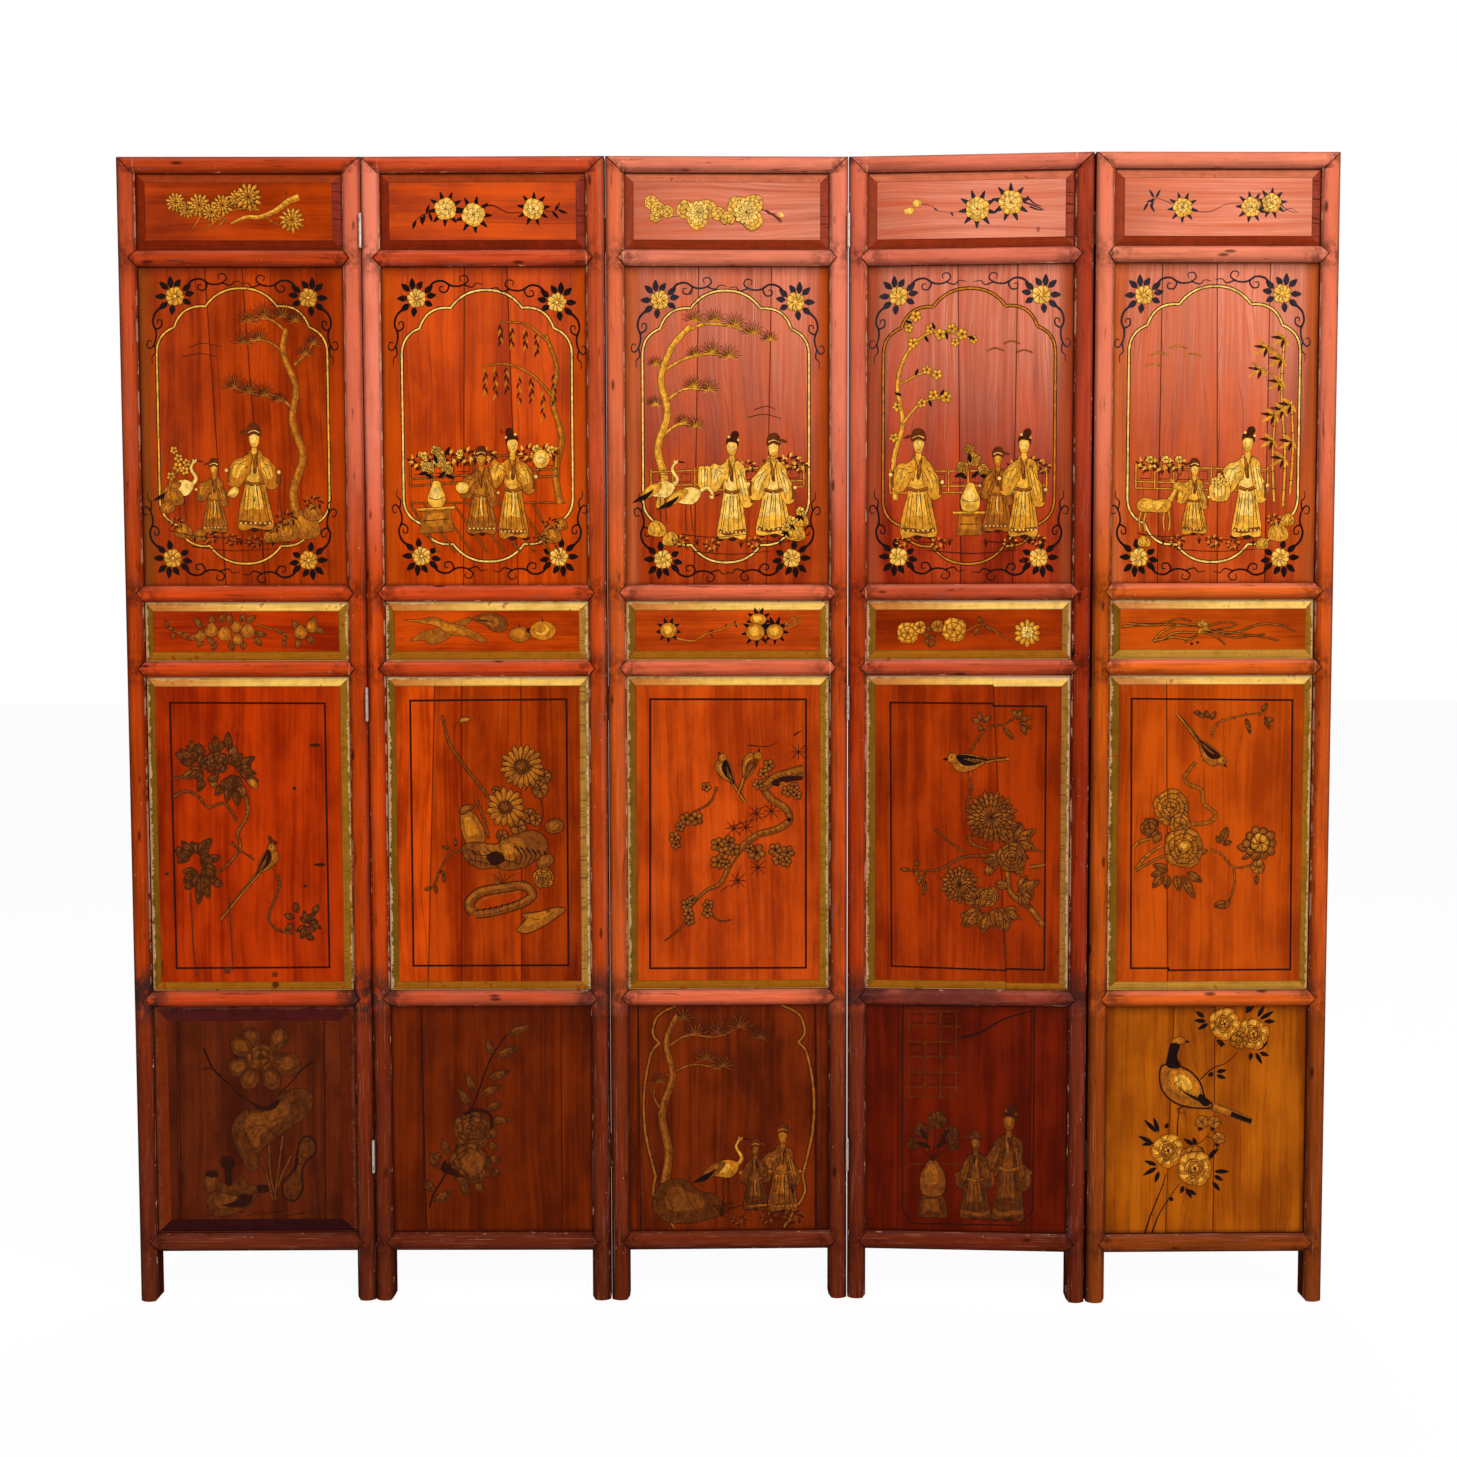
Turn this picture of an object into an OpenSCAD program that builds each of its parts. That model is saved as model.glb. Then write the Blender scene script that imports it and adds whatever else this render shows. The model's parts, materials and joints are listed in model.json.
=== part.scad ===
/* [Leaf] */
// Height of a leaf from the floor to its top
leaf_h = 2050; // [1950:1:2150]
// Width of a leaf
leaf_w = 427.9; // [410:0.1:450]
// Thickness of a leaf's frame
leaf_t = 32; // [31:0.5:36]
// Gap between two neighbouring leaves whose hinges are on the front
front_gap = 0.8; // [0.6:0.1:2]
// Gap between two neighbouring leaves whose hinges are on the back
back_gap = 1.6; // [1.4:0.1:3]

/* [Frame] */
// Width of a stile
stile_w = 33; // [31:0.5:36]
// Height of the top rail and of the cross rails
rail_w = 29; // [27:0.5:31]
// Height of the base rail
base_rail_w = 34; // [31:0.5:36]
// Depth by which the moulded front falls from its crown to its edges
crown_h = 8; // [6:0.5:9]
// Depth of the mitred shoulders, and of the panels' faces, behind the crown
shoulder_d = 12; // [11:0.5:13]
// Width of the joint line at a mitred shoulder
joint_line = 0.4; // [0.2:0.1:0.6]
// Length of a tenon
tenon_l = 18; // [14:1:19]
// Size of the cut on the inner corner of a foot
foot_cut = 6; // [3:1:9]

/* [Openings, counted from the floor] */
// Height of the base rail above the floor
foot_h = 91; // [75:1:110]
// Height of the skirt opening
skirt_h = 416; // [390:1:440]
// Height of the lower opening
lower_h = 566; // [540:1:590]
// Height of the waist opening
waist_h = 105; // [95:1:120]
// Height of the frieze opening
frieze_h = 133; // [120:1:145]

/* [Panels] */
// Thickness of a panel's boards
board_t = 8; // [7:0.5:9]
// Depth of the groove that holds the boards
groove_d = 8; // [7:0.5:9]
// Clearance of a board in its groove, on each face
board_clear = 0.1; // [0.05:0.05:0.3]
// Clearance between a board's end and the bottom of its groove
board_end_clear = 0.6; // [0.3:0.1:1]
// Gap between two boards of a panel
board_gap = 0.5; // [0.3:0.1:1]
// Width by which a board's back half laps behind the next board
board_lap = 3; // [2:0.5:5]
// Height of a raised field above its boards
field_h = 6; // [4:0.5:7]
// Width of the bevel round a raised field
bevel_w = 16.5; // [12:0.5:20]
// Width of the bevel round the first leaf's skirt field
skirt_bevel_w = 26; // [20:1:30]
// Gap between the foot of a bevel and the frame
bevel_gap = 0.8; // [0.5:0.1:1.5]
// Drop of the slipped board in the fourth leaf
board_slip = 3; // [0:0.5:4]

/* [Hinges] */
// Length of a hinge
hinge_l = 57; // [50:1:65]
// Thickness of a hinge plate
plate_t = 1.2; // [1:0.1:1.5]
// Width of a hinge plate from the pin's axis
plate_w = 25; // [22:1:27]
// Radius of a knuckle
knuckle_r = 2.7; // [2.5:0.1:3]
// Radius of a hinge pin
pin_r = 1.25; // [1:0.05:1.4]
// Radial clearance of the pin in the knuckles
pin_clear = 0.06; // [0.03:0.01:0.08]
// Gap between two knuckles of a hinge
knuckle_gap = 0.4; // [0.2:0.1:0.6]
// Distance of a front pin's axis in front of the crown
front_pin_out = 1; // [0.8:0.1:2]
// Distance of a back pin's axis behind the frame
back_pin_out = 3.3; // [3.2:0.1:4.5]
// Height of the lowest hinge's middle above the base rail
low_hinge_up = 142; // [110:1:170]
// Distance of the middle hinge below the top of the lower opening
middle_hinge_down = 49; // [40:1:70]
// Distance of the highest hinge's middle below the top
high_hinge_down = 130; // [115:1:150]
// Radius of a hinge screw's shank
screw_r = 1.6; // [1.3:0.1:1.8]
// Length of a hinge screw
screw_l = 12; // [9:0.5:13]
// Distance between two screws of a plate
screw_pitch = 20; // [18:0.5:22]
// Clearance round a screw
screw_clear = 0.05; // [0.03:0.01:0.08]

/* [Stance, as photographed] */
// Turn of the first leaf, its right edge going back
turn_1 = 0.6; // [0.4:0.1:1]
// Turn of the second leaf
turn_2 = 0; // [-0.4:0.1:0.2]
// Turn of the third leaf
turn_3 = 1.2; // [0.4:0.1:2]
// Turn of the fourth leaf
turn_4 = -3.1; // [-5:0.1:-1]
// Turn of the fifth leaf
turn_5 = 0.8; // [0:0.1:2]

/* [Hidden] */
$fn = 64;
leaves = 5;
turns = [turn_1, turn_2, turn_3, turn_4, turn_5];
root_leaf = 3;

// Heights of the rails' lower edges
skirt_z = foot_h + base_rail_w;
rail_5_z = skirt_z + skirt_h;
lower_z = rail_5_z + rail_w;
rail_4_z = lower_z + lower_h;
waist_z = rail_4_z + rail_w;
rail_3_z = waist_z + waist_h;
upper_z = rail_3_z + rail_w;
top_rail_z = leaf_h - rail_w;
frieze_z = top_rail_z - frieze_h;
rail_2_z = frieze_z - rail_w;
upper_h = rail_2_z - upper_z;

inner_l = stile_w;
inner_r = leaf_w - stile_w;
board_y = shoulder_d + board_clear;
groove_t = board_t + 2 * board_clear;
tongue_l = groove_d - board_end_clear;
field_y = board_y - field_h;

// A tenon leaves the grooves' depth free at both edges of its rail
tenon_clear = 0.1;
lap_clear = 0.2;

// The hinges' middles, the knuckles and the screws
hinge_zs = [skirt_z + low_hinge_up, rail_4_z - middle_hinge_down, leaf_h - high_hinge_down];
knuckles = 5;
knuckle_l = hinge_l / knuckles;
knuckle_clear = 0.4;
pin_head_r = knuckle_r - 0.3;
screw_head_r = 2 * screw_r;
screw_head_h = plate_t + 0.6;
recess_clear = 0.2;

// Where boards meet, from a leaf's left edge: [at the bottom, at the top] of the opening
upper_seams = [
    [[178, 150], [248, 216]],
    [[172, 180], [270, 255]],
    [[154, 164], [283, 293]],
    [[200, 192], [291, 297]],
    [[116, 119], [223, 215], [307, 309]]
];
lower_seams = [
    [],
    [[101, 120], [161, 168], [270, 274]],
    [],
    [[285, 257]],
    [[142, 133]]
];
skirt_seams = [
    [[72, 74], [338, 341]],
    [[87, 88], [339, 340]],
    [[47, 49], [371, 370]],
    [[91, 91], [331, 331]],
    [[145, 156], [232, 230]]
];
slipped_leaf = 4;
slipped_board = 1;

lacquer = "firebrick";
board_lacquer = "orangered";
gilt = "goldenrod";
steel = "silver";

// A seam's hinges are on the front at odd seams and on the back at even ones
function pin_y(seam) = seam % 2 == 1 ? -front_pin_out : leaf_t + back_pin_out;
function rotated(p, a) = [p.x * cos(a) - p.y * sin(a), p.x * sin(a) + p.y * cos(a)];
function pin_x(seam) = -(seam % 2 == 1 ? front_gap : back_gap) / 2;
function right_pin(leaf) = rotated([leaf_w - pin_x(leaf), pin_y(leaf)], turns[leaf - 1]);
function left_pin(leaf) = rotated([pin_x(leaf - 1), pin_y(leaf - 1)], turns[leaf - 1]);
function chained(leaf) =
    leaf == root_leaf ? [0, 0]
    : leaf > root_leaf ? chained(leaf - 1) + right_pin(leaf - 1) - left_pin(leaf)
    : chained(leaf + 1) + left_pin(leaf + 1) - right_pin(leaf);

// The plan's outermost points: corners of the frame, crowns of the stiles and pins
plan_corners = [for (x = [0, leaf_w], y = [crown_h, leaf_t]) [x, y]];
plan_crowns = [for (x = [stile_w / 2, leaf_w - stile_w / 2]) [x, 0]];
plan_points = [
    for (leaf = [1:leaves], p = concat(plan_corners, plan_crowns)) chained(leaf) + rotated(p, turns[leaf - 1])
];
plan_pins = [for (leaf = [1:leaves - 1]) chained(leaf) + right_pin(leaf)];
plan_xs = concat([for (p = plan_points) p.x], [for (p = plan_pins) p.x - knuckle_r]);
plan_low_ys = concat([for (p = plan_points) p.y], [for (p = plan_pins) p.y - knuckle_r]);
plan_high_ys = concat([for (p = plan_points) p.y], [for (p = plan_pins) p.y + knuckle_r]);
plan_middle = [(min(plan_xs) + max(plan_xs)) / 2, (min(plan_low_ys) + max(plan_high_ys)) / 2];
function place(leaf) = chained(leaf) - plan_middle;

echo(leaf_places = [for (leaf = [1:leaves]) place(leaf)]);
echo(seam_pins = [for (p = plan_pins) p - plan_middle]);

leaf_parts = [
    "left_stile", "right_stile", "top_rail", "cross_rails", "frieze_panel", "upper_boards",
    "waist_panel", "lower_panel", "skirt_panel", "hinge_plates", "hinge_screws"
];

// Puts a piece drawn in a leaf's own frame, its left front corner at the origin, in place
module on_leaf(leaf) {
    translate([place(leaf).x, place(leaf).y, 0]) rotate(turns[leaf - 1]) children();
}

// Extrudes an outline drawn in a leaf's face from depth y0 to depth y1
module face_cut(points, y0, y1) {
    translate([0, y1, 0]) rotate([90, 0, 0]) linear_extrude(y1 - y0) polygon(points);
}

// An upright bar with a rounded front, its crown at y = 0
module moulded_bar(w, l, depth) {
    crown_r = (w * w / 4 + crown_h * crown_h) / (2 * crown_h);
    intersection() {
        translate([w / 2, crown_r, 0]) cylinder(r = crown_r, h = l);
        cube([w, crown_h, l]);
    }
    translate([0, crown_h, 0]) cube([w, depth - crown_h, l]);
}

// The same bar lying along x, its lower edge at z = 0
module moulded_rail(w, l, depth) {
    translate([0, 0, w]) rotate([0, 90, 0]) moulded_bar(w, l, depth);
}

// The pointed notch in a stile's inner edge that takes a rail's pointed shoulder
module shoulder_notch(z, w) {
    slack = joint_line * sqrt(2);
    tip = stile_w - w / 2 - slack;
    face_cut(
        [[tip, z + w / 2], [stile_w + 1, z - slack - 1], [stile_w + 1, z + w + slack + 1]],
        -1, shoulder_d
    );
}

// The room for a rail's tenon in a stile
module mortise(z, w) {
    translate([stile_w - tenon_l - board_end_clear, shoulder_d, z + groove_d])
        cube([tenon_l + board_end_clear + 1, groove_t, w - 2 * groove_d]);
}

// The recess and the screw holes of one seam's plates in a stile's outer edge
module plate_seats(seam) {
    front = seam % 2 == 1;
    y_end = front ? pin_y(seam) + plate_w + recess_clear : pin_y(seam) - plate_w - recess_clear;
    y_low = front ? -1 : y_end;
    y_high = front ? y_end : leaf_t + 1;
    for (z = hinge_zs) {
        translate([-1, y_low, z - hinge_l / 2 - recess_clear])
            cube([plate_t + 1, y_high - y_low, hinge_l + 2 * recess_clear]);
        for (k = [-1:1])
            translate([0, screw_y(seam), z + k * screw_pitch]) rotate([0, 90, 0]) {
                cylinder(r = screw_r + screw_clear, h = screw_l + screw_clear);
                cylinder(
                    r1 = screw_head_r + screw_clear, r2 = screw_r + screw_clear,
                    h = screw_head_h + screw_clear
                );
            }
    }
}

// A stile at the left of a leaf, with the hinges of the given seam in its outer edge
module stile(seam) {
    difference() {
        moulded_bar(stile_w, leaf_h, leaf_t);
        for (z = [rail_2_z, rail_3_z, rail_4_z, rail_5_z]) {
            shoulder_notch(z, rail_w);
            mortise(z, rail_w);
        }
        shoulder_notch(foot_h, base_rail_w);
        mortise(foot_h, base_rail_w);
        mortise(top_rail_z, rail_w);
        face_cut(
            [[-1, leaf_h - joint_line], [0, leaf_h - joint_line],
             [stile_w, top_rail_z - joint_line], [stile_w + 1, top_rail_z - joint_line],
             [stile_w + 1, leaf_h + 1], [-1, leaf_h + 1]],
            -1, shoulder_d
        );
        translate([stile_w - groove_d, shoulder_d, skirt_z - groove_d])
            cube([groove_d + 1, groove_t, top_rail_z + 2 * groove_d - skirt_z]);
        face_cut([[stile_w - foot_cut, -1], [stile_w + 1, -1], [stile_w + 1, foot_cut + 1]], -1, leaf_t + 1);
        if (seam > 0 && seam < leaves) plate_seats(seam);
    }
}

module left_stile(leaf) {
    color(lacquer) on_leaf(leaf) stile(leaf - 1);
}

module right_stile(leaf) {
    color(lacquer) on_leaf(leaf) translate([leaf_w, 0, 0]) mirror([1, 0, 0]) stile(leaf);
}

// The body of a rail between the stiles, with its tenons and the panels' grooves
module rail_body(w, groove_below, groove_above) {
    difference() {
        union() {
            translate([inner_l, shoulder_d, 0]) cube([inner_r - inner_l, leaf_t - shoulder_d, w]);
            translate([inner_l - tenon_l, board_y, groove_d + tenon_clear])
                cube([inner_r - inner_l + 2 * tenon_l, board_t, w - 2 * groove_d - 2 * tenon_clear]);
        }
        if (groove_below)
            translate([0, shoulder_d, -1]) cube([leaf_w, groove_t, groove_d + 1]);
        if (groove_above)
            translate([0, shoulder_d, w - groove_d]) cube([leaf_w, groove_t, groove_d + 1]);
    }
}

// A rail whose moulded front ends in points that reach into the stiles
module pointed_rail(z, w, groove_below) {
    translate([0, 0, z]) {
        intersection() {
            translate([inner_l - w / 2, 0, 0])
                moulded_rail(w, inner_r - inner_l + w, shoulder_d);
            face_cut(
                [[inner_l - w / 2, w / 2], [inner_l, 0], [inner_r, 0],
                 [inner_r + w / 2, w / 2], [inner_r, w], [inner_l, w]],
                -1, shoulder_d
            );
        }
        rail_body(w, groove_below, true);
    }
}

module cross_rails(leaf) {
    color(lacquer) on_leaf(leaf) {
        for (z = [rail_2_z, rail_3_z, rail_4_z, rail_5_z]) pointed_rail(z, rail_w, true);
        pointed_rail(foot_h, base_rail_w, false);
    }
}

module top_rail(leaf) {
    color(lacquer) on_leaf(leaf) translate([0, 0, top_rail_z]) {
        intersection() {
            moulded_rail(rail_w, leaf_w, shoulder_d);
            face_cut([[0, rail_w], [inner_l, 0], [inner_r, 0], [leaf_w, rail_w]], -1, shoulder_d);
        }
        rail_body(rail_w, true, false);
    }
}

// The outline of a board between two seams, its edges moved right by the given shifts
function slice_outline(z0, z1, left, right, left_shift, right_shift) = [
    [left[0] + left_shift, z0], [right[0] + right_shift, z0],
    [right[1] + right_shift, z1], [left[1] + left_shift, z1]
];

// The slice of a panel that belongs to one of its boards, its back half lapping behind the next
module board_slice(z0, z1, seams, board) {
    edges = concat([[-leaf_w, -leaf_w]], seams, [[2 * leaf_w, 2 * leaf_w]]);
    left = edges[board];
    right = edges[board + 1];
    half = board_gap / 2;
    middle = board_y + board_t / 2;
    face_cut(slice_outline(z0, z1, left, right, half, -half), -1, middle - lap_clear / 2);
    face_cut(
        slice_outline(z0, z1, left, right, half + board_lap, board_lap - half),
        middle + lap_clear / 2, leaf_t + 1
    );
    face_cut(slice_outline(z0, z1, left, right, half + board_lap, -half), -1, leaf_t + 1);
}

// The flat of a panel with its tongues in the grooves of an opening
module panel_flat(z, h) {
    translate([inner_l - tongue_l, board_y, z - tongue_l])
        cube([inner_r - inner_l + 2 * tongue_l, board_t, h + 2 * tongue_l]);
}

// A raised field with a sloping border, on the front of a panel
module raised_field(z, h, border) {
    x0 = inner_l + bevel_gap;
    x1 = inner_r - bevel_gap;
    z0 = z + bevel_gap;
    z1 = z + h - bevel_gap;
    intersection() {
        translate([0, 0, z0]) linear_extrude(z1 - z0) polygon(
            [[x0, board_y], [x0 + border, field_y], [x1 - border, field_y], [x1, board_y]]
        );
        translate([x1, 0, 0]) rotate([0, -90, 0]) linear_extrude(x1 - x0) polygon(
            [[z0, board_y], [z0 + border, field_y], [z1 - border, field_y], [z1, board_y]]
        );
    }
}

module flat_boards(z, h, seams) {
    for (board = [0:len(seams)])
        intersection() {
            panel_flat(z, h);
            board_slice(z - groove_d, z + h + groove_d, seams, board);
        }
}

// Boards with a raised field, of which one may have slipped down
module raised_boards(z, h, border, seams, slipped = -1) {
    for (board = [0:len(seams)])
        intersection() {
            union() {
                panel_flat(z, h);
                intersection() {
                    translate([0, 0, board == slipped ? -board_slip : 0]) raised_field(z, h, border);
                    translate([0, 0, z + bevel_gap]) cube([leaf_w, leaf_t, h - 2 * bevel_gap]);
                }
            }
            board_slice(z - groove_d, z + h + groove_d, seams, board);
        }
}

module frieze_panel(leaf) {
    color(board_lacquer) on_leaf(leaf) raised_boards(frieze_z, frieze_h, bevel_w, []);
}

module upper_boards(leaf) {
    color(board_lacquer) on_leaf(leaf) flat_boards(upper_z, upper_h, upper_seams[leaf - 1]);
}

module waist_panel(leaf) {
    color(gilt) on_leaf(leaf) raised_boards(waist_z, waist_h, bevel_w, []);
}

module lower_panel(leaf) {
    color(gilt) on_leaf(leaf) raised_boards(
        lower_z, lower_h, bevel_w, lower_seams[leaf - 1], leaf == slipped_leaf ? slipped_board : -1
    );
}

module skirt_panel(leaf) {
    color(board_lacquer) on_leaf(leaf) {
        if (leaf == 1) raised_boards(skirt_z, skirt_h, skirt_bevel_w, skirt_seams[leaf - 1]);
        else flat_boards(skirt_z, skirt_h, skirt_seams[leaf - 1]);
    }
}

// Depth of a seam's screws: the middle of the plate where it lies in the wood
function screw_y(seam) =
    seam % 2 == 1 ? (crown_h + pin_y(seam) + plate_w) / 2 : (leaf_t + pin_y(seam) - plate_w) / 2;

// Whether a knuckle, counted from the bottom, belongs to the leaf at the seam's left
function left_has(knuckle) = knuckle % 2 == 0;

// One hinge plate with its knuckles, at the left edge of a leaf, its middle at z = 0
module hinge_plate(seam, at_left_of_seam) {
    front = seam % 2 == 1;
    pin = [pin_x(seam), pin_y(seam)];
    y_low = front ? pin.y : pin.y - plate_w;
    bore_r = pin_r + pin_clear;
    reach = knuckle_r + knuckle_clear;
    difference() {
        union() {
            difference() {
                translate([0, y_low, -hinge_l / 2]) cube([plate_t, plate_w, hinge_l]);
                for (k = [0:knuckles - 1])
                    if (left_has(k) != at_left_of_seam)
                        translate([-1, pin.y - reach, (k - knuckles / 2) * knuckle_l - knuckle_gap / 2])
                            cube([plate_t + 2, 2 * reach, knuckle_l + knuckle_gap]);
            }
            for (k = [0:knuckles - 1])
                if (left_has(k) == at_left_of_seam)
                    translate([pin.x, pin.y, (k - knuckles / 2) * knuckle_l + knuckle_gap / 2])
                        cylinder(r = knuckle_r, h = knuckle_l - knuckle_gap);
        }
        translate([pin.x, pin.y, -hinge_l]) cylinder(r = bore_r, h = 2 * hinge_l);
        for (k = [-1:1])
            translate([-screw_clear, screw_y(seam), k * screw_pitch]) rotate([0, 90, 0])
                cylinder(
                    r1 = screw_head_r + 2 * screw_clear, r2 = screw_r + screw_clear,
                    h = screw_head_h + 2 * screw_clear
                );
    }
}

module edge_plates(seam, at_left_of_seam) {
    for (z = hinge_zs) translate([0, 0, z]) hinge_plate(seam, at_left_of_seam);
}

module hinge_plates(leaf) {
    color(steel) on_leaf(leaf) {
        if (leaf > 1) edge_plates(leaf - 1, false);
        if (leaf < leaves) translate([leaf_w, 0, 0]) mirror([1, 0, 0]) edge_plates(leaf, true);
    }
}

// A countersunk screw driven along x, its head flush at x = 0
module screw() {
    rotate([0, 90, 0]) {
        cylinder(r1 = screw_head_r, r2 = screw_r, h = screw_head_h);
        cylinder(r = screw_r, h = screw_l);
    }
}

module edge_screws(seam) {
    for (z = hinge_zs, k = [-1:1]) translate([0, screw_y(seam), z + k * screw_pitch]) screw();
}

module hinge_screws(leaf) {
    color(steel) on_leaf(leaf) {
        if (leaf > 1) edge_screws(leaf - 1);
        if (leaf < leaves) translate([leaf_w, 0, 0]) mirror([1, 0, 0]) edge_screws(leaf);
    }
}

// The pins of a seam's hinges, each with a rounded head at both ends
module hinge_pins(seam) {
    pin = plan_pins[seam - 1] - plan_middle;
    color(steel) for (z = hinge_zs) translate([pin.x, pin.y, z]) {
        translate([0, 0, -hinge_l / 2]) cylinder(r = pin_r, h = hinge_l);
        for (end = [0, 1]) mirror([0, 0, end]) translate([0, 0, hinge_l / 2])
            rotate_extrude() intersection() {
                circle(r = pin_head_r);
                square(pin_head_r);
            }
    }
}

for (leaf = [1:leaves]) {
    left_stile(leaf);
    right_stile(leaf);
    top_rail(leaf);
    cross_rails(leaf);
    frieze_panel(leaf);
    upper_boards(leaf);
    waist_panel(leaf);
    lower_panel(leaf);
    skirt_panel(leaf);
    hinge_plates(leaf);
    hinge_screws(leaf);
}
for (seam = [1:leaves - 1])
    hinge_pins(seam);
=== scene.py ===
"""Looks of a five-leaf folding screen: worn lacquer, gilt bevels and painted panels."""

import json
import logging
import math
from dataclasses import dataclass, field, replace
from enum import Enum
from typing import Any, Callable, Dict, List, Optional, Sequence, Tuple, Union

import bmesh
import bpy
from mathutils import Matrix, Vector

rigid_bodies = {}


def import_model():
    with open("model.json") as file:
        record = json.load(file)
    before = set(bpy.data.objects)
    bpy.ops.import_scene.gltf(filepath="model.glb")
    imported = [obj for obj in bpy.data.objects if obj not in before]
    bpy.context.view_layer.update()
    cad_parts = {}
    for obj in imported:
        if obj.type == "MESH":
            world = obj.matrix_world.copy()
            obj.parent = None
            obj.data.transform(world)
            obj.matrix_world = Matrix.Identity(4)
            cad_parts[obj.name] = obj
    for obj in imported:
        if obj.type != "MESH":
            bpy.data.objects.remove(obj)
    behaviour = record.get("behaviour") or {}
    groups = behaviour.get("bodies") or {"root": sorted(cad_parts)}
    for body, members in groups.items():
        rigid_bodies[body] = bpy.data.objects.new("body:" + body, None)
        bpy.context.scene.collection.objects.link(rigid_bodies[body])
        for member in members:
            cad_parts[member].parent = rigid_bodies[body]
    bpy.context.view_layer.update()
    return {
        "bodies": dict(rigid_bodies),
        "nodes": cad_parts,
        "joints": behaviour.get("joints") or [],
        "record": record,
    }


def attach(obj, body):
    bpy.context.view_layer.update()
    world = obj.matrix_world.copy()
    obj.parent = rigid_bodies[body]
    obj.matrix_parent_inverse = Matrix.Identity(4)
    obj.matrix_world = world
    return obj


log = logging.getLogger("screen")

Colour = Tuple[float, float, float]
Point = Tuple[float, float]
MM = 0.001
SEAMS = 4
# How far apart the patterns of two leaves, of two boards and of two leaves' paint lie
LEAF_STEP = 13.7
BOARD_STEP = 41.3
PAINT_STEP = 3.1


def rgb(red: int, green: int, blue: int) -> Colour:
    """Turns a colour given in display values into a linear one.

    Args:
        red: Red from 0 to 255.
        green: Green from 0 to 255.
        blue: Blue from 0 to 255.

    Returns:
        The three linear values from 0 to 1.
    """

    def linear(value: int) -> float:
        """Undoes the display curve for one value."""
        share = value / 255
        return share / 12.92 if share <= 0.04045 else ((share + 0.055) / 1.055) ** 2.4

    return linear(red), linear(green), linear(blue)


# The leaves and their openings


@dataclass(frozen=True)
class LeafPlan:
    """Sizes that all the leaves share, in millimetres from a leaf's lower left front corner."""

    width: float = 427.9
    height: float = 2050.0
    stile: float = 33.0
    rail: float = 29.0
    skirt: Tuple[float, float] = (125.0, 541.0)
    lower: Tuple[float, float] = (570.0, 1136.0)
    waist: Tuple[float, float] = (1165.0, 1270.0)
    upper: Tuple[float, float] = (1299.0, 1859.0)
    frieze: Tuple[float, float] = (1888.0, 2021.0)
    board_depth: float = 12.1
    field_depth: float = 6.1


PLAN = LeafPlan()


@dataclass(frozen=True)
class LeafPlace:
    """Where one leaf stands: the place of its lower left front corner and its turn."""

    number: int
    x: float
    y: float
    turn: float

    @property
    def body(self) -> str:
        """The name of the leaf's body."""
        return f"leaf_{self.number}"

    def node(self, part: str) -> str:
        """The name of one of the leaf's nodes."""
        return f"{self.body}_{part}"

    def point(self, x: float, depth: float, z: float) -> Vector:
        """A point of the leaf in the shared frame.

        Args:
            x: Distance from the leaf's left edge, in millimetres.
            depth: Distance behind the frame's crown, in millimetres.
            z: Height above the floor, in millimetres.

        Returns:
            The point in metres.
        """
        turn = math.radians(self.turn)
        cos, sin = math.cos(turn), math.sin(turn)
        return Vector(
            (self.x + x * cos - depth * sin, self.y + x * sin + depth * cos, z)
        ) * MM


PLACES = (
    LeafPlace(1, -1073.15, -17.965, 0.6),
    LeafPlace(2, -644.459, -13.4799, 0.0),
    LeafPlace(3, -214.22, -13.4554, 1.2),
    LeafPlace(4, 214.46, -4.50861, -3.1),
    LeafPlace(5, 645.735, -27.7292, 0.8),
)


# Materials, with a short way of writing node maths


class Wire:
    """The output of a node, on which Python's operators add Math nodes."""

    def __init__(self, sheet: "Sheet", socket: bpy.types.NodeSocket) -> None:
        """Keeps the socket and the sheet that it is on."""
        self.sheet = sheet
        self.socket = socket

    def _math(self, operation: str, *values: Any) -> "Wire":
        """Adds one Math node over the given values."""
        return self.sheet.node(
            "ShaderNodeMath", {"operation": operation}, dict(enumerate(values))
        )

    def __add__(self, other: "Number") -> "Wire":
        """Adds."""
        return self._math("ADD", self, other)

    def __radd__(self, other: "Number") -> "Wire":
        """Adds."""
        return self._math("ADD", other, self)

    def __sub__(self, other: "Number") -> "Wire":
        """Subtracts."""
        return self._math("SUBTRACT", self, other)

    def __rsub__(self, other: "Number") -> "Wire":
        """Subtracts this from the other."""
        return self._math("SUBTRACT", other, self)

    def __mul__(self, other: "Number") -> "Wire":
        """Multiplies."""
        return self._math("MULTIPLY", self, other)

    def __rmul__(self, other: "Number") -> "Wire":
        """Multiplies."""
        return self._math("MULTIPLY", other, self)

    def __abs__(self) -> "Wire":
        """Drops the sign."""
        return self._math("ABSOLUTE", self)

    def larger(self, other: "Number") -> "Wire":
        """The larger of the two."""
        return self._math("MAXIMUM", self, other)

    def smaller(self, other: "Number") -> "Wire":
        """The smaller of the two."""
        return self._math("MINIMUM", self, other)

    def above(self, limit: "Number") -> "Wire":
        """One above the limit and nought below it."""
        return self._math("GREATER_THAN", self, limit)

    def rise(self, start: float, end: float) -> "Wire":
        """A smooth step from nought at the start to one at the end, which may be the smaller."""
        if start > end:
            return 1 - self.rise(end, start)
        return self.sheet.node(
            "ShaderNodeMapRange",
            {"interpolation_type": "SMOOTHSTEP"},
            {"Value": self, "From Min": start, "From Max": end, "To Min": 0.0, "To Max": 1.0},
        )


Number = Union[Wire, float, int]


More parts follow.
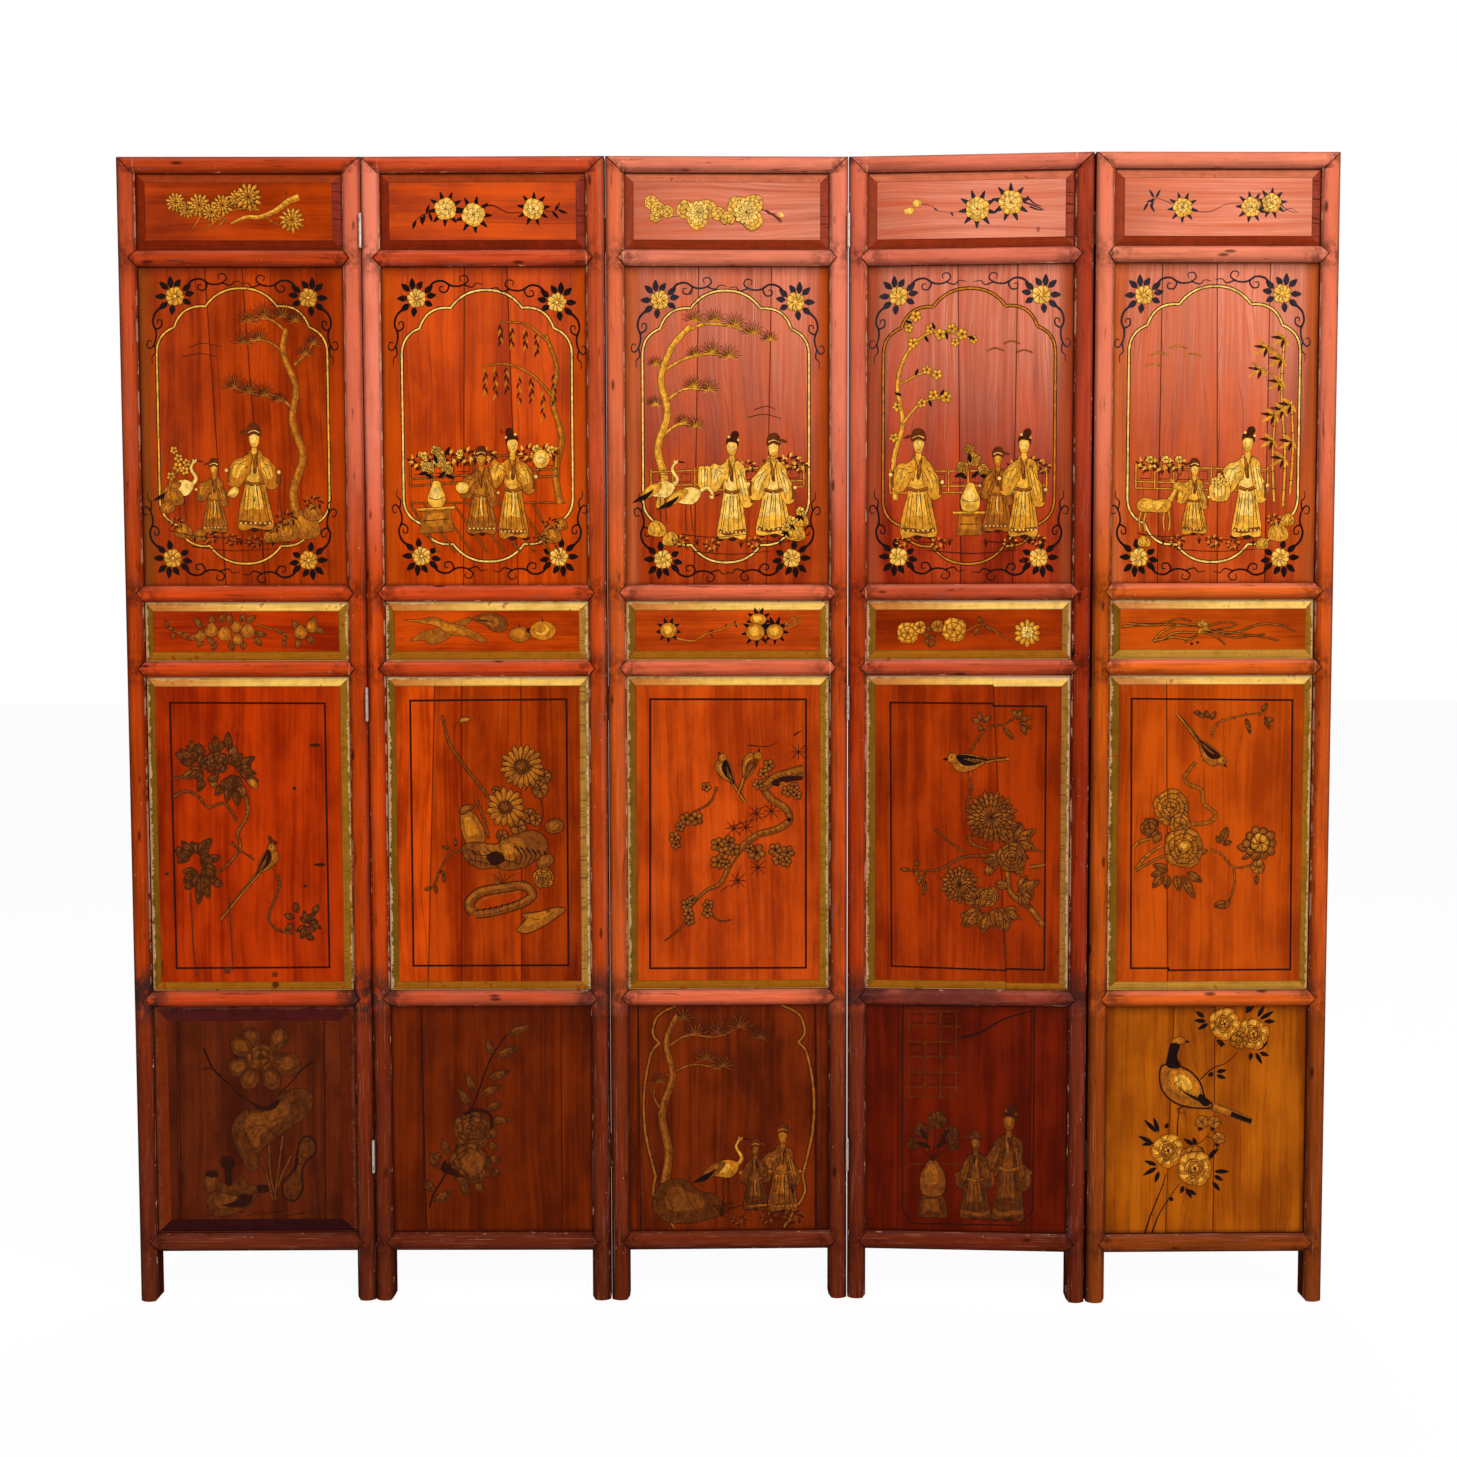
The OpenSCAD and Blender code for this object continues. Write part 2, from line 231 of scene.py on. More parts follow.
class Sheet:
    """One material's nodes, ending in a Principled shader."""

    def __init__(self, name: str) -> None:
        """Makes an empty material with its shader and output."""
        self.material = bpy.data.materials.new(name)
        self.material.use_nodes = True
        self.tree = self.material.node_tree
        self.tree.nodes.clear()
        self.shader = self.tree.nodes.new("ShaderNodeBsdfPrincipled")
        self.output = self.tree.nodes.new("ShaderNodeOutputMaterial")
        self.tree.links.new(self.shader.outputs[0], self.output.inputs["Surface"])

    def set_socket(self, socket: bpy.types.NodeSocket, value: Any) -> None:
        """Links a wire to a socket, or sets the socket's own value."""
        if isinstance(value, Wire):
            self.tree.links.new(value.socket, socket)
        elif socket.type == "RGBA" and len(value) == 3:
            socket.default_value = (*value, 1.0)
        else:
            socket.default_value = value

    def node(
        self,
        kind: str,
        settings: Optional[Dict[str, Any]] = None,
        inputs: Optional[Dict[Union[int, str], Any]] = None,
        output: Union[int, str] = 0,
    ) -> Wire:
        """Adds a node of any kind.

        Args:
            kind: The node's type.
            settings: Properties to set first; stops are a ramp's (place, colour) pairs.
            inputs: Values or wires by the sockets' names or numbers.
            output: The output to hand back.

        Returns:
            The chosen output.
        """
        made = self.tree.nodes.new(kind)
        for key, value in (settings or {}).items():
            if key == "stops":
                elements = made.color_ramp.elements
                while len(elements) < len(value):
                    elements.new(1.0)
                for element, (place, colour) in zip(elements, value):
                    element.position = place
                    element.color = (*colour, 1.0)
            else:
                setattr(made, key, value)
        for key, value in (inputs or {}).items():
            self.set_socket(made.inputs[key], value)
        return Wire(self, made.outputs[output])

    def mix(self, share: Number, first: Any, second: Any) -> Wire:
        """Mixes two colours by a share of the second."""
        return self.node(
            "ShaderNodeMix",
            {"data_type": "RGBA", "clamp_factor": True},
            {0: share, 6: first, 7: second},
            2,
        )

    def dim(self, colour: Any, level: Number) -> Wire:
        """Multiplies a colour by a level."""
        return self.node(
            "ShaderNodeVectorMath", {"operation": "SCALE"}, {0: colour, "Scale": level}
        )

    def join(self, x: Number, y: Number, z: Number) -> Wire:
        """Joins three values into a vector."""
        return self.node("ShaderNodeCombineXYZ", {}, {0: x, 1: y, 2: z})

    def split(self, vector: Wire) -> Tuple[Wire, Wire, Wire]:
        """Splits a vector into its three values."""
        made = self.tree.nodes.new("ShaderNodeSeparateXYZ")
        self.set_socket(made.inputs[0], vector)
        return tuple(Wire(self, made.outputs[i]) for i in range(3))

    def noise(
        self, x: Number, y: Number, z: Number, detail: float = 3.0, rough: float = 0.55
    ) -> Wire:
        """Noise from nought to one over three values in units of its grain."""
        return self.node(
            "ShaderNodeTexNoise",
            {},
            {"Vector": self.join(x, y, z), "Scale": 1.0, "Detail": detail, "Roughness": rough},
        )

    def shade(self, **sockets: Any) -> bpy.types.Material:
        """Sets the shader's sockets, whose names have underscores for spaces."""
        for name, value in sockets.items():
            self.set_socket(self.shader.inputs[name.replace("_", " ")], value)
        return self.material


class LeafSheet(Sheet):
    """Nodes in a leaf's own frame, in millimetres from its lower left front corner."""

    def __init__(self, name: str, place: LeafPlace) -> None:
        """Adds the coordinates and the normal of the leaf."""
        super().__init__(name)
        self.place = place
        at = self.node("ShaderNodeTexCoord", {}, {}, "Object")
        local = self.node(
            "ShaderNodeMapping",
            {"vector_type": "TEXTURE"},
            {
                "Vector": at,
                "Location": (place.x * MM, place.y * MM, 0.0),
                "Rotation": (0.0, 0.0, math.radians(place.turn)),
                "Scale": (MM, MM, MM),
            },
        )
        self.x, self.depth, self.z = self.split(local)
        facing = self.node("ShaderNodeTexCoord", {}, {}, "Normal")
        self.right, self.back, self.up = self.split(facing)
        self.seed = LEAF_STEP * place.number

    def behind(self) -> Wire:
        """One on the faces that look backwards and nought on the others."""
        return self.back.rise(0.4, 0.8)

    def inner(self) -> Wire:
        """The distance from the nearer side of the leaf."""
        return self.x.smaller(PLAN.width - self.x)

    def knots(self, at: Wire, reach: Tuple[float, float], share: float) -> Wire:
        """Dark spots round scattered points.

        Args:
            at: The place in units of the points' spacing.
            reach: The distances at which a spot ends and at which it is full.
            share: How strong the spots are.

        Returns:
            The spots' share.
        """
        cells = self.node(
            "ShaderNodeTexVoronoi",
            {"voronoi_dimensions": "3D", "feature": "F1"},
            {"Vector": at, "Scale": 1.0},
            "Distance",
        )
        return cells.rise(*reach) * share

    def relief(self, height: Number, strength: float, depth: float) -> Wire:
        """A normal that follows a height of at most some metres."""
        return self.node(
            "ShaderNodeBump", {}, {"Height": height, "Strength": strength, "Distance": depth}
        )


class Run(Enum):
    """Which way a member's grain runs."""

    UPRIGHT = "upright"
    LEVEL = "level"


@dataclass(frozen=True)
class Stains:
    """Where the frame is stained dark or worn through, and where painted shade and a painted gleam
    lie on it, in millimetres from the leaf's corner.
    """

    joints: Tuple[float, ...] = (108.0, 555.5, 1150.5, 1284.5, 1873.5)
    low_rail: float = 555.5
    half_rail: float = 14.5
    shoulder: float = 12.0
    reach: float = 46.0
    tone_change: Tuple[float, float] = (520.0, 575.0)
    stile_gleam: Tuple[float, float] = (1280.0, 1620.0)
    rail_gleam: Tuple[float, float] = (1250.0, 2050.0)
    rot_middle: float = 562.0
    rot_heights: Tuple[float, float] = (66.0, 18.0)
    rot_sides: Tuple[float, float] = (74.0, 30.0)
    # Depths over which painted shade darkens the moulding's edges
    moulding: Tuple[float, float] = (1.8, 6.2)
    # Depths of the members' side faces, which take painted shade
    wall: Tuple[float, float] = (6.9, 8.1)
    knot: Tuple[float, float] = (0.13, 0.05)
    line: Colour = rgb(26, 6, 4)
    stain: Colour = rgb(58, 18, 12)
    bare: Colour = rgb(228, 178, 140)
    haze: Colour = rgb(128, 84, 76)
    rot: Colour = rgb(54, 34, 28)
    scratch: Colour = rgb(186, 122, 88)
    # The tone of the painted shade on the members' side faces
    side: Colour = rgb(54, 17, 9)
    back: Colour = rgb(92, 38, 20)


@dataclass(frozen=True)
class FrameFinish:
    """Red lacquer on the frame's moulded members, its tone changing from the foot to the top, with
    painted highlights, painted shade and a painted gleam on it.
    """

    tones: Tuple[Tuple[float, Colour], ...]
    # Painted light: a stile's left flank, crown and right flank tones, lit or shaded by the way
    # they face
    sides: Optional[Tuple[Colour, Colour, Colour]] = None
    sheen: Colour = rgb(236, 132, 104)
    sheen_share: float = 0.4
    glare: float = 0.1
    wear: float = 0.5
    faded: float = 0.0
    faded_tone: Colour = rgb(92, 40, 34)
    rot: float = 0.3
    darkest: float = 0.35
    coat: float = 0.05
    stains: Stains = field(default_factory=Stains)

    def material(self, name: str, place: LeafPlace, run: Run, seed: float) -> bpy.types.Material:
        """Builds the lacquer for one member.

        Args:
            name: The material's name.
            place: The leaf that it is on.
            run: The way of the grain.
            seed: A number that gives each member its own pattern.

        Returns:
            The finished material.
        """
        s = LeafSheet(name, place)
        across, along = (s.x, s.z) if run is Run.UPRIGHT else (s.z, s.x)
        seed += s.seed
        streaks = s.noise(across * 0.2, s.depth * 0.2, along * 0.006 + seed, 4.0, 0.62)
        fine = s.noise(across * 0.8, s.depth * 0.8, along * 0.02 + seed, 3.0, 0.6)
        cloud = s.noise(across * 0.03 + seed, s.depth * 0.03, along * 0.006, 4.0, 0.62)
        upper = s.z.rise(*self.stains.tone_change)
        level = 1.03 + (streaks - 0.5) * 1.2 + (fine - 0.5) * 0.5 + (cloud - 0.5) * 1.2
        colour = s.dim(self._base(s, cloud, upper), level.larger(self.darkest))
        colour = self._light(s, run, colour, cloud, upper)
        colour = self._fade(s, colour, seed)
        line, grime = self._joints(s, seed)
        colour = s.mix(grime, colour, self.stains.stain)
        colour = s.mix(self._rot(s, seed) * self.rot, colour, self.stains.rot)
        colour = self._dirt(s, colour, across, along, seed)
        # Painted shade in the grooves along the moulding's edges
        groove_shade = s.depth.rise(*self.stains.moulding) * (0.5 if run is Run.UPRIGHT else 0.3)
        colour = s.dim(colour, 1 - groove_shade)
        bare = self._bare(s, across, along, seed)
        colour = s.mix(bare, colour, self.stains.bare)
        scratch = s.noise(across * 1.0, s.depth * 0.4, along * 0.009 + seed * 7, 2.0, 0.5)
        colour = s.mix(
            scratch.rise(0.65, 0.71) * (0.75 - upper * 0.5), colour, self.stains.scratch
        )
        colour = s.mix(line, colour, self.stains.line)
        # Painted shade: the members' steep side faces are darkened, as the gaps between the leaves
        # are
        wall = s.depth.rise(*self.stains.wall)
        colour = s.mix(wall * 0.94, colour, self.stains.side)
        back = s.dim(s.join(*self.stains.back), level.larger(0.3))
        colour = s.mix(s.behind(), colour, back)
        height = streaks * 0.5 + fine * 0.35 + bare * -0.8 + line * -1.0
        return s.shade(
            Base_Color=colour, Roughness=0.36 + cloud * 0.18 + bare * 0.3 + grime * 0.2,
            Normal=s.relief(height, 0.25, 0.0006), Specular_IOR_Level=0.0,
            Coat_Weight=(1 - wall) * self.coat, Coat_Roughness=0.2,
        )

    def _base(self, s: LeafSheet, cloud: Wire, upper: Wire) -> Wire:
        """The lacquer's tone up the leaf, and from side to side over a stile's moulding, where
        flank tones picked by the facing are painted light and shade.
        """
        base = s.node(
            "ShaderNodeValToRGB",
            {"stops": [(z / PLAN.height, tone) for z, tone in self.tones]},
            {0: s.z * (1 / PLAN.height)},
        )
        if not self.sides:
            return base
        left, crown, right = self.sides
        # Painted light: the lit flank and the shaded flank of a stile, picked by which way the
        # surface faces
        flank = s.node(
            "ShaderNodeValToRGB",
            {"stops": [(0.22, left), (0.42, crown), (0.6, crown), (0.8, right)]},
            {0: (s.right + (cloud - 0.5) * 0.5) * 0.5 + 0.5},
        )
        flank = s.dim(flank, s.z.rise(800.0, 1700.0) * 0.14 + 0.9)
        base = s.mix(upper, base, flank)
        # Painted shade on the left-facing flank below the tone change
        return s.dim(base, 1 - s.right.rise(-0.05, -0.62) * (1 - upper) * 0.3)

    def _light(self, s: LeafSheet, run: Run, colour: Wire, cloud: Wire, upper: Wire) -> Wire:
        """Painted light: a painted highlight on the rails' upper sides, painted shade on their
        undersides, and a patchy painted gleam.
        """
        if run is Run.LEVEL:
            lit = s.up.rise(0.16, 0.7) * (0.2 + cloud * 1.2)
            colour = s.mix(lit * (upper * 0.9 + 0.1) * self.sheen_share, colour, self.sheen)
            colour = s.dim(colour, 1 - s.up.rise(-0.05, -0.62) * 0.34)
            gleam = s.z.rise(*self.stains.rail_gleam) * cloud.rise(0.3, 0.6)
        else:
            patches = cloud.rise(0.25, 0.55) * 0.4 + 0.6
            gleam = s.z.rise(*self.stains.stile_gleam) * patches
        return s.mix(gleam * self.glare, colour, self.sheen)

    def _fade(self, s: LeafSheet, colour: Wire, seed: float) -> Wire:
        """The lacquer of the low rail, faded in patches."""
        if not self.faded:
            return colour
        worn = s.noise(s.x * 0.012, seed, s.z * 0.03, 4.0, 0.6).rise(0.4, 0.6)
        low = abs(s.z - self.stains.low_rail).rise(17.0, 13.0) * self.faded
        return s.mix(low * (worn * 0.5 + 0.5), colour, self.faded_tone)

    def _rot(self, s: LeafSheet, seed: float) -> Wire:
        """Blackened patches where the low rail meets the stiles."""
        patchy = s.noise(s.x * 0.045, seed * 3, s.z * 0.03, 5.0, 0.68).rise(0.36, 0.52)
        near = abs(s.z - self.stains.rot_middle).rise(*self.stains.rot_heights)
        return near * s.inner().rise(*self.stains.rot_sides) * patchy

    def _dirt(
        self, s: LeafSheet, colour: Wire, across: Wire, along: Wire, seed: float
    ) -> Wire:
        """Dragged dirt, a dull haze and a few knots, all along the grain."""
        drag = s.noise(
            across * 0.13 + 5.1, s.depth * 0.1, along * 0.012 + seed * 2, 5.0, 0.7
        ).rise(0.6, 0.68)
        colour = s.mix(drag * 0.66, colour, self.stains.stain)
        haze = s.noise(
            across * 0.07 + 2.3, s.depth * 0.1, along * 0.011 + seed * 5, 4.0, 0.6
        ).rise(0.61, 0.68)
        colour = s.mix(haze * self.wear * 0.35, colour, self.stains.haze)
        knots = s.knots(s.join(across * 0.03, seed, along * 0.009), self.stains.knot, 0.75)
        return s.mix(knots, colour, self.stains.line)

    def _joints(self, s: LeafSheet, seed: float) -> Tuple[Wire, Wire]:
        """The dark lines of the pointed shoulders and mitres, and the grime round them."""
        stains = self.stains
        level: Wire = abs(s.z - stains.joints[0])
        for joint in stains.joints[1:]:
            level = level.smaller(abs(s.z - joint))
        edge = s.inner()
        point = (1 - level * (1 / stains.half_rail)).larger(0.0) * stains.shoulder
        off = abs(edge - (PLAN.stile - point))
        here = level.rise(stains.half_rail + 1.5, stains.half_rail)
        mitre = abs(edge - (PLAN.height - s.z))
        corner = s.z.above(PLAN.height - PLAN.rail - 1.0)
        line = (off.rise(1.5, 0.5) * here).larger(mitre.rise(1.5, 0.5) * corner)
        spots = s.noise(s.x * 0.05 + seed, s.depth * 0.05, s.z * 0.05, 5.0, 0.66)
        beside = level.rise(stains.reach, 4.0) * abs(edge - 26.0).rise(60.0, 4.0)
        near = beside.larger(mitre.rise(26.0, 1.0) * corner)
        return line, near * spots.rise(0.38, 0.62) * 0.72

    def _bare(self, s: LeafSheet, across: Wire, along: Wire, seed: float) -> Wire:
        """Chips down to pale wood, most of them along the edges."""
        flecks = s.noise(across * 0.25, s.depth * 0.25, along * 0.04 + seed * 3, 5.0, 0.72)
        limit = 0.745 - self.wear * 0.15 * s.depth.rise(2.2, 6.0)
        chips = s.noise(across * 0.3, s.depth * 0.3, along * 0.16 + seed * 4, 3.0, 0.6)
        inner = s.inner()
        arris = inner.rise(29.6, 30.6).smaller(inner.rise(33.0, 32.0)) * s.z.rise(560.0, 600.0)
        dashes = s.noise(s.x * 0.1, seed * 2, s.z * 0.028, 4.0, 0.7).rise(0.5, 0.56)
        flaked = ((flecks - limit).rise(0.0, 0.03) * 0.8).larger(chips.rise(0.72, 0.74) * 0.85)
        return flaked.larger(arris * dashes * self.wear * 0.5)


@dataclass(frozen=True)
class BoardTones:
    """The tones of a panel's boards and of its grain."""

    pale: Colour
    deep: Colour
    line: Colour = rgb(72, 18, 6)
    boards: Tuple[float, ...] = ()
    rings: float = 0.3
    ring_width: float = 9.0


@dataclass(frozen=True)
class Bevels:
    """The tones of a raised panel's sloping border, one for each way a slope faces; in the gilt and
    frieze sets these paint the light on the slopes.
    """

    top: Colour
    bottom: Colour
    left: Colour
    right: Colour
    start: Optional[Colour] = None
    ridges: float = 0.35
    rim: float = 0.8
    worn_edge: Colour = rgb(232, 190, 128)


# Gilt slopes: the bright top tone is a painted highlight, the darker bottom and side tones painted
# shade
GILT = Bevels(
    top=rgb(240, 190, 92), bottom=rgb(166, 100, 18), left=rgb(128, 84, 18), right=rgb(152, 102, 24),
    start=rgb(196, 118, 52),
)


@dataclass(frozen=True)
class PanelFinish:
    """Clear red lacquer over a panel's grain, with an optional painted sky reflection and an
    optional border in other tones.
    """

    tones: BoardTones
    bevels: Optional[Bevels] = None
    seams: Tuple[Tuple[float, float], ...] = ()
    opening: Tuple[float, float] = PLAN.upper
    run: Run = Run.UPRIGHT
    sheen: Colour = rgb(232, 142, 112)
    sheen_share: float = 0.0
    sheen_band: Tuple[float, float] = (1300.0, 1900.0)
    strips: Optional[Tuple[Colour, Colour]] = None
    shade_share: float = 0.6
    knot: Tuple[float, float] = (0.05, 0.02)
    back: Colour = rgb(104, 46, 24)
    coat: float = 0.05

    def material(self, name: str, place: LeafPlace, seed: float) -> bpy.types.Material:
        """Builds the lacquered wood of one panel.

        Args:
            name: The material's name.
            place: The leaf that it is on.
            seed: A number that gives the panel its own pattern.

        Returns:
            The finished material.
        """
        s = LeafSheet(name, place)
        seed += s.seed
        across, along = (s.x, s.z) if self.run is Run.UPRIGHT else (s.z, s.x)
        board, tint, seam = self._boards(s)
        own = board * BOARD_STEP + seed if self.seams else seed
        warp = s.noise(across * 0.006 + own, 0.0, along * 0.0022, 2.0, 0.5)
        bent = across + warp * 40.0
        broad = s.noise(bent * 0.035, own, along * 0.0016, 3.0, 0.55)
        streak = s.noise(bent * 0.14, own + 1.7, along * 0.0028, 4.0, 0.6)
        fibre = s.noise(bent * 0.6, own + 2.9, along * 0.006, 3.0, 0.6)
        cloud = s.noise(across * 0.014, own + 3.3, along * 0.007, 4.0, 0.6)
        share = 0.5 + (broad - 0.5) * 1.4 + (streak - 0.5) * 0.8
        share = share + (fibre - 0.5) * 0.5 + (cloud - 0.5) * 1.9
        colour = s.mix(share.rise(0.0, 1.0), self.tones.pale, self.tones.deep)
        aside = abs(s.x - PLAN.width / 2)
        # Painted reflection of pale sky on the upper part of the panel
        if self.sheen_share:
            sky_reflection = self._sky_reflection_mask(s, streak, fibre, cloud)
            inside = aside.rise(176.0, 150.0) if self.strips else 1.0
            sky_reflection = (sky_reflection * inside * self.sheen_share).smaller(0.92)
            colour = s.mix(sky_reflection, colour, self.sheen)
        rings = self._rings(s, across + warp * 130.0, own, along)
        line = (rings.rise(0.72, 1.0) * streak.rise(0.46, 0.66)) * self.tones.rings * 0.7
        colour = s.mix(line, colour, self.tones.line)
        hair = s.noise(bent * 0.42, own + 8.1, along * 0.0035, 2.0, 0.5).rise(0.66, 0.71)
        colour = s.mix(hair * 0.35, colour, self.tones.line)
        colour = s.dim(colour, tint)
        colour = s.dim(colour, 1.04 - aside.rise(70.0, 185.0) * cloud * 0.3)
        knots = s.knots(s.join(s.x * 0.012, own, s.z * 0.0075), self.knot, 0.6)
        colour = s.mix(knots, colour, self.tones.line)
        if self.strips:
            strip = s.mix(s.x.above(PLAN.width / 2), self.strips[0], self.strips[1])
            outer = aside.rise(148.0, 170.0) * (0.55 + (streak - 0.5) * 0.9)
            colour = s.mix(outer, colour, s.dim(strip, 0.9 + (streak - 0.5) * 1.0))
        if self.seams:
            colour = s.mix(seam * 0.75, colour, self.tones.line)
        colour = self._edges(s, colour, seed)
        height: Number = fibre * 0.5 + rings * 0.2
        behind = s.behind()
        if self.bevels:
            face = PLAN.field_depth
            slope = s.depth.rise(face + 0.15, face + 0.35) * (1 - behind)
            border, ridges = self._border(s, seed)
            colour = s.mix(slope, colour, border)
            height = height * (1 - slope) + ridges * slope
        back = s.dim(s.join(*self.back), 0.5 + streak)
        colour = s.mix(behind * 0.9, colour, back)
        return s.shade(
            Base_Color=colour, Roughness=0.36 + cloud * 0.2,
            Normal=s.relief(height, 0.2, 0.0005), Specular_IOR_Level=0.0,
            Coat_Weight=(1 - behind) * self.coat, Coat_Roughness=0.16,
        )

    def _boards(self, s: LeafSheet) -> Tuple[Number, Number, Number]:
        """The number of the board at a place, its tint, and the seams' dark lines."""
        low, high = self.opening
        tints = self.tones.boards
        climb = (s.z - low) * (1 / (high - low))
        board: Number = 0.0
        tint: Number = tints[0] if tints else 1.0
        seam: Number = 0.0
        for index, (bottom, top) in enumerate(self.seams):
            off = s.x - climb * (top - bottom) - bottom
            passed = off.above(0.0)
            board = passed + board
            here = abs(off).rise(1.7, 0.5)
            seam = here if index == 0 else here.larger(seam)
            if index + 1 < len(tints):
                tint = passed * (tints[index + 1] - tints[index]) + tint
        return board, tint, seam

    def _sky_reflection_mask(self, s: LeafSheet, streak: Wire, fibre: Wire, cloud: Wire) -> Wire:
        """A painted sky reflection on the upper part, stronger to the right and broken by the
        grain.
        """
        grain = (streak * 2.6 + (fibre - 0.5) * 1.2 - 0.25).larger(0.1)
        rightward = s.x * (0.6 / PLAN.width) + 0.6
        return s.z.rise(*self.sheen_band) * rightward * (cloud + 0.35) * grain

    def _rings(self, s: LeafSheet, across: Wire, own: Number, along: Wire) -> Wire:
        """The year rings, as bands that bend with the grain."""
        return s.node(
            "ShaderNodeTexWave",
            {"wave_type": "BANDS", "bands_direction": "X", "wave_profile": "SIN"},
            {
                "Vector": s.join(across, own, along * 0.02),
                "Scale": 0.314 / self.tones.ring_width,
                "Distortion": 2.0,
                "Detail": 2.0,
                "Detail Scale": 0.5,
                "Detail Roughness": 0.5,
            },
            "Fac",
        )

    def _edges(self, s: LeafSheet, colour: Wire, seed: float) -> Wire:
        """Grime and shade along the frame's inner edges."""
        low, high = self.opening
        side = abs(s.x - PLAN.width / 2)
        half = PLAN.width / 2 - PLAN.stile
        grime = s.noise(s.x * 0.03, seed, s.z * 0.03, 4.0, 0.65)
        top = s.z.rise(high - 22, high - 1)
        rim = side.rise(half - 8, half).larger(top).larger(s.z.rise(low + 8, low))
        return s.mix(rim * (grime * 1.1 + 0.2) * self.shade_share, colour, self.tones.line)

    def _border(self, s: LeafSheet, seed: float) -> Tuple[Wire, Wire]:
        """The sloping border's tones, picked by the way each slope faces, and its ridges of end
        grain.
        """
        bevels = self.bevels
        worn = s.noise(s.x * 0.05, seed + 7, s.z * 0.05, 5.0, 0.68)
        brushed = s.noise(s.x * 0.012, seed, s.z * 0.5, 3.0, 0.6)
        upright = s.noise(s.x * 0.5, seed, s.z * 0.012, 3.0, 0.6)
        ridges = s.noise(s.x * 0.02, seed + 2, s.z * 0.34, 2.0, 0.5)
        if bevels.start:
            top = s.mix(s.x.rise(50.0, 250.0), bevels.start, bevels.top)
        else:
            top = s.dim(bevels.top, 1.0)
        # Tones by facing; on the gilt and frieze slopes this is a painted highlight on the upward
        # slope and painted shade on the others
        colour = s.mix(s.up.above(0.15), bevels.left, top)
        colour = s.mix(s.up.rise(-0.14, -0.16), colour, bevels.bottom)
        ending = s.right.above(0.15)
        colour = s.mix(ending, colour, bevels.right)
        sideways = abs(s.right).above(0.15)
        grain = brushed * (1 - sideways) + upright * sideways
        colour = s.dim(colour, 1 + (grain - 0.5) * 0.9 + (worn - 0.5) * 1.0)
        chatter = ending * ridges.rise(0.55, 0.66) * bevels.ridges
        colour = s.mix(chatter, colour, self.tones.line)
        ragged = s.depth + ((worn - 0.5) * 6.0 + (ridges - 0.5) * 3.0)
        rim = ragged.rise(PLAN.board_depth - 1.3, PLAN.board_depth - 0.8) * s.up.rise(-0.1, 0.0)
        colour = s.mix(rim * bevels.rim, colour, bevels.worn_edge)
        colour = s.mix(worn.rise(0.6, 0.68) * 0.7, colour, self.tones.deep)
        crest = s.depth.rise(PLAN.field_depth + 1.0, PLAN.field_depth + 0.3)
        colour = s.mix(crest * 0.55, colour, self.tones.line)
        return colour, ridges * ending + worn * 0.3


@dataclass(frozen=True)
class HingeSteel:
    """Plain bright steel with a light tarnish."""

    tone: Colour = rgb(206, 198, 188)
    tarnish: Colour = rgb(120, 92, 66)

    def material(self) -> bpy.types.Material:
        """Builds the steel of plates, screws and pins."""
        s = Sheet("hinge_steel")
        x, y, z = s.split(s.node("ShaderNodeTexCoord", {}, {}, "Object"))
        spots = s.noise(x * 260.0, y * 260.0, z * 120.0, 4.0, 0.65)
        colour = s.mix(spots.rise(0.5, 0.72), self.tone, self.tarnish)
        return s.shade(Base_Color=colour, Metallic=0.9, Roughness=0.3 + spots * 0.22)


# What each leaf is like


@dataclass(frozen=True)
class LeafLook:
    """The finishes of one leaf."""

    left: FrameFinish
    right: FrameFinish
    rails: FrameFinish
    frieze: PanelFinish
    upper: PanelFinish
    waist: PanelFinish
    lower: PanelFinish
    skirt: PanelFinish


def frame_finish(
    top: Colour, middle: Colour, low: Colour, foot: Colour, **more: Any,
) -> FrameFinish:
    """A frame's lacquer from four tones between the top and the foot."""
    return FrameFinish(
        tones=((60.0, foot), (520.0, low), (544.0, middle), (1250.0, middle), (1900.0, top)), **more
    )


# Where the seams between a panel's boards meet the lower and the upper edge of its opening, in
# millimetres from the leaf's side, and by how much each board's tone is multiplied
UPPER_SEAMS = (
    ((178, 150), (248, 216)),
    ((172, 180), (270, 255)),
    ((154, 164), (283, 293)),
    ((200, 192), (291, 297)),
    ((116, 119), (223, 215), (307, 309)),
)
LOWER_SEAMS = ((), ((101, 120), (161, 168), (270, 274)), (), ((285, 257),), ((142, 133),))
UPPER_TINTS = (1.0, 0.94, 1.04, 0.96)
LOWER_TINTS: Tuple[Tuple[float, ...], ...] = (
    (), (1.2, 0.86, 0.72, 0.62), (), (1.0, 0.93), (1.0, 0.95),
)
SKIRT_TINTS = (1.0, 0.93, 1.04)
SKIRT_SEAMS = (
    ((72, 74), (338, 341)),
    ((87, 88), (339, 340)),
    ((47, 49), (371, 370)),
    ((91, 91), (331, 331)),
    ((145, 156), (232, 230)),
)


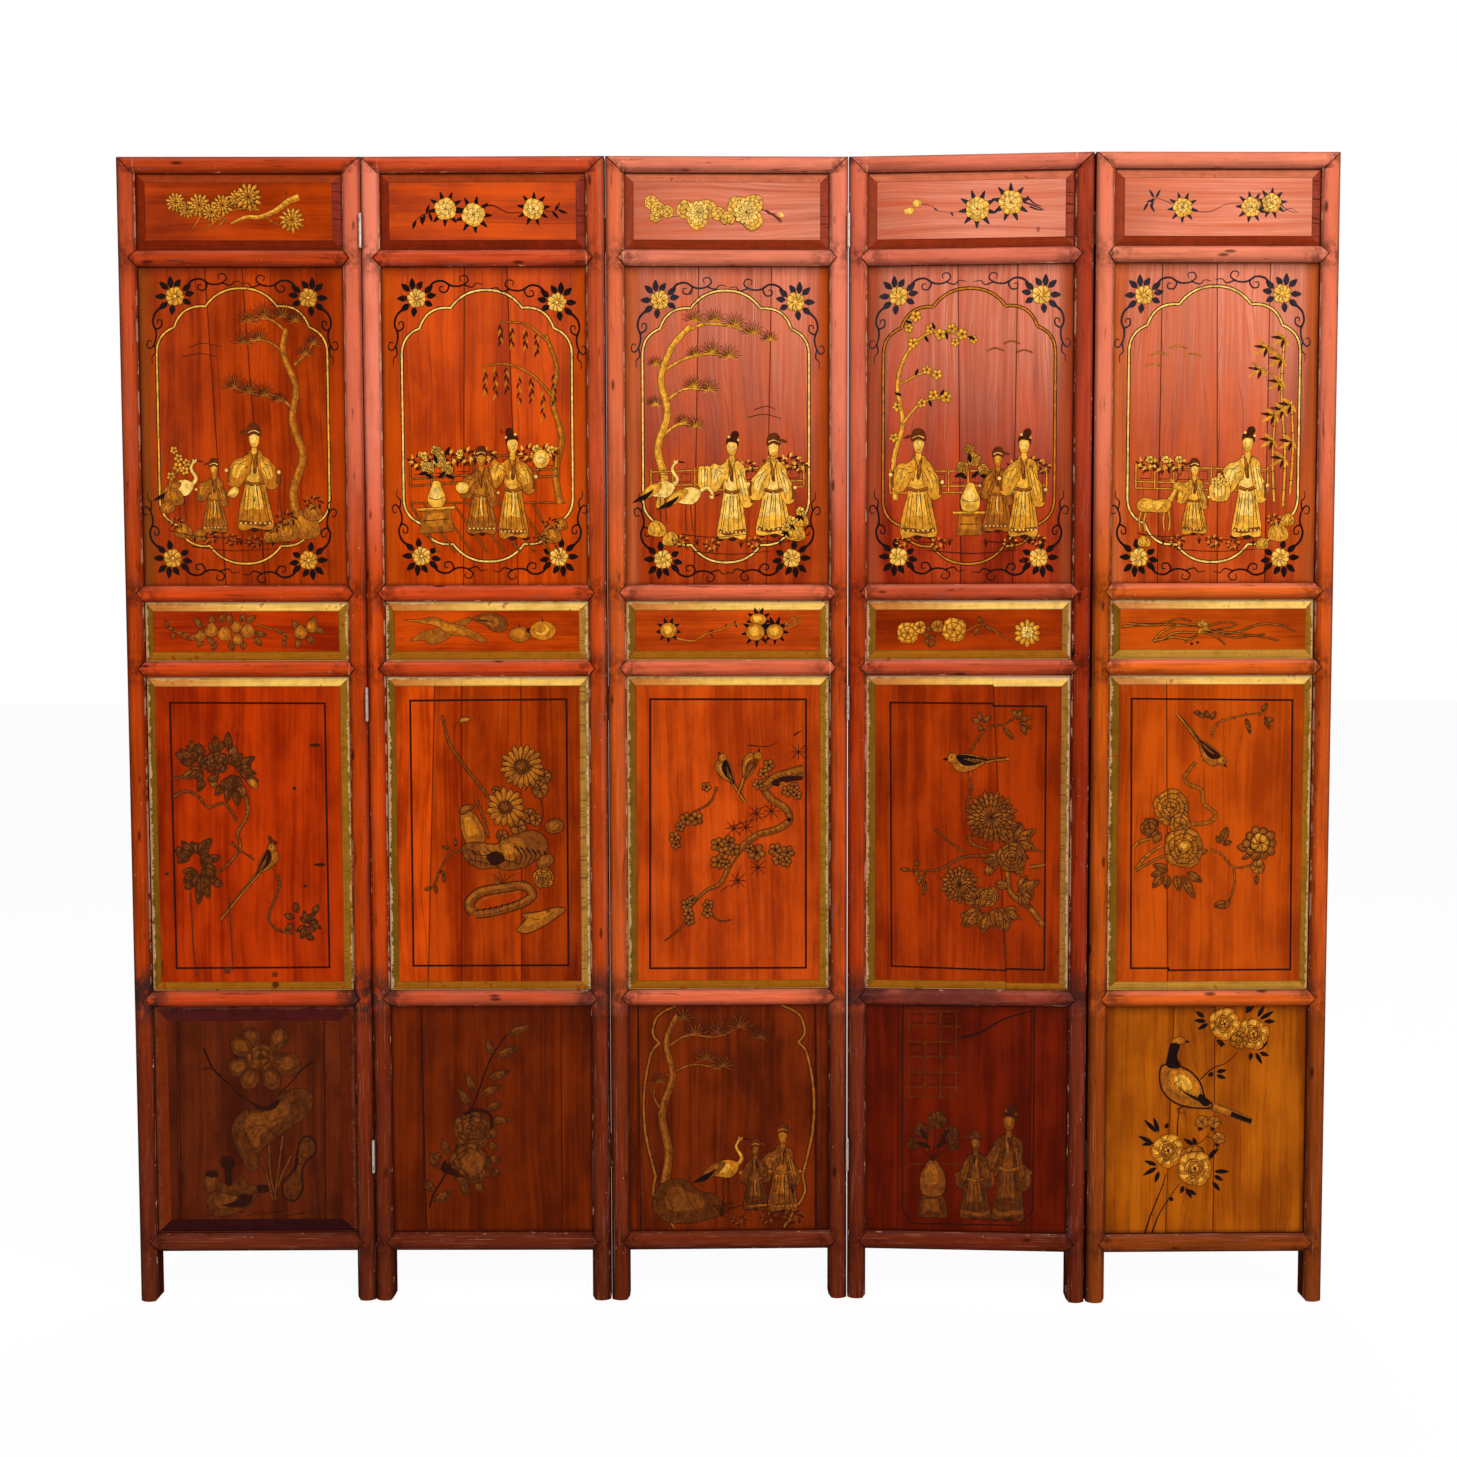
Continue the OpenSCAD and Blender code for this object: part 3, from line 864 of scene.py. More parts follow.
def looks() -> Dict[int, LeafLook]:
    """The finishes of all the leaves.

    Returns:
        A look for each leaf's number.
    """
    # Top tones; those of leaves 3 to 5 are pinker, a painted reflection of the sky
    tops = (
        rgb(176, 60, 20), rgb(188, 66, 28), rgb(206, 112, 84), rgb(196, 96, 70), rgb(210, 116, 84),
    )
    middles = (
        rgb(196, 66, 18), rgb(198, 68, 24), rgb(214, 98, 62), rgb(178, 70, 38), rgb(212, 92, 26),
    )
    lows = (
        rgb(124, 42, 14), rgb(116, 40, 14), rgb(122, 46, 18), rgb(114, 42, 22), rgb(144, 62, 14),
    )
    feet = (rgb(100, 40, 20), rgb(98, 38, 18), rgb(102, 38, 16), rgb(102, 36, 16), rgb(130, 58, 16))
    # Painted light: each stile's left flank, crown and right flank tones, lit or shaded by the way
    # they face
    stiles = (
        (
            (rgb(150, 52, 6), rgb(174, 60, 10), rgb(160, 50, 8)),
            (rgb(162, 54, 4), rgb(180, 60, 6), rgb(190, 66, 26)),
        ),
        (
            (rgb(178, 58, 6), rgb(200, 70, 12), rgb(176, 56, 14)),
            (rgb(160, 56, 4), rgb(176, 62, 14), rgb(190, 84, 46)),
        ),
        (
            (rgb(186, 74, 14), rgb(196, 84, 32), rgb(196, 88, 38)),
            (rgb(120, 42, 8), rgb(184, 68, 20), rgb(200, 80, 30)),
        ),
        (
            (rgb(156, 44, 6), rgb(168, 54, 12), rgb(176, 60, 20)),
            (rgb(124, 34, 4), rgb(148, 42, 10), rgb(162, 54, 32)),
        ),
        (
            (rgb(172, 70, 8), rgb(186, 80, 16), rgb(176, 74, 14)),
            (rgb(160, 58, 6), rgb(196, 80, 24), rgb(192, 82, 30)),
        ),
    )
    glares = ((0.1, 0.5), (0.9, 0.1), (0.3, 0.8), (0.45, 0.08), (0.7, 0.55))
    uppers = (
        (rgb(184, 62, 6), rgb(130, 36, 2)),
        (rgb(212, 76, 6), rgb(158, 46, 2)),
        (rgb(190, 70, 16), rgb(140, 40, 8)),
        (rgb(180, 60, 22), rgb(126, 30, 9)),
        (rgb(196, 78, 26), rgb(150, 46, 11)),
    )
    lowers = (
        (rgb(190, 56, 3), rgb(136, 30, 1)),
        (rgb(204, 72, 6), rgb(144, 38, 1)),
        (rgb(204, 76, 14), rgb(150, 46, 6)),
        (rgb(172, 56, 5), rgb(122, 32, 2)),
        (rgb(200, 80, 10), rgb(156, 54, 6)),
    )
    skirts = (
        (rgb(106, 40, 12), rgb(68, 22, 6)),
        (rgb(120, 40, 4), rgb(80, 22, 2)),
        (rgb(128, 44, 6), rgb(78, 22, 3)),
        (rgb(114, 27, 3), rgb(78, 14, 1)),
        (rgb(186, 96, 10), rgb(138, 62, 4)),
    )
    strips = (
        (rgb(132, 70, 8), rgb(190, 66, 8)),
        (rgb(196, 78, 10), rgb(186, 74, 14)),
        (rgb(206, 108, 58), rgb(178, 76, 20)),
        (rgb(168, 82, 50), rgb(150, 74, 40)),
        (rgb(214, 112, 58), rgb(186, 92, 40)),
    )
    gilts = (
        GILT,
        replace(GILT, right=rgb(172, 122, 50), ridges=0.6, worn_edge=rgb(240, 206, 148)),
        GILT,
        replace(GILT, right=rgb(154, 106, 44), ridges=0.6, worn_edge=rgb(238, 186, 142)),
        replace(GILT, bottom=rgb(194, 140, 50)),
    )
    # How strong the painted sky reflection is on each leaf's frieze and upper panel
    sky_reflection_shares = (0.0, 0.06, 0.64, 0.76, 0.8)
    sheens = (0.25, 0.3, 0.5, 0.5, 0.55)
    wears = (0.7, 0.9, 0.8, 0.9, 0.6)
    rail_glares = (0.0, 0.05, 0.28, 0.24, 0.3)
    fadings = (0.12, 0.3, 0.0, 0.9, 0.0)
    rots = (0.95, 0.7, 0.4, 0.55, 0.2)
    faded_tones = (
        rgb(128, 70, 60), rgb(150, 104, 84), rgb(92, 40, 34), rgb(96, 42, 36), rgb(92, 40, 34),
    )
    # Frieze slopes: the top tones are a painted reflection of sky and the darker bottom and left
    # tones painted shade; the paler set for leaves 3 to 5 holds a stronger painted reflection
    dark_bevels = Bevels(
        top=rgb(154, 60, 24), bottom=rgb(122, 34, 8), left=rgb(126, 36, 10),
        right=rgb(134, 46, 30), ridges=0.7, rim=0.0,
    )
    light_bevels = Bevels(
        top=rgb(196, 104, 72), bottom=rgb(140, 48, 20), left=rgb(150, 60, 34),
        right=rgb(150, 62, 42), ridges=0.7, rim=0.0,
    )
    friezes = (dark_bevels, dark_bevels, light_bevels, light_bevels, light_bevels)
    skirt_bevels = Bevels(
        top=rgb(72, 22, 20), bottom=rgb(52, 16, 16), left=rgb(118, 42, 10),
        right=rgb(92, 30, 8), rim=0.4, worn_edge=rgb(128, 74, 46),
    )
    made: Dict[int, LeafLook] = {}
    for i in range(len(PLACES)):
        frame = frame_finish(
            tops[i], middles[i], lows[i], feet[i], sheen_share=sheens[i], wear=wears[i],
            glare=rail_glares[i], faded=fadings[i], rot=rots[i], faded_tone=faded_tones[i],
        )
        pale, deep = uppers[i]
        tints = UPPER_TINTS[: len(UPPER_SEAMS[i]) + 1]
        made[i + 1] = LeafLook(
            left=replace(frame, sides=stiles[i][0], glare=glares[i][0]),
            right=replace(frame, sides=stiles[i][1], glare=glares[i][1]),
            rails=frame,
            frieze=PanelFinish(
                BoardTones(pale, deep, rings=0.2, ring_width=7.0),
                friezes[i],
                opening=PLAN.frieze,
                run=Run.LEVEL,
                sheen_share=sky_reflection_shares[i],
            ),
            upper=PanelFinish(
                BoardTones(pale, deep, rings=0.5, boards=tints),
                seams=UPPER_SEAMS[i],
                sheen_share=sky_reflection_shares[i],
                sheen_band=(1380.0, 1880.0),
                strips=strips[i],
            ),
            waist=PanelFinish(
                BoardTones(*lowers[i], rings=0.25, ring_width=8.0),
                gilts[i],
                opening=PLAN.waist,
                run=Run.LEVEL,
            ),
            lower=PanelFinish(
                BoardTones(*lowers[i], rings=0.3, ring_width=13.0, boards=LOWER_TINTS[i]),
                gilts[i],
                seams=LOWER_SEAMS[i],
                opening=PLAN.lower,
            ),
            skirt=PanelFinish(
                BoardTones(*skirts[i], rings=0.4, ring_width=10.0, boards=SKIRT_TINTS),
                skirt_bevels if i == 0 else None,
                seams=SKIRT_SEAMS[i],
                opening=PLAN.skirt,
            ),
        )
    return made


# Dressing the frame


@dataclass
class LeafDresser:
    """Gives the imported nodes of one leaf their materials."""

    place: LeafPlace
    look: LeafLook
    steel: bpy.types.Material

    def dress(self, nodes: Dict[str, bpy.types.Object]) -> None:
        """Assigns a material to each of the leaf's nodes.

        Args:
            nodes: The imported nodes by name.
        """
        members = {
            "left_stile": (self.look.left, Run.UPRIGHT, 1.0),
            "right_stile": (self.look.right, Run.UPRIGHT, 4.0),
            "top_rail": (self.look.rails, Run.LEVEL, 7.0),
            "cross_rails": (self.look.rails, Run.LEVEL, 9.0),
        }
        for part, (finish, run, seed) in members.items():
            name = self.place.node(part)
            self.assign(nodes[name], finish.material(name, self.place, run, seed))
        panels = {
            "frieze_panel": (self.look.frieze, 21.0),
            "upper_boards": (self.look.upper, 25.0),
            "waist_panel": (self.look.waist, 29.0),
            "lower_panel": (self.look.lower, 33.0),
            "skirt_panel": (self.look.skirt, 37.0),
        }
        for part, (finish, seed) in panels.items():
            name = self.place.node(part)
            self.assign(nodes[name], finish.material(name, self.place, seed))
        for part in ("hinge_plates", "hinge_screws"):
            self.assign(nodes[self.place.node(part)], self.steel)
        log.info("dressed %s", self.place.body)

    @staticmethod
    def assign(node: bpy.types.Object, material: bpy.types.Material) -> None:
        """Puts one material in all of a node's slots."""
        if not node.material_slots:
            node.data.materials.append(material)
        for slot in node.material_slots:
            slot.link = "OBJECT"
            slot.material = material


# The paintings


@dataclass(frozen=True)
class Grid:
    """A picture's grid: its corner and its steps across and down, in millimetres."""

    corner: Point
    across: Point = (1.0, 0.0)
    down: Point = (0.0, -1.0)


class Ink(Enum):
    """The paints, each with a share that says how much it covers."""

    CREAM = (*rgb(244, 196, 98), 1.0)
    BRIGHT = (*rgb(230, 164, 52), 1.0)
    YELLOW = (*rgb(206, 136, 34), 1.0)
    GOLD = (*rgb(190, 112, 20), 1.0)
    OCHRE = (*rgb(160, 88, 18), 0.95)
    DULL = (*rgb(126, 64, 14), 0.92)
    OLIVE = (*rgb(98, 46, 7), 0.85)
    UMBER = (*rgb(96, 40, 6), 0.95)
    BROWN = (*rgb(62, 22, 5), 0.95)
    DARK = (*rgb(44, 13, 4), 0.95)
    BLACK = (*rgb(20, 8, 5), 1.0)
    SLATE = (*rgb(40, 36, 44), 0.95)
    LEAD = (*rgb(92, 44, 22), 0.6)


LIGHTER = {
    Ink.OLIVE: Ink.DULL, Ink.DULL: Ink.OCHRE, Ink.OCHRE: Ink.GOLD, Ink.GOLD: Ink.BRIGHT,
    Ink.YELLOW: Ink.BRIGHT, Ink.BRIGHT: Ink.CREAM,
}


@dataclass(frozen=True)
class Palette:
    """The paints of one picture."""

    fill: Ink = Ink.GOLD
    light: Ink = Ink.CREAM
    line: Ink = Ink.UMBER
    leaf: Ink = Ink.BLACK


@dataclass(frozen=True)
class PaintFinish:
    """Thin gold and ink paint, rubbed here and there down to the lacquer."""

    rubbed: float = 0.45
    hatched: float = 0.3
    shaded: float = 0.2
    hatching: Colour = rgb(52, 16, 3)

    def material(self, name: str, seed: float) -> bpy.types.Material:
        """Builds the paint.

        Args:
            name: The material's name.
            seed: A number that gives the picture its own wear.

        Returns:
            The finished material.
        """
        s = Sheet(name)
        x, y, z = s.split(s.node("ShaderNodeTexCoord", {}, {}, "Object"))
        painted = s.node("ShaderNodeAttribute", {"attribute_name": "paint"}, {}, "Color")
        cover = s.node("ShaderNodeAttribute", {"attribute_name": "paint"}, {}, "Alpha")
        mottle = s.noise(x * 130.0 + seed, y * 130.0, z * 90.0, 4.0, 0.65)
        worn = s.noise(x * 60.0, y * 60.0 + seed, z * 24.0, 5.0, 0.7)
        fine = s.noise(x * 420.0, y * 420.0 + seed, z * 300.0, 3.0, 0.6)
        blotch = s.noise(x * 90.0, y * 90.0 + seed * 2, z * 70.0, 5.0, 0.68)
        colour = s.dim(painted, (1.04 + (mottle - 0.5) * 2.3).larger(0.4))
        colour = s.mix(blotch.rise(0.5, 0.62) * self.shaded, colour, self.hatching)
        colour = s.mix(fine.rise(0.52, 0.64) * self.hatched, colour, self.hatching)
        through = worn.rise(0.66 - self.rubbed * 0.12, 0.72)
        return s.shade(
            Base_Color=colour,
            Alpha=(1 - through * 0.75) * cover,
            Roughness=0.34 + mottle * 0.25,
            Specular_IOR_Level=0.06,
        )


@dataclass
class Canvas:
    """One picture's mesh, lying on a panel.

    Each shape lies one thin layer above all those under it, so that none share a plane.
    """

    place: LeafPlace
    depth: float
    grid: Grid
    base: float = 0.1
    layer: float = 0.004
    cell: float = 6.0
    lift: float = 0.1
    spare: float = 0.06
    levels: Dict[Tuple[int, int], int] = field(default_factory=dict)
    mesh: bmesh.types.BMesh = field(default_factory=bmesh.new)

    def __post_init__(self) -> None:
        """Adds the layer that holds the paints."""
        self.paint = self.mesh.verts.layers.float_color.new("paint")
        self.front = self.place.point(0.0, -1.0, 0.0) - self.place.point(0.0, 0.0, 0.0)

    def point(self, at: Point) -> Vector:
        """The place on the panel of a point in steps right of and below the corner."""
        (x, y), grid = at, self.grid
        return self.place.point(
            grid.corner[0] + x * grid.across[0] + y * grid.down[0],
            self.depth - self.lift,
            grid.corner[1] + x * grid.across[1] + y * grid.down[1],
        )

    def _over(self, spans: Sequence[Sequence[Point]]) -> None:
        """Lifts the next shape over all those in the cells that it covers."""
        cells = set()
        for span in spans:
            (left, right), (top, bottom) = (
                (int(min(values) // self.cell), int(max(values) // self.cell))
                for values in zip(*span)
            )
            cells |= {(i, j) for i in range(left, right + 1) for j in range(top, bottom + 1)}
        level = 1 + max(self.levels.get(cell, 0) for cell in cells)
        self.levels.update(dict.fromkeys(cells, level))
        self.lift = self.base + level * self.layer

    def _finish(self, verts: Sequence[bmesh.types.BMVert], ink: Ink) -> None:
        """Colours new vertices and turns their faces to the front."""
        faces = {face for vert in verts for face in vert.link_faces}
        for vert in verts:
            vert[self.paint] = ink.value
        for face in faces:
            face.normal_update()
            if face.normal.dot(self.front) < 0:
                face.normal_flip()

    def fill(self, outline: Sequence[Point], ink: Ink) -> None:
        """Fills a closed outline.

        Args:
            outline: The outline's points in order.
            ink: The paint.
        """
        self._over([outline])
        made = bmesh.ops.create_circle(self.mesh, cap_ends=True, segments=len(outline), radius=1.0)
        verts = made["verts"]
        for vert, at in zip(verts, outline):
            vert.co = self.point(at)
        self._finish(verts, ink)

    def ribbon(self, path: Sequence[Point], widths: Sequence[float], ink: Ink) -> None:
        """Lays a ribbon along a path.

        Args:
            path: The middle line's points.
            widths: The ribbon's width at each point.
            ink: The paint.
        """
        last = len(path) - 1
        halves = [(-width / 2, width / 2) for width in widths]
        self._over([
            [(x + off, y + off) for x, y in path[i : i + 2] for off in halves[i]]
            for i in range(last)
        ])
        made = bmesh.ops.create_grid(self.mesh, x_segments=last, y_segments=1, size=1.0)
        for vert in made["verts"]:
            i = round((vert.co.x + 1) / 2 * last)
            side = 0.5 if vert.co.y > 0 else -0.5
            before, after = path[max(i - 1, 0)], path[min(i + 1, last)]
            run = math.hypot(after[0] - before[0], after[1] - before[1]) or 1.0
            across = (-(after[1] - before[1]) / run, (after[0] - before[0]) / run)
            x, y = path[i]
            vert.co = self.point(
                (x + across[0] * side * widths[i], y + across[1] * side * widths[i]),
            )
        self._finish(made["verts"], ink)

    def finish(self, name: str, material: bpy.types.Material, slot: str) -> bpy.types.Object:
        """Turns the picture into a piece with the paint's thickness.

        Args:
            name: The piece's name.
            material: Its material.
            slot: The record's material slot; not used.

        Returns:
            The piece, riding on its leaf.
        """
        bmesh.ops.triangulate(self.mesh, faces=[f for f in self.mesh.faces if len(f.verts) > 4])
        data = bpy.data.meshes.new(name)
        self.mesh.to_mesh(data)
        self.mesh.free()
        data.materials.append(material)
        piece = bpy.data.objects.new(name, data)
        bpy.context.scene.collection.objects.link(piece)
        thick = piece.modifiers.new("thickness", "SOLIDIFY")
        deepest = max(self.levels.values()) * self.layer
        thick.thickness = (self.base + deepest + self.spare) * MM
        thick.offset = -1.0
        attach(piece, self.place.body)
        log.info("painted %s: %d faces, %.2f mm deep", name, len(data.polygons), deepest)
        return piece


@dataclass(frozen=True)
class Brush:
    """Draws motifs on a canvas, in a frame that may be moved, turned, scaled and mirrored."""

    canvas: Canvas
    colours: Palette
    origin: Point = (0.0, 0.0)
    turn: float = 0.0
    size: float = 1.0
    mirror: bool = False
    pen: float = 1.0

    def at(
        self, x: float, y: float, turn: float = 0.0, size: float = 1.0, mirror: bool = False
    ) -> "Brush":
        """A brush in a frame of its own.

        Args:
            x: The frame's place across.
            y: The frame's place downwards.
            turn: Its turn in degrees, clockwise as seen.
            size: Its scale.
            mirror: Whether left and right change places in it.

        Returns:
            The brush in the new frame.
        """
        flipped = self.mirror != mirror
        turned = self.turn + (-turn if self.mirror else turn)
        return replace(
            self, origin=self._map((x, y)), turn=turned, size=self.size * size, mirror=flipped,
            pen=self.pen / size,
        )

    def _map(self, at: Point) -> Point:
        """The canvas point of a point in this frame."""
        x, y = (-at[0] if self.mirror else at[0]) * self.size, at[1] * self.size
        cos, sin = math.cos(math.radians(self.turn)), math.sin(math.radians(self.turn))
        return self.origin[0] + x * cos - y * sin, self.origin[1] + x * sin + y * cos

    def _plain(self) -> "Brush":
        """A brush in the canvas's own frame."""
        return replace(self, origin=(0.0, 0.0), turn=0.0, size=1.0, mirror=False)

    def _smooth(self, points: Sequence[Point], closed: bool, steps: int) -> List[Point]:
        """Points on a smooth curve through the given ones."""
        count = len(points)
        if count < 3 and not closed:
            return [self._map(p) for p in points]
        made: List[Point] = []
        for i in range(count if closed else count - 1):
            if closed:
                a, b, c, d = (points[(i + k) % count] for k in (-1, 0, 1, 2))
            else:
                a, b, c, d = (points[min(max(i + k, 0), count - 1)] for k in (-1, 0, 1, 2))
            for k in range(steps):
                t = k / steps
                made.append(
                    tuple(
                        0.5 * (2 * q + (r - p) * t + (2 * p - 5 * q + 4 * r - w) * t * t
                        + (3 * q - p - 3 * r + w) * t ** 3)
                        for p, q, r, w in zip(a, b, c, d)
                    )
                )
        if not closed:
            made.append(points[-1])
        return [self._map(p) for p in made]

    def wash(
        self, points: Sequence[Point], ink: Optional[Ink] = None, edge: float = 0.0,
        steps: int = 3,
    ) -> None:
        """Fills a smooth closed shape, with a darker edge under it if an edge is given.

        Args:
            points: Points on the outline, in order.
            ink: The paint, or none for the palette's.
            edge: How far the darker edge stands out.
            steps: Parts between two points.
        """
        outline = self._smooth(points, True, steps)
        ink = ink or self.colours.fill
        if edge:
            rim = self._grow(outline, edge * self.pen * self.size)
            self.canvas.fill(rim, self.colours.line)
        self.canvas.fill(outline, ink)
        if edge and ink in LIGHTER:
            self._glow(outline, LIGHTER[ink])

    def _glow(self, outline: Sequence[Point], ink: Ink) -> None:
        """Lays a lighter patch within a shape that is big enough, towards its upper left."""
        count = len(outline)
        x, y = (sum(values) / count for values in zip(*outline))
        wide = max(abs(u - x) for u, _ in outline)
        tall = max(abs(v - y) for _, v in outline)
        if min(wide, tall) < 1.5 * self.pen * self.size:
            return
        share = 0.56
        left, up = wide * 0.09, tall * 0.1
        patch = [(x + (u - x) * share - left, y + (v - y) * share - up) for u, v in outline]
        if all(self._inside(at, outline) for at in patch):
            self.canvas.fill(patch, ink)

    @staticmethod
    def _inside(at: Point, outline: Sequence[Point]) -> bool:
        """Whether a point lies within a closed outline."""
        within = False
        for i, (u, v) in enumerate(outline):
            x, y = outline[i - 1]
            if (v > at[1]) != (y > at[1]) and at[0] < (x - u) * (at[1] - v) / (y - v) + u:
                within = not within
        return within

    @staticmethod
    def _grow(outline: Sequence[Point], by: float) -> List[Point]:
        """Moves a closed outline outwards."""
        following = [*outline[1:], outline[0]]
        area = sum(x * v - u * y for (x, y), (u, v) in zip(outline, following))
        sense = 1.0 if area > 0 else -1.0
        made = []
        for i, (x, y) in enumerate(outline):
            before, after = outline[i - 1], following[i]
            dx, dy = after[0] - before[0], after[1] - before[1]
            run = math.hypot(dx, dy) or 1.0
            made.append((x + dy / run * by * sense, y - dx / run * by * sense))
        return made

    def stroke(self, points: Sequence[Point], start: float, end: Optional[float] = None,
               ink: Optional[Ink] = None, edge: float = 0.0, steps: int = 4) -> None:
        """Draws one brush stroke through points.

        Args:
            points: The points that it passes.
            start: Its width at the start.
            end: Its width at the end, or none for the same.
            ink: The paint, or none for the palette's line.
            edge: How far a darker edge stands out at each side.
            steps: Parts between two points.
        """
        end = start if end is None else end
        path = self._smooth(points, False, steps)
        last = len(path) - 1
        widths = [(start + (end - start) * i / last) * self.size for i in range(last + 1)]
        if edge:
            wide = [w + 2 * edge * self.pen * self.size for w in widths]
            self.canvas.ribbon(path, wide, self.colours.line)
        ink = ink or self.colours.line
        self.canvas.ribbon(path, widths, ink)
        if edge and ink in LIGHTER and start > 3 * self.pen:
            shift = [(x - w * 0.12, y - w * 0.14) for (x, y), w in zip(path, widths)]
            self.canvas.ribbon(shift, [w * 0.4 for w in widths], LIGHTER[ink])

    def line(self, points: Sequence[Point], weight: float, ink: Optional[Ink] = None) -> None:
        """Draws one fine line whose width is given in pens."""
        wide = weight * self.pen
        self.stroke(points, wide, wide * 0.6, ink, 0.0, 3)

    def dot(
        self, x: float, y: float, radius: float, ink: Optional[Ink] = None, sides: int = 7,
    ) -> None:
        """Sets one round dot."""
        turns = (2 * math.pi * k / sides for k in range(sides))
        ring = [self._map((x + radius * math.cos(a), y + radius * math.sin(a))) for a in turns]
        self.canvas.fill(ring, ink or self.colours.fill)

    def leaf(self, x: float, y: float, turn: float, length: float, width: float,
             ink: Optional[Ink] = None, vein: bool = False) -> None:
        """One pointed leaf growing from a point, at a turn clockwise from the right."""
        own = self.at(x, y, turn)
        half = width / 2
        shape = (
            (0, 0), (length * 0.35, -half), (length * 0.72, -half * 0.7), (length, 0),
            (length * 0.72, half * 0.7), (length * 0.35, half),
        )
        own.wash(shape, ink or self.colours.leaf, 0.7 if vein else 0.0, steps=2)
        if vein:
            own.line(((length * 0.05, 0), (length * 0.9, 0)), 0.9)
            if length * self.size > 14 * self.pen:
                for k in (0.3, 0.5, 0.7):
                    own.line(((length * k, 0), (length * (k + 0.14), -half * 0.6)), 0.6)
                    own.line(((length * k, 0), (length * (k + 0.14), half * 0.6)), 0.6)

    def sprigs(self, rows: Sequence[Sequence[float]], width: float, ink: Optional[Ink] = None,
               vein: bool = False, length: float = 0.0) -> None:
        """Many pointed leaves.

        Args:
            rows: Each leaf's place and turn, and its length unless all share one.
            width: The leaves' width.
            ink: The paint, or none for the palette's.
            vein: Whether veins are drawn.
            length: The length that all share.
        """
        for x, y, turn, *own in rows:
            self.leaf(x, y, turn, own[0] if own else length, width, ink, vein)

    def leaves(
        self, x: float, y: float, turns: Sequence[float], length: float, width: float,
        ink: Optional[Ink] = None,
    ) -> None:
        """A tuft of leaves from one point."""
        for k, turn in enumerate(turns):
            self.leaf(x, y, turn, length * (1 - 0.12 * (k % 3)), width, ink)

    def bloom(
        self, x: float, y: float, radius: float, petals: int, rings: int = 1, broad: float = 1.0,
        ink: Optional[Ink] = None, notch: float = 0.0, turn: float = 0.0,
    ) -> None:
        """A flower of outlined petals in rings.

        Args:
            x: Its place across.
            y: Its place downwards.
            radius: Its radius.
            petals: Petals in the outermost ring.
            rings: How many rings.
            broad: A petal's width against the room it has.
            ink: The petals' paint.
            notch: How deep the petals' tips are notched, against their length.
            turn: Its turn in degrees.
        """
        for ring in range(rings):
            reach = radius * (1 - 0.78 * ring / rings)
            count = max(4, petals - 2 * ring)
            half = math.pi * reach / count * broad
            for k in range(count):
                own = self.at(x, y, turn + 360 * (k + 0.5 * (ring % 2)) / count)
                tall = reach * (1.0 if k % 2 else 0.92)
                shape = (
                    (reach * 0.1, 0), (tall * 0.5, -half * 0.75), (tall * 0.86, -half * 0.7),
                    (tall * (1 - notch), 0), (tall * 0.86, half * 0.7), (tall * 0.5, half * 0.75),
                )
                own.wash(shape, ink, 0.75, steps=2)
                if half > 2.2 * self.pen:
                    own.line(((reach * 0.3, 0), (tall * 0.8, 0)), 0.5)
                if half > 6.0 * self.pen:
                    own.line(((reach * 0.4, -half * 0.4), (tall * 0.76, -half * 0.42)), 0.45)
                    own.line(((reach * 0.4, half * 0.4), (tall * 0.76, half * 0.42)), 0.45)

    def heart(self, x: float, y: float, radius: float) -> None:
        """The middle of an open flower: a dark ring round a pale dot."""
        self.dot(x, y, radius, sides=9)
        self.dot(x, y, radius * 0.55, self.colours.light)

    def branch(
        self, points: Sequence[Point], start: float, end: float, ink: Optional[Ink] = None,
    ) -> None:
        """A branch with a dark edge and short bark marks."""
        self.stroke(points, start, end, ink or self.colours.fill, 0.6)
        if start > 5:
            path = self._smooth(points, False, 3)
            flat = self._plain()
            for k in range(1, len(path) - 1):
                x, y = path[k]
                reach = (start + (end - start) * k / len(path)) * 0.3 * self.size
                flat.stroke(
                    ((x - reach, y - reach * 0.4), (x + reach * 0.5, y + reach * 0.6)),
                    self.pen * 0.8, self.pen * 0.4,
                )

    def tuft(
        self, x: float, y: float, radius: float, start: float = 0.0, end: float = 360.0,
        needles: int = 15, ink: Optional[Ink] = None,
    ) -> None:
        """A fan of pine needles."""
        for k in range(needles):
            angle = math.radians(start + (end - start) * k / max(needles - 1, 1))
            reach = radius * (1.0 if k % 2 else 0.82)
            tip = (x + reach * math.cos(angle), y + reach * math.sin(angle))
            self.line(((x, y), tip), 1.2, ink or self.colours.line)

    def curl(self, points: Sequence[Point], width: float, ink: Optional[Ink] = None) -> None:
        """A tendril of ink that thins at its end."""
        self.stroke(points, width, width * 0.4, ink or self.colours.leaf, 0.0, 5)

    def grass(self, x: float, y: float, tips: Sequence[Point], width: float,
              ink: Optional[Ink] = None) -> None:
        """Blades of grass that bend from one root to their tips."""
        for u, v in tips:
            middle = (x + u * 0.35, y + v * 0.66)
            self.stroke(((x, y), middle, (x + u, y + v)), width, 0.4, ink)


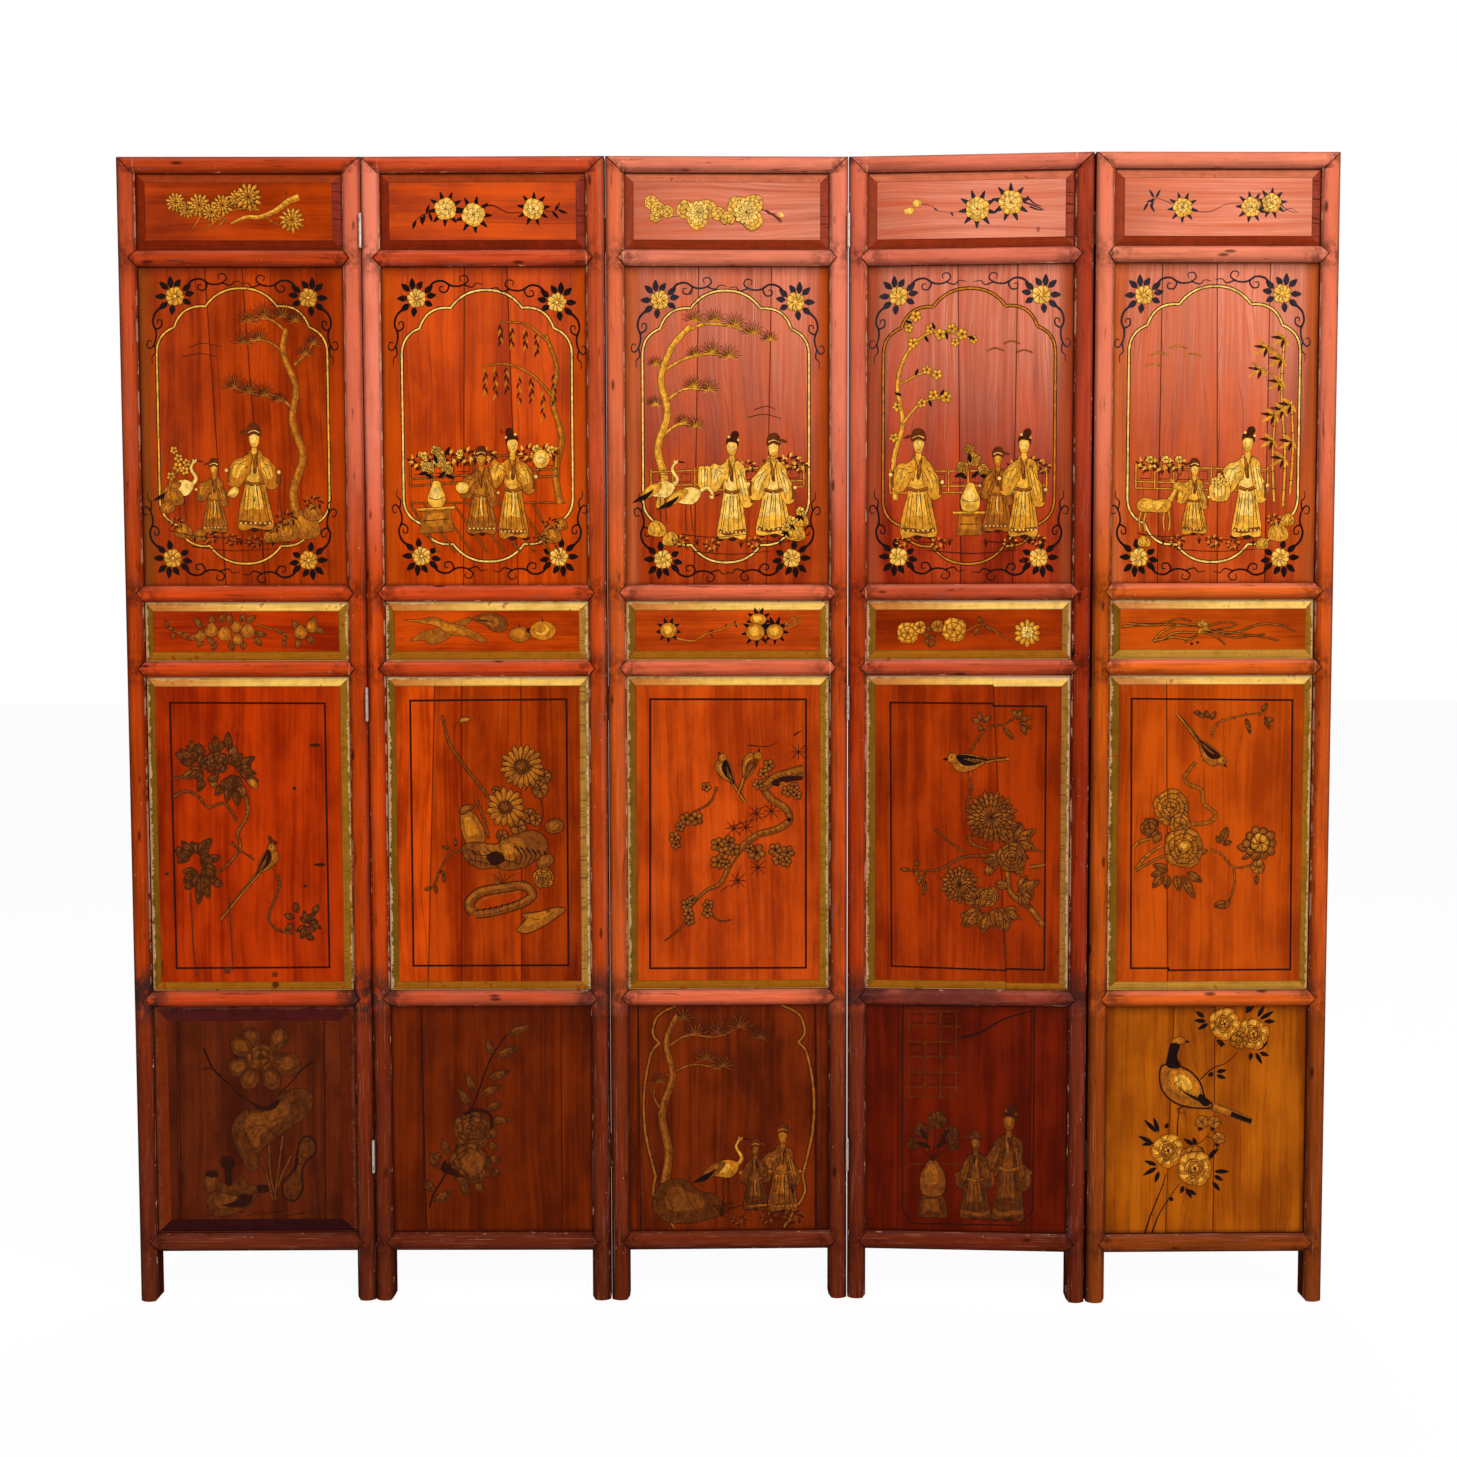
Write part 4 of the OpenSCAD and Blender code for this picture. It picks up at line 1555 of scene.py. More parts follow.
@dataclass(frozen=True)
class Motifs(Brush):
    """A brush that also knows the birds, fruits, rocks and figures of the pictures."""

    def bird(self, x: float, y: float, turn: float, size: float, tail: float,
             mirror: bool = False, back: Ink = Ink.BROWN, coat: Optional[Ink] = None) -> None:
        """A small bird whose head is at the left and whose tail runs to the right.

        Args:
            x: Its place across.
            y: Its place downwards.
            turn: Its turn in degrees.
            size: Its scale; the body is about 50 steps long at 1.
            tail: The tail's length before scaling.
            mirror: Whether it faces right.
            back: The paint of its wing.
            coat: The paint of its body.
        """
        own = self.at(x, y, turn, size, mirror)
        coat = coat or self.colours.light
        own.stroke(((14, 1), (20 + tail * 0.5, 1), (20 + tail, 3)), 8, 3.0, coat, 0.7)
        own.stroke(((16, 0), (20 + tail * 0.5, 0), (20 + tail * 0.9, 1)), 3.0, 1.0, back)
        own.wash((
            (-24, -8), (-12, -14), (4, -12), (22, -5), (26, 1), (12, 9), (-6, 13), (-21, 8),
        ), coat, 0.7)
        own.wash(((-31, -10), (-27, -17), (-19, -17), (-14, -10), (-20, -3), (-28, -4)), coat, 0.6)
        own.leaf(-29, -10, 178, 9, 4, self.colours.line)
        own.wash(((-18, -12), (-6, -13), (8, -9), (30, 0), (18, 3), (4, 5), (-10, 2)), back)
        for k in range(4):
            own.stroke(((-6 + 6 * k, -7 + k), (10 + 6 * k, 1 + 0.5 * k)), 1.0, 0.5, coat)
        own.dot(-24, -12, 1.5, Ink.BLACK, 6)
        own.stroke(((-2, 12), (-4, 19)), 1.2, 0.8)
        own.stroke(((4, 11), (4, 19)), 1.2, 0.8)

    def fruit(self, x: float, y: float, radius: float, flat: float = 0.9,
              ink: Optional[Ink] = None, stem: bool = False, pointed: bool = False) -> None:
        """A round or pointed fruit with a soft light side."""
        own = self.at(x, y, 0.0, radius)
        ring = [(math.cos(a), math.sin(a) * flat) for a in (k * math.pi / 4 for k in range(8))]
        if pointed:
            ring[6] = (0.0, -1.25 * flat)
        own.wash(ring, ink, 0.8)
        own.wash([(u * 0.45 - 0.2, v * 0.45 - 0.15) for u, v in ring], self.colours.light)
        if pointed:
            own.stroke(((0.05, -1.1), (-0.12, -0.3), (0.0, 0.5)), 0.06, 0.03)
        if stem:
            own.stroke(((0, -flat * 0.9), (-0.1, -flat - 0.35)), 0.09, 0.06)

    def plum(
        self, x: float, y: float, radius: float, turn: float = 0.0, ink: Optional[Ink] = None,
    ) -> None:
        """A plum blossom of five round petals."""
        for k in range(5):
            own = self.at(x, y, turn + 72 * k)
            own.wash((
                (radius * 0.15, 0), (radius * 0.5, -radius * 0.42), (radius, -radius * 0.22),
                (radius, radius * 0.22), (radius * 0.5, radius * 0.42),
            ), ink, 0.6, steps=2)
        self.dot(x, y, radius * 0.22, self.colours.line, 6)

    def peony(
        self, x: float, y: float, radius: float, turn: float = 0.0, ink: Optional[Ink] = None,
    ) -> None:
        """A full peony: broad notched petals round a close heart."""
        self.bloom(x, y, radius, 9, 3, 1.05, ink, 0.1, turn)
        self.bloom(x, y, radius * 0.26, 5, 1, 1.2, ink, 0.0, turn + 20)

    def aster(self, x: float, y: float, radius: float, petals: int = 20, rings: int = 2,
              ink: Optional[Ink] = None, eye: float = 0.0) -> None:
        """A chrysanthemum of narrow petals."""
        self.bloom(x, y, radius, petals, rings, 0.8, ink)
        if eye:
            turns = [k * math.pi / 4 for k in range(8)]
            ring = [(x + eye * math.cos(a), y + eye * 0.9 * math.sin(a)) for a in turns]
            self.wash(ring, Ink.OLIVE, 0.6)
            for k in range(7):
                self.dot(
                    x + eye * 0.55 * math.cos(k * 0.9), y + eye * 0.5 * math.sin(k * 0.9), 2.4,
                    self.colours.line, 5,
                )

    def lobed(
        self, x: float, y: float, turn: float, length: float, ink: Optional[Ink] = None,
    ) -> None:
        """A leaf of three veined lobes."""
        for off, share in ((-38, 0.72), (38, 0.72), (0, 1.0)):
            self.leaf(
                x, y, turn + off, length * share, length * 0.42, ink or self.colours.fill, True,
            )

    def thorns(self, points: Sequence[Point], reach: float = 11.0, every: int = 2) -> None:
        """Short spurs beside a branch."""
        path = self._smooth(points, False, 3)
        flat = self._plain()
        for i in range(1, len(path) - 1, every):
            (x, y), (u, v) = path[i], path[i + 1]
            run = math.hypot(u - x, v - y) or 1.0
            side = (1 if (i // every) % 2 else -1) * reach * self.size
            flat.stroke(((x, y), (
                x - (v - y) / run * side + (u - x) / run * side * 0.4,
                y + (u - x) / run * side + (v - y) / run * side * 0.4,
            )), self.pen * 1.4, self.pen * 0.4)

    def twig(
        self, points: Sequence[Point], start: float, end: float, ink: Optional[Ink] = None,
    ) -> None:
        """A thorny branch."""
        self.thorns(points)
        self.branch(points, start, end, ink)

    def rock(self, points: Sequence[Point], ink: Optional[Ink] = None,
             cracks: Sequence[Sequence[Point]] = ()) -> None:
        """A stone with cracks drawn on it."""
        self.wash(points, ink, 0.8)
        for crack in cracks:
            self.line(crack, 1.2)

    def border(self, corners: Sequence[Point], width: float, ink: Ink = Ink.DARK) -> None:
        """Straight lines from corner to corner and back to the first."""
        for i, corner in enumerate(corners):
            after = corners[(i + 1) % len(corners)]
            run = math.hypot(after[0] - corner[0], after[1] - corner[1]) or 1.0
            by = width / 2 / run
            dx, dy = (after[0] - corner[0]) * by, (after[1] - corner[1]) * by
            self.stroke((
                (corner[0] - dx, corner[1] - dy), (after[0] + dx, after[1] + dy),
            ), width, width, ink)

    def corner_flower(self, x: float, y: float, mirror: bool, down: bool, petals: int,
                      ink: Optional[Ink] = None) -> None:
        """A daisy with dark leaves and tendrils that run along both sides of a corner."""
        flip = 1.0 if down else -1.0
        own = self.at(x, y, 0.0, 1.0, mirror)

        def flipped(points: Sequence[Point]) -> List[Point]:
            """Turns points over for the lower corners."""
            return [(u, v * flip) for u, v in points]

        for path, width in (
            ((
                (17, -12), (30, -27), (46, -30), (57, -22), (52, -11), (42, -12), (42, -20),
                (48, -20),
            ), 4.4),
            (((52, -27), (64, -21), (80, -22), (91, -30), (87, -39), (77, -37), (79, -29)), 3.8),
            (((82, -24), (98, -19), (106, -26), (118, -24)), 3.0),
        ):
            own.curl(flipped(path), width)
            own.curl(flipped([(v * 0.8 - u * 0.1 - 11, u) for u, v in path]), width)
        for u, v, turn, length in (
            (-7, -14, 268, 22), (-12, -12, 222, 20), (0, -15, 305, 18), (14, -9, 318, 20),
            (17, -3, 350, 18), (14, 6, 28, 16), (-15, 0, 178, 20), (-13, 10, 140, 20),
            (-4, 15, 96, 18),
        ):
            own.leaf(u, v * flip, turn * flip, length, 11)
        own.bloom(0, 0, 18.0, petals, 1, 0.95, ink or self.colours.light, 0.06, 8.0)
        own.heart(0, 0, 4.6)

    @staticmethod
    def lobe(start: Point, end: Point, bulge: float) -> List[Point]:
        """Points on an arc that bulges to the left of its way by a share of its length."""
        (x, y), (u, v) = start, end
        made = []
        for k in range(9):
            t = k / 8
            off = 4 * t * (1 - t) * bulge
            made.append((x + (u - x) * t + (v - y) * off, y + (v - y) * t - (u - x) * off))
        return made

    def cartouche(
        self, x: float, y: float, half: Point, width: float, ink: Ink, edge: float,
    ) -> None:
        """A lobed frame line with a darker edge.

        Args:
            x: Its middle across.
            y: Its middle downwards.
            half: Half its width and half its height.
            width: The line's width.
            ink: The line's paint.
            edge: How far the dark edge stands out.
        """
        reach, rise = half
        a, b, c = (reach * 0.42, -rise * 0.87), (reach * 0.79, -rise * 0.72), (reach, -rise * 0.53)
        quarter = (
            self.lobe((0, -rise), a, 0.13), self.lobe(a, b, 0.2), self.lobe(b, c, 0.17),
            [c, (reach * 1.0, 0.0)],
        )
        for wide, tone in ((width + 2 * edge, self.colours.leaf), (width, ink)):
            for sx, sy in ((1, 1), (1, -1), (-1, 1), (-1, -1)):
                for points in quarter:
                    path = [(x + u * sx, y + v * sy) for u, v in points]
                    self.stroke(path, wide, None, tone, 0.0, 1)

    def pine(self, trunk: Sequence[Point], boughs: Sequence[Sequence[Point]],
             tufts: Sequence[Tuple[float, float, float]], start: float, end: float) -> None:
        """A leaning pine: trunk, boughs and flat tufts of needles.

        Args:
            trunk: The trunk's points from the root.
            boughs: The boughs' points.
            tufts: Each tuft's place and radius.
            start: The trunk's width at its root.
            end: Its width at its top.
        """
        for bough in boughs:
            self.branch(bough, end * 0.6, end * 0.25)
        for u, v, radius in tufts:
            self.tuft(u, v, radius, 170, 370, 17, Ink.BROWN)
            self.tuft(u + 3, v + 2, radius * 0.7, 160, 380, 9, self.colours.fill)
        self.branch(trunk, start, end)

    def figure(
        self, x: float, y: float, size: float, mirror: bool = False, gown: Optional[Ink] = None,
        sleeves: Sequence[Point] = ((-24, -50), (20, -46)), lady: bool = False,
    ) -> None:
        """A calm figure in a long robe, standing on a point and turned a little to the left.

        Args:
            x: The feet's place across.
            y: The feet's place downwards.
            size: Its scale; it is about 100 steps tall at 1.
            mirror: Whether it turns to the right.
            gown: The robe's paint.
            sleeves: Where the two sleeves end.
            lady: Whether it has a lady's high hair and narrow robe.
        """
        own = self.at(x, y, 0.0, size, mirror)
        gown = gown or self.colours.fill
        face = Ink.BRIGHT if gown is Ink.BRIGHT else LIGHTER.get(gown, Ink.OCHRE)
        narrow = 0.8 if lady else 1.0
        own.leaf(-8, -1, 178, 9, 5, Ink.BROWN)
        own.leaf(5, -1, 175, 9, 5, Ink.BROWN)
        skirt = [(u * narrow, v) for u, v in (
            (-8, -80), (-12, -66), (-11, -48), (-15, -26), (-19, -4), (-10, -1), (2, -3), (12, 0),
            (18, -5), (15, -28), (10, -48), (12, -66), (7, -79), (0, -83))]
        own.wash(skirt, gown, 0.8)
        for fold in (
            ((-6, -44), (-9, -26), (-13, -6)), ((-2, -44), (-4, -24), (-5, -5)),
            ((2, -44), (2, -24), (3, -6)), ((6, -44), (8, -24), (9, -5)),
            ((9, -42), (12, -22), (15, -7)), ((-9, -40), (-13, -18), (-16, -6)),
        ):
            own.line([(u * narrow, v) for u, v in fold], 1.1)
        own.stroke(
            [(u * narrow, v) for u, v in ((-17, -9), (-6, -6), (6, -8), (17, -9))], 4.0, 4.0,
            Ink.DULL,
        )
        for k in range(7):
            own.dot((-15 + 5 * k) * narrow, -7.6, 1.1, self.colours.light, 5)
        for u, v in sleeves:
            side = -1 if u < 0 else 1
            own.wash((
                (side * 3, -79), (side * 12, -75), (u * 0.75, v - 13), (u, v - 5),
                (u + side * 2, v + 12), (u * 0.62, v + 15), (side * 7, v + 2), (side * 5, -58),
            ), gown, 0.8)
            own.stroke((
                (u, v - 5), (u + side * 1.4, v + 4), (u + side * 1, v + 11),
            ), 3.2, 3.2, Ink.DULL)
            own.line(((side * 8, -72), (u * 0.6, v - 8), (u * 0.75, v + 4)), 1.0)
            own.line(((side * 6, -66), (u * 0.5, v - 2), (u * 0.66, v + 10)), 1.0)
            own.line(((side * 10, -68), (u * 0.8, v - 8), (u * 0.92, v + 1)), 0.9)
            own.dot(u + side * 3, v - 2, 1.9, self.colours.light, 6)
        own.wash(((-3.4, -82), (0, -72), (1.4, -60), (-1.6, -60), (-2.6, -70)), Ink.DULL, 0.5)
        own.line(((4, -81), (1, -72), (0, -60)), 1.3)
        own.stroke(((-10 * narrow, -50), (0, -47.5), (10 * narrow, -50)), 3.2, 3.0, Ink.DULL, 0.5)
        own.stroke(((0, -47), (-1, -36), (1, -24)), 1.6, 1.8, self.colours.light, 0.5)
        own.wash(((-2.4, -79), (2.4, -79), (2.4, -87), (-2.4, -87)), face, 0.0, steps=1)
        head = own.at(0.0, 12.0, 0.0, 1.14)
        head.wash((
            (-4.6, -92), (-4.2, -97), (0, -99), (4.0, -97), (4.4, -92), (2.8, -87), (0, -85.4),
            (-2.9, -87),
        ), face, 0.6)
        for brow in (
            ((-3.2, -93.2), (-1.6, -93.6)), ((0.4, -93.6), (2.0, -93.2)),
            ((-0.8, -92.4), (-1.3, -90.4)), ((-1.2, -88.4), (0.4, -88.4)),
            ((-2.8, -92.2), (-1.6, -92.3)), ((0.4, -92.3), (1.6, -92.2)),
        ):
            head.line(brow, 0.55)
        if lady:
            head.wash((
                (-5, -94), (-4.6, -100), (0, -102), (5.4, -100), (5.8, -93), (3.4, -96.4),
                (-2.8, -97),
            ), Ink.BROWN)
            head.wash(((-1, -101), (0, -106), (4.6, -107), (6.4, -103), (3.6, -100)), Ink.BROWN)
            head.dot(-2.6, -101.6, 1.3, self.colours.light, 5)
            head.dot(5.6, -99, 1.1, self.colours.light, 5)
        else:
            head.wash((
                (-5.4, -95.6), (-6, -101), (-3, -106), (3, -106.6), (6, -102), (5.8, -95.6),
                (0, -98),
            ), Ink.UMBER, 0.6)
            head.line(((-5, -98.6), (0, -100.6), (5.4, -98.6)), 1.2, self.colours.light)
            head.leaf(6, -101, 20, 8, 3, Ink.UMBER)

    def rocks(
        self, places: Sequence[Tuple[float, float, float]], ink: Optional[Ink] = None,
    ) -> None:
        """Heaped stones with cracks.

        Args:
            places: Each stone's place and radius.
            ink: The stones' paint.
        """
        for k, (x, y, radius) in enumerate(places):
            own = self.at(x, y, 0.0, radius / 10, k % 2 == 1)
            own.wash((
                (-10, 5), (-9, -3), (-3, -9), (4, -7), (9, -2), (10, 6), (3, 9), (-5, 8),
            ), ink, 0.8)
            own.line(((-5, -5), (-2, 1), (-4, 7)), 1.0)
            own.line(((3, -6), (4, 0), (8, 3)), 1.0)
            own.line(((-8, 1), (-5, 3), (-6, 6)), 0.8)
            own.line(((1, 2), (3, 5), (2, 8)), 0.8)

    def foliage(
        self, places: Sequence[Tuple[float, float, float]], ink: Optional[Ink] = None,
    ) -> None:
        """Clumps of small dark leaves with a few pale ones.

        Args:
            places: Each clump's place and radius.
            ink: The pale leaves' paint.
        """
        for x, y, radius in places:
            for k in range(20):
                angle = 2.4 * k
                reach = radius * math.sqrt((k + 0.5) / 20)
                at = (x + reach * math.cos(angle), y + reach * 0.62 * math.sin(angle))
                self.leaf(
                    *at, math.degrees(angle) + 40, radius * 0.6, radius * 0.26,
                    Ink.BROWN if k % 3 else ink or self.colours.fill,
                )

    def crane(
        self, x: float, y: float, size: float, mirror: bool = False, bowed: bool = False,
    ) -> None:
        """A crane standing on thin legs, facing left; about 100 steps tall at 1."""
        own = self.at(x, y, 0.0, size, mirror)
        own.stroke(((2, -42), (0, -20), (-2, 0)), 1.6, 1.0)
        own.stroke(((8, -42), (9, -20), (7, 0)), 1.6, 1.0)
        head = (-30, -52) if bowed else (-16, -96)
        bend = ((-22, -66), (-30, -58)) if bowed else ((-18, -68), (-10, -84))
        neck = ((-8, -56), *bend, head)
        own.stroke(neck, 6, 3, self.colours.light, 0.6)
        own.wash((
            (-14, -58), (0, -66), (20, -60), (32, -48), (14, -42), (-4, -42),
        ), self.colours.light, 0.7)
        own.wash(((6, -62), (24, -60), (38, -44), (28, -40), (12, -50)), self.colours.fill, 0.5)
        for k in range(5):
            own.leaf(18 + 3 * k, -54 + 2 * k, 48 - 4 * k, 26, 4, Ink.BLACK)
        own.dot(head[0], head[1], 3.4, self.colours.light)
        own.leaf(head[0] - 2, head[1], 200 if bowed else 172, 13, 2.6, self.colours.line)
        own.dot(head[0], head[1] - 2.2, 1.5, Ink.BROWN, 5)


TOP_GRIDS = (
    Grid((-1.8, 2066.6), (0.509, -0.0006), (-0.0094, -0.5048)),
    Grid((-6.6, 2066.2), (0.5105, -0.0015), (-0.0053, -0.505)),
    Grid((-11.7, 2065.4), (0.5109, 0.0004), (-0.0012, -0.5055)),
    Grid((-8.2, 2064.5), (0.5055, -0.0061), (0.0029, -0.504)),
    Grid((-8.5, 2066.5), (0.5148, -0.0002), (0.0072, -0.5077)),
)
MIDDLE_GRIDS = (
    Grid((-6.5, 1293.1), (0.4809, -0.0015), (-0.0088, -0.4837)),
    Grid((1.3, 1291.9), (0.4823, -0.001), (-0.005, -0.4839)),
    Grid((-16.5, 1291.5), (0.4826, -0.002), (-0.0011, -0.4844)),
    Grid((-7.0, 1288.4), (0.4775, 0.0016), (0.0028, -0.4828)),
    Grid((-11.0, 1288.6), (0.481, -0.0016), (0.0066, -0.4812)),
)
SKIRT_GRIDS = (
    Grid((-22.9, 553.0), (0.3592, -0.0017), (-0.0067, -0.3657)),
    Grid((-37.7, 549.5), (0.3608, -0.0005), (-0.0037, -0.3659)),
    Grid((0.0, 541.0)),
    Grid((0.0, 541.0)),
    Grid((-83.8, 551.6), (0.3717, -0.0022), (0.005, -0.3765)),
)
DIM = Palette(Ink.DULL, Ink.GOLD, Ink.DARK, Ink.UMBER)
WARM = Palette(Ink.OCHRE, Ink.GOLD, Ink.DARK, Ink.DULL)
MUTED = Palette(Ink.OCHRE, Ink.CREAM, Ink.BROWN, Ink.BLACK)
VIVID = Palette(Ink.YELLOW, Ink.CREAM, Ink.BROWN, Ink.BLACK)
BRIGHT = Palette(Ink.BRIGHT, Ink.CREAM, Ink.UMBER, Ink.BLACK)
COOL = Palette(Ink.BRIGHT, Ink.CREAM, Ink.UMBER, Ink.SLATE)
GILDED = Palette(Ink.GOLD, Ink.BRIGHT, Ink.BROWN, Ink.BLACK)
SUNNY = Palette(Ink.YELLOW, Ink.BRIGHT, Ink.DARK, Ink.BLACK)
FADED = Palette(Ink.OLIVE, Ink.DULL, Ink.DARK, Ink.DARK)


class Pictures:
    """The pictures on the five leaves' panels."""

    @staticmethod
    def frieze_1(b: Motifs) -> None:
        """A gold pine bough."""
        b.branch(((500, 215), (440, 212), (385, 222)), 8, 4)
        for path in (((300, 235), (262, 290)), ((370, 240), (300, 290)), ((385, 245), (338, 292))):
            b.stroke(path, 7, 2, Ink.OCHRE, 0.5)
        for x, y, radius in (
            (212, 190, 36), (250, 215, 32), (292, 200, 44), (335, 225, 34), (372, 200, 40),
            (425, 178, 34), (462, 172, 50),
        ):
            b.bloom(x, y, radius, 13, 2, 0.62, Ink.GOLD)
        b.branch((
            (636, 172), (600, 185), (556, 218), (500, 240), (455, 240), (402, 262),
        ), 24, 9, Ink.GOLD)
        b.branch(((520, 240), (560, 264), (605, 260)), 6, 3)
        b.bloom(612, 250, 46, 13, 2, 0.6, Ink.GOLD)

    @staticmethod
    def _leafy_bloom(
        b: Motifs, x: float, y: float, radius: float, petals: int = 9, turn: float = 0.0,
    ) -> None:
        """A yellow bloom ringed by dark pointed leaves."""
        for k in range(9):
            b.leaf(x, y, turn + 40 * k + 12, radius * 1.5, radius * 0.42)
        b.bloom(x, y, radius, petals, 1, 1.1, Ink.BRIGHT, 0.08, turn)
        b.bloom(x, y, radius * 0.5, 6, 1, 1.0, Ink.CREAM, 0.0, turn + 25)
        b.dot(x, y, radius * 0.13, Ink.OCHRE, 6)

    @classmethod
    def frieze_2(cls, b: Motifs) -> None:
        """Three yellow blooms on a dark trailing branch."""
        b.curl(((440, 205), (470, 200), (520, 224), (570, 224)), 5)
        b.curl(((270, 220), (225, 235), (190, 268)), 4)
        b.curl(((640, 212), (670, 222), (704, 212)), 3)
        b.sprigs((
            (250, 225, 70), (235, 230, 100), (222, 236, 80), (205, 250, 110), (240, 228, 290),
            (675, 220, 50), (685, 218, 300), (695, 216, 20),
        ), 11, length=34)
        cls._leafy_bloom(b, 307, 212, 42)
        cls._leafy_bloom(b, 610, 212, 40, 8, 20)
        cls._leafy_bloom(b, 403, 232, 44, 8, 30)

    @staticmethod
    def frieze_3(b: Motifs) -> None:
        """Clusters of bright blossom."""
        b.curl(((210, 230), (245, 240), (285, 238)), 3)
        for u, v in ((575, 215), (595, 225), (612, 238)):
            b.leaf(u, v, 40, 30, 10, Ink.LEAD)
        b.curl(((560, 212), (600, 232), (628, 262)), 4)
        for u, v, radius, petals in (
            (182, 190, 26, 6), (205, 215, 30, 7), (236, 222, 24, 6), (195, 240, 20, 5),
            (300, 215, 36, 8), (340, 250, 38, 9), (372, 212, 36, 8), (412, 228, 26, 6),
            (445, 245, 26, 6), (480, 205, 40, 9), (530, 250, 40, 9), (535, 195, 36, 8),
        ):
            b.bloom(u, v, radius, petals, 2, 1.1, Ink.BRIGHT, 0.1, u)
        b.bloom(340, 222, 40, 11, 2, 0.95, Ink.CREAM)
        b.bloom(508, 225, 44, 13, 2, 0.9, Ink.CREAM)
        b.leaf(618, 228, 20, 24, 15, Ink.CREAM)

    @classmethod
    def frieze_4(cls, b: Motifs) -> None:
        """Two blooms, two buds and a thin stem."""
        b.curl(((262, 195), (300, 200), (330, 220), (390, 222), (420, 215)), 2.4)
        b.leaf(310, 208, 40, 16, 6)
        b.leaf(368, 222, 60, 18, 7)
        b.wash(((205, 215), (225, 206), (242, 212), (232, 228), (212, 228)), Ink.BRIGHT, 0.5)
        b.wash(((236, 190), (250, 178), (268, 184), (262, 202), (244, 204)), Ink.BRIGHT, 0.5)
        for path in (
            ((620, 190), (650, 200), (690, 218)), ((630, 170), (655, 195), (680, 205)),
            ((640, 205), (665, 215), (682, 218)),
        ):
            b.curl(path, 7)
        cls._leafy_bloom(b, 460, 212, 46, 12)
        cls._leafy_bloom(b, 575, 190, 46, 11, 18)

    @classmethod
    def frieze_5(cls, b: Motifs) -> None:
        """Three daisies on a thin stem."""
        b.curl(((270, 210), (235, 195), (210, 190)), 3)
        b.sprigs((
            (215, 190, 300), (210, 190, 240), (215, 195, 165), (190, 205, 120), (195, 210, 60),
            (205, 190, 95),
        ), 9, length=34)
        b.curl(((345, 235), (400, 236), (455, 212), (505, 206)), 3)
        b.curl(((640, 205), (655, 225), (690, 240)), 4)
        b.curl(((650, 235), (675, 225), (700, 240)), 3)
        cls._leafy_bloom(b, 307, 222, 36, 10)
        cls._leafy_bloom(b, 541, 220, 37, 10, 10)
        cls._leafy_bloom(b, 610, 207, 36, 10, 22)

    @staticmethod
    def waist_1(b: Motifs) -> None:
        """Peaches among leaves."""
        b.branch(((250, 165), (205, 158), (168, 132)), 6, 3)
        b.branch(((500, 130), (545, 142), (585, 152), (620, 172)), 6, 4)
        b.sprigs((
            (195, 150, 200), (200, 158, 120), (175, 140, 240), (225, 160, 60), (610, 170, 120),
            (600, 160, 190), (600, 185, 80),
        ), 13, None, True, length=30)
        b.sprigs((
            (300, 140, 225, 48), (285, 170, 160, 44), (300, 180, 120, 40), (330, 130, 280, 40),
            (360, 125, 300, 46), (400, 130, 270, 44), (440, 120, 300, 36), (460, 120, 330, 44),
            (490, 160, 10, 48), (490, 175, 50, 44), (450, 190, 90, 34), (400, 190, 70, 40),
            (350, 190, 110, 40), (320, 170, 60, 46), (655, 145, 230, 40), (700, 130, 300, 36),
            (715, 140, 30, 40), (660, 180, 110, 40), (690, 170, 60, 36),
        ), 22, None, True)
        for u, v, radius in (
            (332, 152, 24), (292, 172, 20), (380, 165, 26), (425, 140, 20), (466, 155, 25),
            (430, 185, 20), (662, 160, 24), (704, 138, 22),
        ):
            b.fruit(u, v, radius, 0.95, Ink.OCHRE, False, True)

    @staticmethod
    def waist_2(b: Motifs) -> None:
        """Crossed roots, a leaf and two round fruits."""
        b.wash((
            (158, 190), (205, 158), (262, 142), (322, 122), (372, 104), (386, 114), (330, 152),
            (290, 186), (238, 202), (205, 186),
        ), None, 0.7)
        b.wash((
            (135, 112), (190, 112), (245, 102), (300, 122), (350, 134), (405, 160), (438, 186),
            (428, 196), (362, 172), (300, 164), (255, 134), (205, 124),
        ), None, 0.7)
        b.stroke(((150, 115), (230, 118), (300, 140), (380, 165)), 3, 1, Ink.GOLD)
        b.wash((
            (388, 110), (430, 90), (480, 92), (516, 112), (512, 150), (470, 156), (432, 128),
        ), Ink.DULL, 0.7)
        for tip in ((515, 115), (510, 145), (478, 154), (480, 95)):
            b.stroke(((400, 112), (455, 118), tip), 2.2, 0.8)
        b.fruit(565, 166, 40, 0.7, Ink.OCHRE, True)
        b.dot(598, 152, 11, Ink.BROWN)
        b.fruit(650, 152, 48, 0.73, Ink.GOLD, True)

